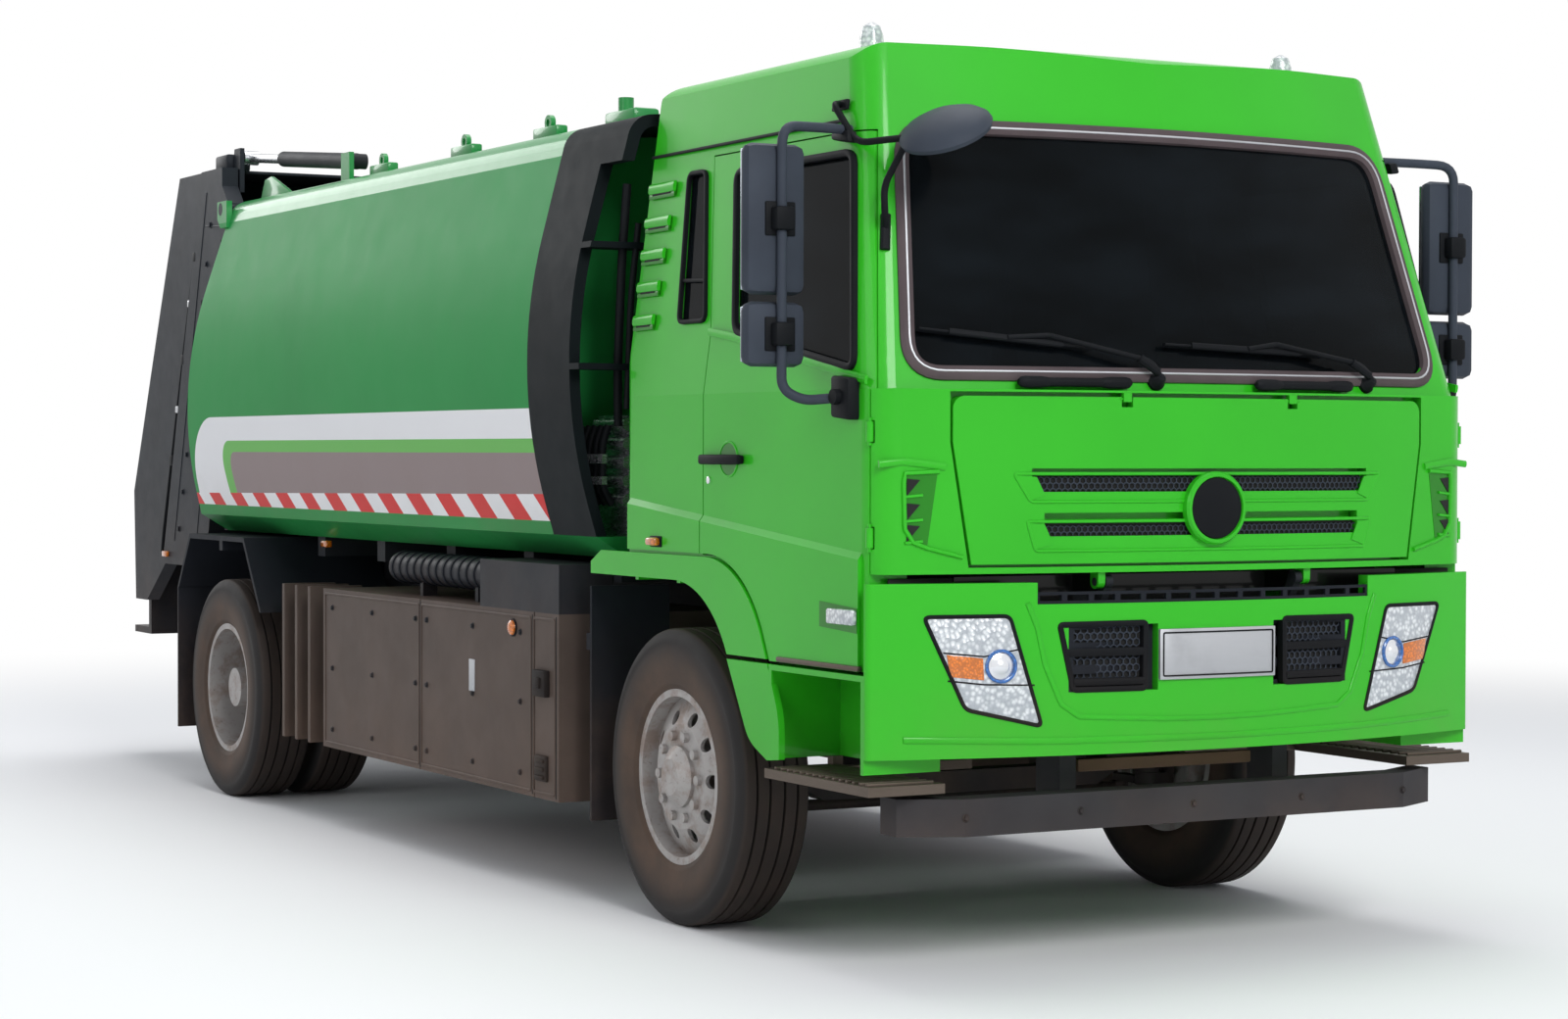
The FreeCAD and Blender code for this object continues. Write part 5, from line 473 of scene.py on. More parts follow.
CAD_FINISHES = {
    "cab_paint": ("cab_shell", "front_panel", "front_fenders", "door_left", "door_right", "step_wells"),
    "bumper_paint": ("front_bumper",),
    "banded_paint": ("body_side_left", "body_side_right"),
    "body_paint": ("body_roof", "body_floor", "body_bulkhead"),
    "cheek_paint": ("front_cheek",),
    "frame_paint": (
        "frame_rails", "front_axle", "front_springs", "rear_axle", "rear_springs", "traction_motor",
        "propeller_shaft", "subframe", "cab_mounts", "knuckle_left", "knuckle_right", "track_rod",
        "lift_barrels",
    ),
    "box_paint": ("battery_boxes", "side_racks"),
    "gate_paint": (
        "tailgate_frame", "tailgate_shell", "hopper_floor", "tailgate_sill", "carriage", "packer",
        "control_box",
    ),
    "moulded_plastic": ("rear_mudguards", "front_mudflaps", "bumper_vents", "dashboard", "grille_mesh"),
    "mirror_plastic": ("mirror_left", "mirror_right"),
    "bar_paint": ("underrun_bar",),
    "rim_paint": ("front_rim_left", "front_rim_right", "rear_rims_left", "rear_rims_right"),
    "dark_glass": ("cab_glass", "door_glass_left", "door_glass_right"),
    "lamp_glass": ("headlamps",),
    "red_lens": ("rear_lamps",),
    "step_metal": ("entry_steps",),
    "ram_steel": ("lift_rods", "valve_bank"),
    "seat_cloth": ("seats",),
    "tyre_rubber": ("front_tyre_left", "front_tyre_right", "rear_tyres_left", "rear_tyres_right"),
}


# Shapes, measured from the front axle's middle line on the ground


SINK = 0.004
PATCH_RUN = 0.06
RIM_ANGLE = 0.6
FORWARD, SIDEWAYS, UPWARD = (1, 0, 0), (0, -1, 0), (0, 0, 1)


def circle(mesh, centre, side, up, radius, steps):
    """Points of a mesh on a circle, from two directions across its axis."""
    ring = []
    for step in range(steps):
        angle = math.tau * step / steps
        ring.append(mesh.verts.new(centre + (side * math.cos(angle) + up * math.sin(angle)) * radius))
    return ring


def join_rings(mesh, rings, closed):
    """Faces from each ring of points to the next, and over both ends or back to the first ring."""
    pairs = list(zip(rings, rings[1:]))
    if closed:
        pairs.append((rings[-1], rings[0]))
    for near, far in pairs:
        for step in range(len(near)):
            following = (step + 1) % len(near)
            mesh.faces.new((near[step], near[following], far[following], far[step]))
    if not closed:
        mesh.faces.new(rings[0])
        mesh.faces.new(rings[-1])


def thicken(mesh, push):
    """Turn a sheet into a closed form by pushing a copy of its faces."""
    pushed = bmesh.ops.extrude_face_region(mesh, geom=mesh.faces[:])
    moved = [item for item in pushed["geom"] if isinstance(item, bmesh.types.BMVert)]
    bmesh.ops.translate(mesh, vec=push, verts=moved)
    bmesh.ops.recalc_face_normals(mesh, faces=mesh.faces)


def round_edges(mesh, edges, bevel):
    bmesh.ops.bevel(mesh, geom=edges, offset=bevel, segments=2, affect="EDGES", profile=0.5)


class Shape:
    """A mesh put together from simple forms, each with its own finish."""

    def __init__(self, finish):
        self.points = []
        self.faces = []
        self.finishes = [finish]
        self.numbers = []
        self.number = 0

    def use(self, finish):
        """Give the forms that follow another finish."""
        if finish not in self.finishes:
            self.finishes.append(finish)
        self.number = self.finishes.index(finish)

    def add(self, forms):
        """Add forms from a table of rows by form: a finish, and then what the form's method takes."""
        for form, rows in forms.items():
            for finish, *given in rows:
                self.use(finish)
                form(self, *given)

    def take(self, mesh):
        """Add a small mesh's points and faces, facing outwards, and free it."""
        bmesh.ops.recalc_face_normals(mesh, faces=mesh.faces)
        if mesh.calc_volume(signed=True) < 0:
            bmesh.ops.reverse_faces(mesh, faces=mesh.faces)
        mesh.verts.index_update()
        start = len(self.points)
        self.points.extend(vertex.co.copy() for vertex in mesh.verts)
        for face in mesh.faces:
            self.faces.append([start + vertex.index for vertex in face.verts])
            self.numbers.append(self.number)
        mesh.free()

    def block(self, low, high, bevel):
        """A box with rounded edges between two corners."""
        mesh = bmesh.new()
        low, high = Vector(low), Vector(high)
        size = high - low
        bmesh.ops.create_cube(mesh, size=1.0)
        for vertex in mesh.verts:
            vertex.co = Vector(a * b for a, b in zip(vertex.co, size))
        round_edges(mesh, mesh.edges[:], min(bevel, min(size) * 0.45))
        bmesh.ops.translate(mesh, vec=(low + high) / 2, verts=mesh.verts)
        self.take(mesh)

    def rod(self, start, end, radius, sides=20):
        mesh = bmesh.new()
        start, end = Vector(start), Vector(end)
        run = end - start
        bmesh.ops.create_cone(mesh, cap_ends=True, segments=sides, radius1=radius, radius2=radius,
                              depth=run.length)
        matrix = Matrix.Translation((start + end) / 2) @ run.to_track_quat("Z", "Y").to_matrix().to_4x4()
        bmesh.ops.transform(mesh, matrix=matrix, verts=mesh.verts)
        self.take(mesh)

    def tube(self, points, radius, bend, sides=12):
        """A round tube through points, with its corners rounded by bends."""
        path = rounded_path([Vector(point) for point in points], bend)
        mesh = bmesh.new()
        rings = []
        side = (path[1] - path[0]).orthogonal()
        for i, point in enumerate(path):
            ahead = path[min(i + 1, len(path) - 1)] - path[max(i - 1, 0)]
            ahead.normalize()
            side = (side - ahead * side.dot(ahead)).normalized()
            rings.append(circle(mesh, point, side, ahead.cross(side), radius, sides))
        join_rings(mesh, rings, closed=False)
        self.take(mesh)

    def plate(self, corners, push, bevel):
        """A flat outline of points in space, pushed along a vector."""
        mesh = bmesh.new()
        mesh.faces.new([mesh.verts.new(corner) for corner in corners])
        thicken(mesh, push)
        round_edges(mesh, mesh.edges[:], bevel)
        self.take(mesh)

    def turned(self, profile, centre, axis, steps, closed=False):
        """A profile of (along, radius) points turned about an axis through a point."""
        mesh = bmesh.new()
        axis = Vector(axis).normalized()
        side = axis.orthogonal().normalized()
        up = axis.cross(side)
        rings = [circle(mesh, Vector(centre) + axis * along, side, up, radius, steps)
                 for along, radius in profile]
        join_rings(mesh, rings, closed)
        self.take(mesh)

    def bead(self, skin, path, width, height, sink=SINK, out=0.0, closed=False):
        """A rounded strip that follows a path of (u, v) places on a skin."""
        mesh = bmesh.new()
        half = width / 2
        section = ((-half, -sink), (-half, height * 0.5), (-half * 0.62, height * 0.9), (0, height),
                   (half * 0.62, height * 0.9), (half, height * 0.5), (half, -sink))
        places = [skin.point(u, v, out) for u, v in path]
        rings = []
        for i, (u, v) in enumerate(path):
            ahead = places[(i + 1) % len(path)] if closed or i + 1 < len(path) else places[i]
            behind = places[i - 1] if closed or i > 0 else places[i]
            normal = skin.normal(u, v)
            side = (ahead - behind).normalized().cross(normal).normalized()
            rings.append([mesh.verts.new(places[i] + side * across + normal * up) for across, up in section])
        join_rings(mesh, rings, closed)
        self.take(mesh)

    def line(self, skin, points, longest, *form):
        """A bead through points, with its long runs split."""
        self.bead(skin, finely(points, longest), *form)

    def loop(self, skin, corners, bend, longest, width, height, sink=SINK, out=0.0, steps=5):
        """A closed bead around corners that are rounded by a bend."""
        path = finely(rounded_loop(corners, bend, steps), longest, closed=True)
        self.bead(skin, path, width, height, sink, out, closed=True)

    def patch(self, skin, corners, low, high, bevel=0.0):
        """A sheet that lies on a skin inside (u, v) corners, between two heights above it."""
        mesh = bmesh.new()
        mesh.faces.new([mesh.verts.new((u, v, low)) for u, v in corners])
        first, last = min(u for u, v in corners), max(u for u, v in corners)
        for step in range(1, int((last - first) / PATCH_RUN) + 1):
            bmesh.ops.bisect_plane(mesh, geom=mesh.verts[:] + mesh.edges[:] + mesh.faces[:],
                                   plane_co=(first + step * PATCH_RUN, 0, 0), plane_no=FORWARD)
        thicken(mesh, (0, 0, high - low))
        if bevel:
            middle = low + (high - low) / 2
            round_edges(mesh, [edge for edge in mesh.edges if edge.is_manifold
                               and edge.calc_face_angle() > RIM_ANGLE
                               and max(vertex.co.z for vertex in edge.verts) > middle], bevel)
        for vertex in mesh.verts:
            vertex.co = skin.point(*vertex.co)
        self.take(mesh)

    def on_both_sides(self):
        """Add the same forms on the other side of the truck."""
        count = len(self.points)
        self.points.extend([Vector((point.x, -point.y, point.z)) for point in self.points])
        self.faces.extend([[count + index for index in reversed(face)] for face in self.faces])
        self.numbers.extend(list(self.numbers))

    def on_the_other_side(self):
        """Move the forms to the other side of the truck."""
        self.points = [Vector((point.x, -point.y, point.z)) for point in self.points]
        self.faces = [list(reversed(face)) for face in self.faces]

    def piece(self, name, body, slot, sharp=32):
        mesh = bpy.data.meshes.new(name)
        mesh.from_pydata([at(*point) for point in self.points], [], self.faces)
        for finish in self.finishes:
            mesh.materials.append(finish_of(finish))
        mesh.polygons.foreach_set("material_index", self.numbers)
        mesh.shade_smooth()
        mesh.set_sharp_from_angle(angle=math.radians(sharp))
        mesh.update()
        return placed(bpy.data.objects.new(name, mesh), body)


def placed(thing, body):
    """Put a finished piece in the scene, on its body."""
    bpy.context.scene.collection.objects.link(thing)
    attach(thing, body)
    return thing


def corner_curve(before, corner, after, bend, steps):
    """Points of an even curve that takes the place of a corner between straight runs."""
    reach = min(bend, (before - corner).length * 0.48, (after - corner).length * 0.48)
    start = corner + (before - corner).normalized() * reach
    end = corner + (after - corner).normalized() * reach
    shares = [step / steps for step in range(steps + 1)]
    return [start.lerp(corner, share).lerp(corner.lerp(end, share), share) for share in shares]


def rounded_path(points, bend, steps=6):
    """The points joined by straight runs, with an even curve at each corner."""
    path = [points[0]]
    for corner in zip(points, points[1:], points[2:]):
        path.extend(corner_curve(*corner, bend, steps))
    return [*path, points[-1]]


def rounded_loop(points, bend, steps=5):
    """A closed outline of (u, v) corners with its corners rounded."""
    corners = [Vector(point) for point in points]
    path = []
    for i, corner in enumerate(corners):
        path.extend(corner_curve(corners[i - 1], corner, corners[(i + 1) % len(corners)], bend, steps))
    return [tuple(point) for point in path]


def finely(path, longest, closed=False):
    """The same path of (u, v) places with its long runs split."""
    ends = [*path[1:], path[0]] if closed else path[1:]
    split = []
    for (u, v), (next_u, next_v) in zip(path, ends):
        count = max(1, math.ceil(math.dist((u, v), (next_u, next_v)) / longest))
        shares = [step / count for step in range(count)]
        split.extend([(u + (next_u - u) * share, v + (next_v - v) * share) for share in shares])
    return split if closed else [*split, path[-1]]


class Skin:
    """A face of the truck, as a function from two measures along it to a place."""

    def __init__(self, place, outward):
        self.place = place
        self.outward = Vector(outward)

    def normal(self, u, v, step=0.002):
        across = self.place(u + step, v) - self.place(u - step, v)
        up = self.place(u, v + step) - self.place(u, v - step)
        normal = across.cross(up).normalized()
        return normal if normal.dot(self.outward) > 0 else -normal

    def point(self, u, v, out=0.0):
        return self.place(u, v) + self.normal(u, v) * out


# Faces of the truck that trim lies on


def bowed(crown, radius, slope):
    """How far in front of the axle a bowed front lies, by the distance from its middle."""
    bend = radius * slope / math.sqrt(1 + slope * slope)

    def reach(across):
        across = abs(across)
        curved = min(across, bend)
        return crown - radius + math.sqrt(radius * radius - curved * curved) - (across - curved) * slope

    return reach


CAB_HALF = 1.150
COWL = 1.800
SILL = 1.868
LEDGE = 0.034
FRONT_LEAN = 0.2802
SIDE_LEAN = 0.1347
cab_reach = bowed(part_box("front_panel")[1].x - AXLE_X, 4.694, 0.1843)
bumper_reach = bowed(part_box("front_bumper")[1].x - AXLE_X, 4.012, 0.2769)


def on_windshield(y, z):
    rise = z - COWL
    return Vector((cab_reach(abs(y) + SIDE_LEAN * rise) - LEDGE - FRONT_LEAN * rise, y, z))


def flat_side(y):
    """An upright face on the truck's right, at a distance from the middle."""
    return Skin(lambda x, z: Vector((x, -y, z)), SIDEWAYS)


HOOD = Skin(lambda y, z: Vector((cab_reach(y), y, z)), FORWARD)
BUMPER = Skin(lambda y, z: Vector((bumper_reach(y), y, z)), FORWARD)
WINDSHIELD = Skin(on_windshield, FORWARD)
CAB_SIDE = Skin(lambda x, z: Vector((x, -(CAB_HALF - SIDE_LEAN * max(0.0, z - SILL)), z)), SIDEWAYS)


# Tyres


TYRE_WALL = (
    # share of the half width, height over the bead
    (0.74, 0.002), (0.80, 0.012), (0.86, 0.024), (0.90, 0.030), (0.905, 0.036), (0.955, 0.066),
    (0.985, 0.090), (0.998, 0.118), (0.990, 0.148), (0.965, 0.172), (0.975, 0.176), (0.935, 0.192),
)
TYRE_SHOULDER = (
    # share of the half width, depth under the tread
    (0.870, 0.010), (0.815, 0.003), (0.78, 0.001),
)
GROOVES = (0.70, 0.25, -0.25, -0.70)
GROOVE_FLOOR = 0.55
TREAD_HALF = 0.78
TYRE_HEIGHT = 0.2205
TYRE_STEPS = 132
TYRE_SHARP = 40


def tyre_profile(half_width, radius):
    """The tyre's section from the left bead over the tread to the right one, as (across, radius)."""
    tyre = settings().tyre
    groove, depth = tyre.groove_width / 2, tyre.groove_depth
    wall = [(half_width * share, radius - TYRE_HEIGHT + height) for share, height in TYRE_WALL]
    wall.extend((half_width * share, radius - drop) for share, drop in TYRE_SHOULDER)
    ribs = []
    for share in GROOVES:
        middle = half_width * TREAD_HALF * share
        floor = groove * GROOVE_FLOOR
        ribs.extend([(middle + groove, radius), (middle + floor, radius - depth),
                     (middle - floor, radius - depth), (middle - groove, radius)])
    return [*wall, *ribs, *((-across, height) for across, height in reversed(wall))]


class TRUCK_OT_tyres(bpy.types.Operator):
    """Tyres with grooved treads and ringed side walls, in place of the plain ones"""

    bl_idname = "truck.tyres"
    bl_label = "Tyres"

    def execute(self, context):
        for side in ("left", "right"):
            low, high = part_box(f"front_tyre_{side}")
            half = (high.y - low.y) / 2
            profile = tyre_profile(half, (high.z - low.z) / 2)
            rear_low, rear_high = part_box(f"rear_tyres_{side}")
            for node, piece, body, x, middles in (
                (f"front_tyre_{side}", f"front_tyre_tread_{side}", f"wheel_front_{side}", AXLE_X,
                 [(low.y + high.y) / 2]),
                (f"rear_tyres_{side}", f"rear_tyre_treads_{side}", f"wheels_rear_{side}", REAR_AXLE_X,
                 [rear_low.y + half, rear_high.y - half]),
            ):
                shape = Shape("tyre_rubber")
                for middle in middles:
                    shape.turned(profile, (x - AXLE_X, middle, AXLE_Z), (0, 1, 0), TYRE_STEPS, closed=True)
                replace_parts(shape.piece(piece, body, "tyre", TYRE_SHARP), node)
        return {"FINISHED"}


# Repeats


class Repeats:
    """Copies of a small form at many places, spread by one node tree."""

    seed = 7

    def __init__(self, finish, sides, radius, rise, ring=False):
        self.finish = finish
        self.sides, self.radius, self.rise, self.ring = sides, radius, rise, ring
        self.places = []
        self.axes = []

    def put(self, place, axis):
        self.places.append(Vector(place))
        self.axes.append(Vector(axis).normalized())

    def on_both_sides(self):
        for place, axis in list(zip(self.places, self.axes)):
            self.put((place.x, -place.y, place.z), (axis.x, -axis.y, axis.z))

    def tree(self):
        """The node tree, with the form's measures as its named inputs."""
        tree = bpy.data.node_groups.new("repeats", "GeometryNodeTree")
        face = tree.interface
        face.new_socket("Geometry", in_out="INPUT", socket_type="NodeSocketGeometry")
        for name, kind in (("Sides", "Int"), ("Radius", "Float"), ("Rise", "Float"), ("Seed", "Int"),
                           ("Material", "Material")):
            face.new_socket(name, in_out="INPUT", socket_type=f"NodeSocket{kind}")
        face.new_socket("Geometry", in_out="OUTPUT", socket_type="NodeSocketGeometry")
        given = tree.nodes.new("NodeGroupInput").outputs
        radius, rise = given["Radius"], given["Rise"]

        def node(kind, inputs, choices=None, output=0):
            return add_node(tree, kind, choices, inputs).outputs[output]

        def scaled(socket, factor):
            return node("ShaderNodeMath", {0: socket, 1: factor}, {"operation": "MULTIPLY"})

        def cone(sides, low, high, depth):
            return node("GeometryNodeMeshCone", {
                "Vertices": sides, "Radius Top": high, "Radius Bottom": low, "Depth": depth,
            })

        def wire(sides, radius):
            return node("GeometryNodeCurvePrimitiveCircle", {"Resolution": sides, "Radius": radius})

        if self.ring:
            form = node("GeometryNodeCurveToMesh", {0: wire(given["Sides"], radius), 1: wire(4, rise)})
        else:
            washer = cone(20, scaled(radius, 1.45), scaled(radius, 1.3), scaled(rise, 0.25))
            head = cone(given["Sides"], radius, radius, rise)
            crown = cone(given["Sides"], radius, scaled(radius, 0.8), scaled(rise, 0.15))
            lift = node("ShaderNodeCombineXYZ", {2: rise})
            lifted = node("GeometryNodeTransform", {"Geometry": crown, "Translation": lift})
            joined = tree.nodes.new("GeometryNodeJoinGeometry")
            for part in (washer, head, lifted):
                tree.links.new(part, joined.inputs[0])
            form = joined.outputs[0]
        axis = node("GeometryNodeInputNamedAttribute", {"Name": "axis"}, {"data_type": "FLOAT_VECTOR"})
        facing = node("FunctionNodeAlignRotationToVector", {"Vector": axis}, {"axis": "Z"})
        if not self.ring:
            angle = node("FunctionNodeRandomValue", {"Max": math.tau, "Seed": given["Seed"]},
                         {"data_type": "FLOAT"}, 1)
            spin = node("FunctionNodeAxisAngleToRotation", {"Angle": angle})
            facing = node("FunctionNodeRotateRotation", {0: facing, 1: spin}, {"rotation_space": "LOCAL"})
        spread = node("GeometryNodeInstanceOnPoints", {
            "Points": given["Geometry"], "Instance": form, "Rotation": facing,
        })
        real = node("GeometryNodeRealizeInstances", {0: spread})
        painted = node("GeometryNodeSetMaterial", {"Geometry": real, "Material": given["Material"]})
        tree.links.new(painted, tree.nodes.new("NodeGroupOutput").inputs[0])
        return tree

    def mesh(self):
        """The copies as one mesh, worked out by the node tree."""
        points = bpy.data.meshes.new("spots")
        points.from_pydata([at(*place) for place in self.places], [], [])
        axes = points.attributes.new("axis", "FLOAT_VECTOR", "POINT")
        axes.data.foreach_set("vector", [part for axis in self.axes for part in axis])
        thing = bpy.data.objects.new("spots", points)
        bpy.context.scene.collection.objects.link(thing)
        spreading = thing.modifiers.new("repeats", "NODES")
        spreading.node_group = self.tree()
        measures = {"Sides": self.sides, "Radius": self.radius, "Rise": self.rise, "Seed": self.seed,
                    "Material": finish_of(self.finish)}
        for item in spreading.node_group.interface.items_tree:
            if item.name in measures:
                spreading[item.identifier] = measures[item.name]
        solved = thing.evaluated_get(bpy.context.evaluated_depsgraph_get())
        mesh = bpy.data.meshes.new_from_object(solved)
        thing.modifiers.remove(spreading)
        bpy.data.objects.remove(thing)
        return mesh

    def piece(self, name, body, slot):
        mesh = self.mesh()
        mesh.name = name
        return placed(bpy.data.objects.new(name, mesh), body)


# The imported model's own pieces


CAD_SHARP = 28


class TRUCK_OT_paint(bpy.types.Operator):
    """Paint, plastic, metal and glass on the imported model's own pieces"""

    bl_idname = "truck.paint"
    bl_label = "Paint"

    def execute(self, context):
        for finish, nodes in CAD_FINISHES.items():
            for node in nodes:
                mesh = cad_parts[node].data
                mesh.materials.clear()
                mesh.materials.append(finish_of(finish))
                mesh.shade_smooth()
                mesh.set_sharp_from_angle(angle=math.radians(CAD_SHARP))
        return {"FINISHED"}


# Cab trim


def windshield_corners(inset):
    """The windshield's outline as (y, z), moved in from its edge."""
    low, high, low_half, high_half = 1.868 + inset, 2.6 - inset, 1.002 - inset, 0.903 - inset
    return (-low_half, low), (-high_half, high), (high_half, high), (low_half, low)


SCOOP_EDGE = ((-0.95, 1.551), (-1.058, 1.545), (-1.062, 1.515), (-1.058, 1.377), (-1.032, 1.337),
              (-0.987, 1.32), (-0.875, 1.292))
SCOOP_FLOOR = ((-1.056, 1.539), (-0.955, 1.541), (-0.987, 1.322), (-1.032, 1.342), (-1.056, 1.382))
SCOOP_FINS = (1.529, 1.455, 1.39)
QUARTER = ((0.012, 2.046), (0.206, 2.046), (0.082, 2.556), (-0.046, 2.556))
ROOF_LAMP = (0.78, -0.82, 2.862)
CAB_SIDES = {
    Shape.line: (
        ("cab_paint", HOOD, SCOOP_EDGE, 0.02, 0.014, 0.011),
        ("cab_paint", HOOD, ((-1.14, 1.573), (-1.06, 1.581), (-0.93, 1.565)), 0.03, 0.022, 0.008),
        *(("cab_paint", HOOD, ((-1.058, top - 0.055), (-1.002, top - 0.05)), 0.02, 0.01, 0.008)
          for top in SCOOP_FINS),
        ("black_trim", CAB_SIDE, ((-0.02, 2.19), (0.165, 2.183)), 0.05, 0.012, 0.004, 0.01, -0.006),
        ("black_trim", CAB_SIDE, ((-0.34, 2.634), (0.98, 2.64)), 0.06, 0.01, 0.004),
    ),
    Shape.loop: (("black_trim", CAB_SIDE, QUARTER, 0.03, 0.05, 0.014, 0.004, 0.012),),
    Shape.patch: (
        # a darker green floor and near-black triangles under the fins: painted shade inside the scoop
        ("shade_green", HOOD, SCOOP_FLOOR, -0.002, 0.0015),
        *(("void_black", HOOD, ((-1.052, top), (-1.01, top - 0.004), (-1.052, top - 0.052)), 0.0, 0.004)
          for top in SCOOP_FINS),
    ),
    Shape.block: (
        ("black_trim", (-0.118, -1.168, 1.284), (-0.03, -1.16, 1.322), 0.004),
        ("amber_lens", (-0.11, -1.192, 1.289), (-0.038, -1.166, 1.317), 0.009),
    ),
    Shape.turned: (
        ("black_trim", ((0, 0.05), (0.034, 0.05), (0.04, 0.04)), ROOF_LAMP, UPWARD, 28),
        ("clear_lens", ((0.036, 0.041), (0.08, 0.038), (0.112, 0.028), (0.124, 0.008)), ROOF_LAMP,
         UPWARD, 28),
    ),
}
CAB_MIDDLE = {
    Shape.loop: (
        ("seal_rubber", WINDSHIELD, windshield_corners(-0.02), 0.11, 0.04, 0.046, 0.016, 0.02, 0, 8),
        ("plate_metal", WINDSHIELD, windshield_corners(-0.016), 0.11, 0.04, 0.007, 0.004, SINK, 0.014, 8),
    ),
    # a near-black sheet across the gap between the front panel and the bumper: painted shade
    Shape.block: (("void_black", (1, -1.06, 1.15), (1.008, 1.06, 1.276), 0.002),),
}
LOUVRES = ((-0.135, 2.52), (-0.145, 2.402), (-0.155, 2.29), (-0.165, 2.178), (-0.175, 2.062))
LOUVRE = {"rear": -0.325, "rise": 0.002, "run": 0.03}
# each louvre is a lip in cab paint with a darker green strip and a near-black strip below it: painted shadow
# under the lip
LOUVRE_BEADS = (
    # finish, drop, points left out at each end, width, height
    ("cab_paint", 0, 0, 0.036, 0.01), ("shade_green", 0.026, 0, 0.018, 0.003),
    ("void_black", 0.021, 1, 0.008, 0.005),
)
WIPERS = (
    # pivot, elbow, arm's end, blade's two ends, as (y, z) on the windshield
    ((-0.192, 1.83), (-0.221, 1.88), (-0.56, 1.958), (-0.973, 1.978), (-0.42, 1.925)),
    ((0.677, 1.832), (0.632, 1.884), (0.28, 1.945), (-0.146, 1.942), (0.48, 1.918)),
)
WIPER_CAP = ((0, 0.03), (0.022, 0.03), (0.03, 0.022), (0.05, 0.016), (0.056, 0.01))
WIPER_OUT = {"cap": -0.01, "pivot": 0.04, "elbow": 0.046, "end": 0.036, "clip": 0.03}
WIPER_ARM = {"radius": 0.0085, "bend": 0.05, "sides": 10}
WIPER_SLEEVE = {"radius": 0.014, "bend": 0.02, "sides": 10}
SLEEVE_START, SLEEVE_END = 0.35, 0.12
WIPER_BLADE = {"width": 0.012, "height": 0.02, "sink": 0, "out": 0.006}
WIPER_SPINE = {"width": 0.02, "height": 0.01, "sink": 0, "out": 0.022}
WIPER_RUN = 0.05
CLIP_RADIUS = 0.008
HANDLES = ((-0.667, -0.322), (0.201, 0.568))
HANDLE_PLACE = (1.824, -0.012)
HANDLE_END = ((-0.022, 0.009), (-0.014, 0.016), (0, 0.0185), (0.055, 0.018), (0.08, 0.015), (0.088, 0.009))
HANDLE_FOOT = Vector((-0.035, 0, -0.002))
HANDLE = {"radius": 0.0145, "foot_radius": 0.014, "foot_inset": 0.02, "steps": 24}


def louvre_forms(shape):
    for front, height in LOUVRES:
        path = finely([(LOUVRE["rear"], height), (front, height + LOUVRE["rise"])], LOUVRE["run"])
        for finish, drop, skipped, width, rise in LOUVRE_BEADS:
            shape.use(finish)
            spots = path[skipped:len(path) - skipped]
            shape.bead(CAB_SIDE, [(u, v - drop) for u, v in spots], width, rise)


def wiper_forms(shape):
    """Cap, sleeved arm and blade of each wiper at rest."""
    shape.use("black_trim")
    for pivot, elbow, end, tip, heel in WIPERS:
        middle = [(a + b) / 2 for a, b in zip(tip, heel)]
        spots = (pivot, pivot, elbow, end, middle)
        base, joint, knee, far, clip = (
            WINDSHIELD.point(*spot, out) for spot, out in zip(spots, WIPER_OUT.values()))
        blade = finely([tip, heel], WIPER_RUN)
        shape.turned(WIPER_CAP, base, WINDSHIELD.normal(*pivot), 28)
        shape.tube([joint, knee, far], **WIPER_ARM)
        shape.tube([joint.lerp(knee, SLEEVE_START), knee.lerp(far, SLEEVE_END)], **WIPER_SLEEVE)
        shape.bead(WINDSHIELD, blade, **WIPER_BLADE)
        shape.bead(WINDSHIELD, finely([blade[2], blade[-3]], WIPER_RUN), **WIPER_SPINE)
        shape.rod(far, clip, CLIP_RADIUS)


def handle_forms(shape):
    for ends in HANDLES:
        low, high = (HOOD.point(y, *HANDLE_PLACE) for y in ends)
        ahead = (high - low).normalized()
        for end, inward in ((low, ahead), (high, -ahead)):
            foot = end + inward * HANDLE["foot_inset"]
            shape.turned(HANDLE_END, end, inward, HANDLE["steps"])
            shape.rod(foot, foot + HANDLE_FOOT, HANDLE["foot_radius"])
        shape.rod(low, high, HANDLE["radius"])


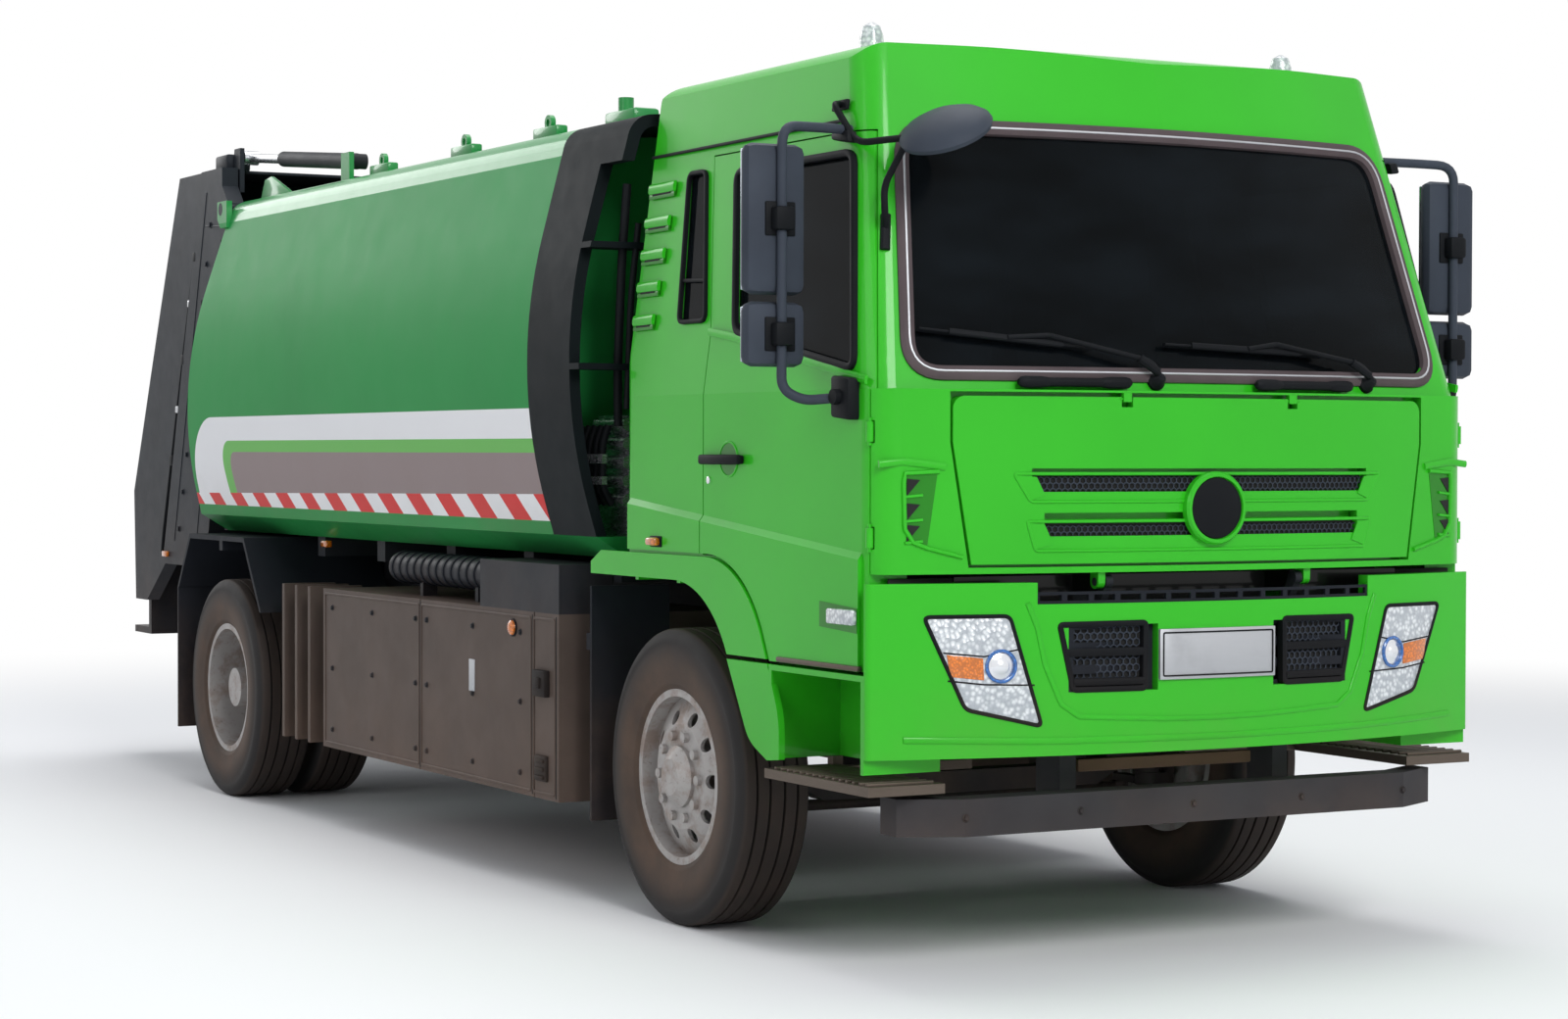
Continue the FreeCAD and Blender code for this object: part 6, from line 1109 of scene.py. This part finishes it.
MIRROR_HUB = Vector((1.33, -1.01, 2.56))
MIRROR_CENTRE = Vector((1.385, -0.915, 2.584))
MIRROR_AXIS = Vector((0.25, -0.45, 0.86)).normalized()
HIGH_FOOT = CAB_SIDE.point(0.975, 2.69)
LOW_FOOT = WINDSHIELD.point(-1.02, 2.29)
MIRROR_BACK = ((-0.022, 0.128), (-0.018, 0.14), (-0.004, 0.146), (0.01, 0.14), (0.028, 0.118), (0.044, 0.08),
               (0.054, 0.04), (0.057, 0.006))
MIRROR_FRONT = ((-0.026, 0.01), (-0.027, 0.06), (-0.0265, 0.11), (-0.024, 0.126), (-0.02, 0.13))
LOOK_DOWN_MIRROR = {
    Shape.tube: (
        ("black_trim", (HIGH_FOOT, HIGH_FOOT + Vector((0.03, -0.05, 0)), (1.1, -1.06, 2.56), MIRROR_HUB),
         0.011, 0.05),
        ("black_trim", (LOW_FOOT, LOW_FOOT + Vector((0.04, -0.03, 0.06)), (1.25, -1.05, 2.42), MIRROR_HUB),
         0.011, 0.05),
        ("black_trim", (MIRROR_HUB, MIRROR_CENTRE + MIRROR_AXIS * 0.03), 0.02, 0.03),
    ),
    Shape.patch: (
        ("black_trim", CAB_SIDE, ((0.93, 2.672), (1.02, 2.672), (1.02, 2.704), (0.93, 2.704)),
         0, 0.012, 0.003),
    ),
    Shape.line: (("black_trim", WINDSHIELD, ((-1.035, 2.225), (-1.015, 2.335)), 0.03, 0.03, 0.014),),
    Shape.turned: (
        ("mirror_plastic", MIRROR_BACK, MIRROR_CENTRE, MIRROR_AXIS, 48),
        ("mirror_glass", MIRROR_FRONT, MIRROR_CENTRE, MIRROR_AXIS, 48),
    ),
}


class TRUCK_OT_cab_trim(bpy.types.Operator):
    """Seal, wipers, handles, scoops, louvres, marker lamps and look-down mirror on the cab"""

    bl_idname = "truck.cab_trim"
    bl_label = "Cab trim"

    def execute(self, context):
        shape = Shape("cab_paint")
        shape.add(CAB_SIDES)
        louvre_forms(shape)
        shape.on_both_sides()
        shape.add(CAB_MIDDLE)
        wiper_forms(shape)
        handle_forms(shape)
        shape.add(LOOK_DOWN_MIRROR)
        shape.piece("cab_trim", "cab", "dark_plastic")
        return {"FINISHED"}


# Hood


GRILLES = (
    # outer top half width, outer bottom half width, inner top, inner bottom, low, high
    (0.708, 0.652, 0.634, 0.606, 1.462, 1.54),
    (0.664, 0.636, 0.606, 0.578, 1.312, 1.394),
)
BADGE_CENTRE = HOOD.point(0, 1.436, -0.004)
BADGE_RING = ((0, 0.115), (0.022, 0.115), (0.03, 0.109), (0.03, 0.099), (0.02, 0.096), (0.018, 0.01))
BADGE_DISC = ((0.018, 0.098), (0.026, 0.094), (0.031, 0.07), (0.033, 0.035), (0.0335, 0.006))
ROW_SHARE = 0.86
GRILLE_CELL = {"cell": 0.0205, "out": -0.012}
GRILLE_WIRE = {"sides": 6, "radius": 0.0112, "rise": 0.0022, "ring": True}


def trapezium(top, bottom, low, high):
    """Corners of an even outline from its half widths and heights."""
    return (-bottom, low), (-top, high), (top, high), (bottom, low)


def hood_forms():
    """The grilles' edges and cheeks, the near-black sheets behind them as painted shade, and the blank disc.
    """
    forms = {Shape.loop: [], Shape.patch: [], Shape.turned: [
        ("cab_paint", BADGE_RING, BADGE_CENTRE, FORWARD, 64),
        ("black_trim", BADGE_DISC, BADGE_CENTRE, FORWARD, 64),
    ]}
    for outer_top, outer_low, inner_top, inner_low, low, high in GRILLES:
        edge = trapezium(outer_top, outer_low, low - 0.004, high + 0.004)
        back = trapezium(inner_top, inner_low, low + 0.004, high - 0.002)
        forms[Shape.loop].append(("cab_paint", HOOD, edge, 0.012, 0.05, 0.01, 0.005))
        # a near-black sheet behind the grille mesh: painted shade
        forms[Shape.patch].append(("void_black", HOOD, back, -0.03, -0.018))
        for side in (-1, 1):
            cheek = [(side * outer_top, high), (side * outer_low, low), (side * inner_low, low + 0.018),
                     (side * inner_top, high - 0.006)]
            forms[Shape.patch].append(("cab_paint", HOOD, cheek, 0, 0.004))
    return forms


def honeycomb(repeats, skin, near, far, low, high, cell, out):
    """Rows of ring cells on a skin between two distances and two heights."""
    for row in range(int((high - low) / (cell * ROW_SHARE)) + 1):
        start = near + (row % 2) * cell / 2
        for column in range(int((far - start) / cell) + 1):
            spot = (start + column * cell, low + row * cell * ROW_SHARE)
            repeats.put(skin.point(*spot, out), skin.normal(*spot))


class TRUCK_OT_hood(bpy.types.Operator):
    """Grille surrounds, honeycomb mesh and blank disc on the front flap"""

    bl_idname = "truck.hood"
    bl_label = "Hood"

    def execute(self, context):
        shape = Shape("cab_paint")
        shape.add(hood_forms())
        shape.piece("hood_trim", "front_flap_panel", "dark_plastic")
        cells = Repeats("mirror_plastic", **GRILLE_WIRE)
        for _, _, top, _, low, high in GRILLES:
            honeycomb(cells, HOOD, -top - 0.01, top + 0.01, low + 0.008, high - 0.004, **GRILLE_CELL)
        thing = cells.piece("grille_honeycomb", "front_flap_panel", "dark_plastic")
        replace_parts(thing, "grille_mesh")
        return {"FINISHED"}


# Bumper and lamps


CONTOUR = ((-0.672, 1.15), (-0.64, 1.075), (-0.614, 0.96), (-0.56, 0.84), (-0.5, 0.8), (-0.2, 0.785),
           (0, 0.782))
LAMP = ((-1, 1.112), (-0.73, 1.112), (-0.625, 0.774), (-0.87, 0.83))
LAMP_INSIDE = rounded_loop([(u * 0.97 - 0.024, v * 0.97 + 0.029) for u, v in LAMP], 0.02)
AMBER = ((-0.93, 0.998), (-0.816, 0.985), (-0.812, 0.918), (-0.918, 0.93))
RING_CENTRE = BUMPER.point(-0.759, 0.96)
RING_AXIS = BUMPER.normal(-0.759, 0.96)
BLUE_RING = ((0, 0.052), (0.007, 0.052), (0.01, 0.049), (0.01, 0.044), (0.004, 0.041), (0, 0.041))
CHROME_CUP = ((0, 0.041), (0.004, 0.04), (0.008, 0.026), (0.01, 0.024), (0.016, 0.012), (0.0175, 0.003))
VENT = ((-0.566, 1.082), (-0.268, 1.084), (-0.27, 0.882), (-0.52, 0.882))
BUMPER_SIDES = {
    Shape.line: (
        ("cab_paint", BUMPER, CONTOUR, 0.04, 0.016, 0.006),
        ("cab_paint", BUMPER, ((-1.06, 0.742), (-0.6, 0.728), (0, 0.724)), 0.05, 0.02, 0.006),
        ("black_trim", BUMPER, ((-0.94, 1.003), (-0.812, 0.99), (-0.7, 1.01)), 0.03, 0.005, 0.004),
        ("black_trim", BUMPER, ((-0.925, 0.918), (-0.812, 0.905), (-0.65, 0.9)), 0.03, 0.005, 0.004),
        ("black_trim", BUMPER, ((-0.545, 0.996), (-0.27, 0.996)), 0.04, 0.024, 0.004, 0.02),
        ("black_trim", BUMPER, ((-0.52, 0.905), (-0.275, 0.905)), 0.04, 0.022, 0.008, 0.02),
    ),
    Shape.loop: (
        ("black_trim", BUMPER, LAMP, 0.02, 0.03, 0.012, 0.006, 0.012),
        ("black_trim", BUMPER, VENT, 0.012, 0.04, 0.018, 0.006, 0.02),
    ),
    Shape.patch: (
        ("clear_lens", BUMPER, LAMP_INSIDE, -0.01, 0.002, 0.003),
        ("amber_lens", BUMPER, AMBER, 0.001, 0.005, 0.002),
        # a near-black sheet behind the vent mesh: painted shade
        ("void_black", BUMPER, VENT, -0.032, -0.02),
    ),
    Shape.turned: (
        ("blue_ring", BLUE_RING, RING_CENTRE, RING_AXIS, 48, True),
        ("chrome", CHROME_CUP, RING_CENTRE, RING_AXIS, 40),
    ),
}
PLATE = (0.222, 0.222, 0.905, 1.063)
PLATE_INSIDE = (0.21, 0.21, 0.917, 1.051)
PLATE_FORMS = {
    Shape.patch: (("plate_metal", BUMPER, trapezium(*PLATE), 0, 0.012, 0.003),),
    Shape.loop: (("black_trim", BUMPER, trapezium(*PLATE_INSIDE), 0.006, 0.05, 0.005, 0.003, 0.001, 0.012),),
}
VENT_CELLS = ((-0.535, -0.29, 0.925, 1.065), (0.29, 0.535, 0.925, 1.065))
VENT_CELL = {"cell": 0.023, "out": -0.014}
VENT_WIRE = {"sides": 6, "radius": 0.0125, "rise": 0.0024, "ring": True}


class TRUCK_OT_bumper(bpy.types.Operator):
    """Lamp lenses, vent frames and mesh, blank plate and contour lines on the bumper"""

    bl_idname = "truck.bumper"
    bl_label = "Bumper"

    def execute(self, context):
        shape = Shape("cab_paint")
        shape.add(BUMPER_SIDES)
        shape.on_both_sides()
        shape.add(PLATE_FORMS)
        shape.piece("bumper_trim", "chassis", "dark_plastic")
        cells = Repeats("mirror_plastic", **VENT_WIRE)
        for area in VENT_CELLS:
            honeycomb(cells, BUMPER, *area, **VENT_CELL)
        cells.piece("vent_honeycomb", "chassis", "dark_plastic")
        return {"FINISHED"}


# Doors


DOOR_WINDOW = ((1.238, 1.862), (1.075, 2.536), (0.306, 2.536), (0.43, 2))
DOOR_CREASE = ((0.252, 2.006), (0.42, 1.985), (1.25, 1.838), (1.318, 1.826))
LAMP_BASE = ((1.06, 1.072), (1.29, 1.06), (1.29, 1.136), (1.06, 1.15))
CUP_TURNS = [math.tau * step / 24 for step in range(24)]
CUP = [(0.43 + 0.062 * math.cos(turn), 1.585 + 0.056 * math.sin(turn)) for turn in CUP_TURNS]
DOOR_TRIM = {
    Shape.bead: (("cab_paint", CAB_SIDE, [*CUP, CUP[0]], 0.008, 0.004),),
    Shape.line: (("cab_paint", CAB_SIDE, DOOR_CREASE, 0.05, 0.026, 0.007),),
    Shape.loop: (("black_trim", CAB_SIDE, DOOR_WINDOW, 0.045, 0.05, 0.022, 0.007, 0.012),),
    Shape.patch: (
        # darker green in the handle cup and around the door lamp: painted shade
        ("shade_green", CAB_SIDE, CUP, -0.002, 0.0015),
        ("shade_green", flat_side(1.164), LAMP_BASE, 0, 0.002),
    ),
    Shape.block: (
        # the handle and its two feet, the lamp and the sill
        ("black_trim", (0.264, -1.182, 1.567), (0.545, -1.16, 1.6), 0.009),
        ("black_trim", (0.275, -1.165, 1.57), (0.315, -1.15, 1.597), 0.004),
        ("black_trim", (0.5, -1.165, 1.57), (0.535, -1.15, 1.597), 0.004),
        ("clear_lens", (1.128, -1.184, 1.084), (1.29, -1.164, 1.132), 0.008),
        ("step_metal", (0.79, -1.172, 0.946), (1.3, -1.152, 0.962), 0.004),
    ),
    Shape.turned: (
        ("chrome", ((0, 0.012), (0.005, 0.012), (0.007, 0.008), (0.0075, 0.002)), (0.29, -1.15, 1.515),
         SIDEWAYS, 24),
    ),
}
HOUSINGS = ((2.088, 2.318, 2.548), (1.868, 1.967, 2.066))
POLE_TOP = CAB_SIDE.point(1.045, 2.606)
POLE_FOOT = CAB_SIDE.point(1.215, 1.776)
TOP_BRACKET = ((0.985, 2.575), (1.095, 2.56), (1.085, 2.598), (0.985, 2.598))
FOOT_BRACKET = ((1.165, 1.715), (1.275, 1.705), (1.275, 1.832), (1.165, 1.842))
MIRROR_SET = {
    Shape.block: [row for low, middle, high in HOUSINGS for row in (
        ("mirror_plastic", (1.022, -1.434, low), (1.088, -1.226, high), 0.03),
        ("mirror_glass", (1.014, -1.42, low + 0.014), (1.026, -1.24, high - 0.014), 0.004),
        ("black_trim", (1.078, -1.356, middle - 0.036), (1.132, -1.288, middle + 0.036), 0.01),
        ("black_trim", (1.082, -1.374, middle - 0.052), (1.094, -1.27, middle + 0.052), 0.004),
    )],
    Shape.tube: (
        ("mirror_plastic", (POLE_TOP, (1.06, -1.2, 2.606), (1.1, -1.322, 2.6), (1.1, -1.322, 1.8),
                            (1.12, -1.26, 1.765), POLE_FOOT), 0.0155, 0.06, 16),
    ),
    Shape.patch: (
        ("black_trim", CAB_SIDE, TOP_BRACKET, 0, 0.034, 0.008),
        ("black_trim", CAB_SIDE, FOOT_BRACKET, 0, 0.04, 0.01),
    ),
    Shape.rod: (
        ("black_trim", POLE_FOOT - Vector((0, 0.02, 0)), POLE_FOOT - Vector((0, 0.06, 0)), 0.024),
    ),
}


class TRUCK_OT_doors(bpy.types.Operator):
    """Window seals, handles, lamps, sills and mirrors of both doors"""

    bl_idname = "truck.doors"
    bl_label = "Doors"

    def execute(self, context):
        for side in ("right", "left"):
            trim, mirror = Shape("cab_paint"), Shape("mirror_plastic")
            trim.add(DOOR_TRIM)
            mirror.add(MIRROR_SET)
            if side == "left":
                trim.on_the_other_side()
                mirror.on_the_other_side()
            trim.piece(f"door_trim_{side}", f"door_{side}", "dark_plastic")
            thing = mirror.piece(f"mirror_set_{side}", f"door_{side}", "dark_plastic")
            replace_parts(thing, f"mirror_{side}")
        return {"FINISHED"}


# Load body, boxes and chassis


BOX_SIDE = flat_side(1.2)
BOX_SEAMS = (-3.205, -2.115, -1.022, -0.812)
BOX_DOORS = [(rear + 0.012, front - 0.012) for rear, front in zip(BOX_SEAMS, BOX_SEAMS[1:])]
BOX_LAMP = (-1.196, -1.198, 0.953)
ROOF_EYES = (-3.15, -2.24, -1.42)
ROOF_EYE = ((-0.01, 0.03), (0.01, 0.03), (0.01, 0.014), (-0.01, 0.014))
GUSSET = ((-4.64, -1.01, 2.7), (-4.52, -1.01, 2.88), (-4.43, -1.01, 2.89), (-4.11, -1.01, 2.78),
          (-4.11, -1.01, 2.7))
BODY_SIDES = {
    Shape.loop: [
        ("box_paint", BOX_SIDE, ((rear, 0.362), (front, 0.362), (front, 0.998), (rear, 0.998)),
         0.012, 0.2, 0.01, 0.004) for rear, front in BOX_DOORS
    ],
    # near-black lines in the seams between the box doors: painted shade of the gaps
    Shape.bead: [("void_black", BOX_SIDE, ((x, 0.35), (x, 1.01)), 0.006, 0.0015) for x in BOX_SEAMS[1:]],
    Shape.block: (
        # socket and its cover, vent frame and slats, and blank plate on the boxes
        ("black_trim", (-0.985, -1.222, 0.715), (-0.87, -1.196, 0.812), 0.006),
        ("black_trim", (-0.95, -1.23, 0.745), (-0.905, -1.218, 0.785), 0.004),
        ("black_trim", (-0.985, -1.212, 0.405), (-0.88, -1.196, 0.5), 0.006),
        *(("black_trim", (-0.97, -1.218, z - 0.006), (-0.895, -1.208, z + 0.006), 0.002)
          for z in (0.42, 0.45, 0.48)),
        ("plate_metal", (-1.612, -1.2035, 0.69), (-1.56, -1.198, 0.812), 0.001),
        # feet of the roof's eyes, other fittings and rails of the roof
        *(("body_paint", (x - 0.11, -0.975, 2.8), (x + 0.11, -0.925, 2.846), 0.008) for x in ROOF_EYES),
        ("body_paint", (-1.26, -0.8, 2.826), (-1, -0.69, 2.892), 0.014),
        ("cheek_paint", (-4.05, -0.64, 2.836), (-3.56, -0.56, 2.88), 0.01),
        ("cheek_paint", (-1.92, -0.64, 2.836), (-1.52, -0.56, 2.88), 0.01),
        # raised bars across the cab's lower step
        *(("step_metal", (0.76 + number * 0.041, -1.16, 0.6), (0.772 + number * 0.041, -0.925, 0.611), 0.003)
          for number in range(15)),
        # a near-black sheet behind the end of the bumper: painted shade
        ("void_black", (1.342, -1.09, 1.1), (1.35, -0.862, 1.226), 0.002),
    ),
    Shape.turned: (
        ("black_trim", ((0, 0.034), (0.006, 0.034), (0.008, 0.028)), BOX_LAMP, SIDEWAYS, 28),
        ("amber_lens", ((0.004, 0.029), (0.014, 0.027), (0.02, 0.018), (0.023, 0.004)), BOX_LAMP,
         SIDEWAYS, 28),
        *(("body_paint", ROOF_EYE, (x, -0.95, 2.862), (0, 1, 0), 24, True) for x in ROOF_EYES),
    ),
    Shape.plate: (("body_paint", GUSSET, (0, 0.016, 0), 0.003),),
    Shape.rod: (("body_paint", (-1.18, -0.745, 2.88), (-1.18, -0.745, 2.945), 0.03),),
}
TANK_RIB = ((-0.01, 0.061), (-0.007, 0.067), (0.007, 0.067), (0.01, 0.061))
PIPES = [-0.64 - number * 0.052 for number in range(5)]
HIGH_PIPES = (
    # points and radius
    (((-0.56, -1.04, 2.56), (-0.56, -1.06, 2.3), (-0.575, -1.07, 1.9), (-0.59, -1.06, 1.7)), 0.016),
    (((-0.53, -1.01, 2.42), (-0.53, -1.04, 2.15), (-0.54, -1.05, 1.76)), 0.012),
)
RIGHT_SIDE = {
    Shape.turned: [
        ("moulded_plastic", TANK_RIB, (-2.61 + number * 0.078, -1.062, 1.13), FORWARD, 36)
        for number in range(14)
    ],
    Shape.tube: (
        *(("black_trim", ((x, -1.075, 1.7), (x, -1.098, 1.64), (x, -1.098, 1.48), (x, -1.06, 1.42)),
           0.014, 0.04) for x in PIPES),
        *(("black_trim", points, radius, 0.08) for points, radius in HIGH_PIPES),
    ),
    Shape.rod: [
        ("ram_steel", (x, -1.098, high), (x, -1.098, low), 0.019, 6)
        for x in PIPES for high, low in ((1.6, 1.566), (1.52, 1.49))
    ],
    Shape.block: (
        # the towing bar and a side lamp
        ("bare_rust", (1.225, -0.34, 0.6), (1.262, 0.34, 0.64), 0.006),
        ("amber_lens", (-3.72, -1.03, 1.18), (-3.65, -1, 1.21), 0.006),
    ),
}
CHASSIS_BOLT = {"sides": 6, "radius": 0.009, "rise": 0.008}
BOX_BOLTS = (-3.105, -2.64, -2.163, -2.044, -1.58, -1.13)
CHASSIS_BOLTS = (
    # place and axis
    *(((-5.33 + number * 0.198, -0.43, z), SIDEWAYS) for number in range(33) for z in (0.79, 0.915)),
    *(((x, -1.2, z), SIDEWAYS) for x in BOX_BOLTS for z in (0.42, 0.682, 0.94)),
    ((1.41, -0.85, 0.498), FORWARD), ((1.41, -0.43, 0.498), FORWARD),
)
MIDDLE_BOLT = ((1.41, 0, 0.498), FORWARD)


class TRUCK_OT_chassis_trim(bpy.types.Operator):
    """Box doors, latches, lamps, ribs, pipes, step bars and roof fittings carried by the chassis"""

    bl_idname = "truck.chassis_trim"
    bl_label = "Chassis trim"

    def execute(self, context):
        shape = Shape("box_paint")
        shape.add(BODY_SIDES)
        shape.on_both_sides()
        shape.add(RIGHT_SIDE)
        shape.piece("chassis_trim", "chassis", "dark_plastic")
        bolts = Repeats("frame_paint", **CHASSIS_BOLT)
        for place, axis in CHASSIS_BOLTS:
            bolts.put(place, axis)
        bolts.on_both_sides()
        bolts.put(*MIDDLE_BOLT)
        bolts.piece("chassis_bolts", "chassis", "dark_plastic")
        return {"FINISHED"}


# Tailgate


GATE_SIDE = flat_side(1.095)
CLAMPS = ((-5.33, 2.56), (-5.52, 2.06), (-5.71, 1.56))
COUPLINGS = ((-5.42, 2.335), (-5.615, 1.815))
GATE_FORMS = {
    Shape.line: (
        ("gate_paint", GATE_SIDE, ((-4.7, 2.67), (-5.14, 2.7)), 0.1, 0.008, 0.003),
        ("gate_paint", GATE_SIDE, ((-4.9, 2.62), (-5.3, 1.12)), 0.2, 0.01, 0.003),
        ("gate_paint", GATE_SIDE, ((-5.12, 2.86), (-5.64, 1.16)), 0.2, 0.01, 0.003),
    ),
    Shape.tube: [
        ("black_trim", ((-5.215, y, 2.93), (-5.262, y, 2.76), (-5.56, y, 1.96), (-5.85, y, 1.18),
                        (-5.87, y, 1.1)), 0.01, 0.1) for y in (-1.084, -1.061, -1.038)
    ],
    Shape.block: (
        ("gate_paint", (-5.16, -1.04, 2.96), (-4.98, -0.92, 3.04), 0.012),
        *(("black_trim", (x - 0.018, -1.096, z - 0.026), (x + 0.034, -1.026, z + 0.026), 0.006)
          for x, z in CLAMPS),
        *(("ram_steel", (x - 0.014, -1.095, z - 0.018), (x + 0.026, -1.027, z + 0.018), 0.006)
          for x, z in COUPLINGS),
        ("amber_lens", (-5.8, -1.112, 1.075), (-5.73, -1.092, 1.105), 0.006),
    ),
}
GATE_BOLT = {"sides": 6, "radius": 0.012, "rise": 0.009}
GATE_BOLTS = 9
FIRST_BOLT = Vector((-5.06, -1.095, 2.7))
LAST_BOLT = Vector((-5.56, -1.095, 1.22))


class TRUCK_OT_tailgate_trim(bpy.types.Operator):
    """Seams, pipes, clamps and bolts on the tailgate"""

    bl_idname = "truck.tailgate_trim"
    bl_label = "Tailgate trim"

    def execute(self, context):
        shape = Shape("gate_paint")
        shape.add(GATE_FORMS)
        shape.on_both_sides()
        shape.piece("tailgate_trim", "tailgate", "dark_plastic")
        bolts = Repeats("gate_paint", **GATE_BOLT)
        for number in range(GATE_BOLTS):
            bolts.put(FIRST_BOLT.lerp(LAST_BOLT, number / (GATE_BOLTS - 1)), SIDEWAYS)
        bolts.on_both_sides()
        bolts.piece("tailgate_bolts", "tailgate", "dark_plastic")
        return {"FINISHED"}


# Stage


CAMERA_PLACE = (9.2818, -5.8035, 1.6065)
CAMERA_TURN = {"yaw": 151.2365, "pitch": -1.0635, "roll": 0.1264}
FAR_CLIP = 200
FLOOR = {"size": 160, "middle": 2.2, "fade_from": 6.0, "fade_to": 13.0}
SKY = {"colour": (206, 212, 220), "strength": 0.5}
LAMPS = (
    # name, place, aim, size, power
    ("front_lamp", (15, -2, 10), (0, 0, 1.2), 7, 1700), ("side_lamp", (3, -14, 7), (-2, 0, 1.2), 8, 300),
    ("top_lamp", (-3, 1, 12), (-3, 0, 1), 9, 760), ("rear_lamp", (-16, -4, 7), (-4, 0, 1.5), 6, 350),
)


def camera_turn():
    yaw, pitch, roll = (math.radians(turn) for turn in CAMERA_TURN.values())
    ahead = Vector((math.cos(pitch) * math.cos(yaw), math.cos(pitch) * math.sin(yaw), math.sin(pitch)))
    level = ahead.cross(Vector((0, 0, 1))).normalized()
    upright = level.cross(ahead)
    right = level * math.cos(roll) + upright * math.sin(roll)
    up = upright * math.cos(roll) - level * math.sin(roll)
    return Matrix((right, up, -ahead)).transposed()


def soft_lamp(name, place, aim, size, power):
    lamp = bpy.data.lights.new(name, "AREA")
    lamp.shape = "DISK"
    lamp.size = size
    lamp.energy = power
    thing = bpy.data.objects.new(name, lamp)
    bpy.context.scene.collection.objects.link(thing)
    thing.location = place
    thing.rotation_mode = "QUATERNION"
    thing.rotation_quaternion = (aim - place).to_track_quat("-Z", "Y")


class TRUCK_OT_stage(bpy.types.Operator):
    """Camera at the photograph's place, pale floor and plain soft light"""

    bl_idname = "truck.stage"
    bl_label = "Stage"

    def execute(self, context):
        scene = context.scene
        camera = bpy.data.cameras.new("camera")
        camera.sensor_width = SENSOR
        camera.lens = PHOTO_FOCUS / PHOTO_WIDTH * SENSOR
        camera.clip_end = FAR_CLIP
        eye = bpy.data.objects.new("camera", camera)
        scene.collection.objects.link(eye)
        eye.matrix_world = Matrix.Translation(at(*CAMERA_PLACE)) @ camera_turn().to_4x4()
        scene.camera = eye
        bpy.ops.mesh.primitive_plane_add(size=FLOOR["size"])
        floor = context.active_object
        floor.name = "floor"
        floor.data.materials.append(floor_finish())
        world = bpy.data.worlds.new("world")
        scene.world = world
        world.use_nodes = True
        pale_world(world.node_tree)
        for name, place, aim, size, power in LAMPS:
            soft_lamp(name, at(*place), at(*aim), size, power)
        scene.view_settings.view_transform = "Standard"
        return {"FINISHED"}


def seen_white(tree):
    """1 where the camera, a mirror or glass sees a place directly."""
    path = tree.nodes.new("ShaderNodeLightPath").outputs
    total = path["Is Camera Ray"]
    for name in ("Is Glossy Ray", "Is Transmission Ray"):
        highest = add_node(tree, "ShaderNodeMath", {"operation": "MAXIMUM"}, {0: total, 1: path[name]})
        total = highest.outputs[0]
    return total


def pale_world(tree):
    """A soft grey sky that lights the truck, seen as white."""
    sky = tree.nodes["Background"]
    feed(tree, sky.inputs["Color"], linear(*SKY["colour"]))
    feed(tree, sky.inputs["Strength"], SKY["strength"])
    white = add_node(tree, "ShaderNodeBackground", inputs={"Color": (1, 1, 1)})
    mix = add_node(tree, "ShaderNodeMixShader", inputs={
        0: seen_white(tree), 1: sky.outputs[0], 2: white.outputs[0],
    })
    feed(tree, tree.nodes["World Output"].inputs["Surface"], mix.outputs[0])


def floor_finish():
    """A pale floor that keeps the truck's shadow and fades to white far away."""
    finish = Finish("floor")
    tree = finish.tree
    finish.surface(base_color=tuple(settings().paint.floor_white), roughness=0.9)
    x, y, _ = finish.axes()
    along = x + FLOOR["middle"]
    away = (along * along + y * y).power(0.5).eased(FLOOR["fade_from"], FLOOR["fade_to"])
    glow = finish.node("ShaderNodeEmission", inputs={"Color": (1, 1, 1), "Strength": 1.0})
    mix = finish.node("ShaderNodeMixShader", inputs={
        0: Value(finish, seen_white(tree)) * away, 1: finish.shader.outputs[0], 2: glow.outputs[0],
    })
    feed(tree, tree.nodes["Material Output"].inputs["Surface"], mix.outputs[0])
    return finish.material


# The list of operators


OPERATORS = (
    TRUCK_OT_stage, TRUCK_OT_paint, TRUCK_OT_tyres, TRUCK_OT_cab_trim, TRUCK_OT_hood, TRUCK_OT_bumper,
    TRUCK_OT_doors, TRUCK_OT_chassis_trim, TRUCK_OT_tailgate_trim,
)


class TRUCK_PT_finish(bpy.types.Panel):
    """The steps of the truck's finish"""

    bl_label = "Refuse truck"
    bl_idname = "TRUCK_PT_finish"
    bl_space_type = "VIEW_3D"
    bl_region_type = "UI"
    bl_category = "Refuse truck"

    def draw(self, context):
        for operator in OPERATORS:
            self.layout.operator(operator.bl_idname)
        for group in (context.scene.refuse_truck.paint, context.scene.refuse_truck.tyre):
            for name in group.bl_rna.properties.keys():
                if name not in ("rna_type", "name"):
                    self.layout.prop(group, name)


CLASSES = (PaintSettings, TyreSettings, TruckSettings, *OPERATORS, TRUCK_PT_finish)


def register():
    for part in CLASSES:
        bpy.utils.register_class(part)
    bpy.types.Scene.refuse_truck = PointerProperty(type=TruckSettings)


def unregister():
    del bpy.types.Scene.refuse_truck
    for part in reversed(CLASSES):
        bpy.utils.unregister_class(part)


def main():
    register()
    for operator in OPERATORS:
        getattr(bpy.ops.truck, operator.bl_idname.split(".")[1])()


if __name__ == "__main__":
    main()
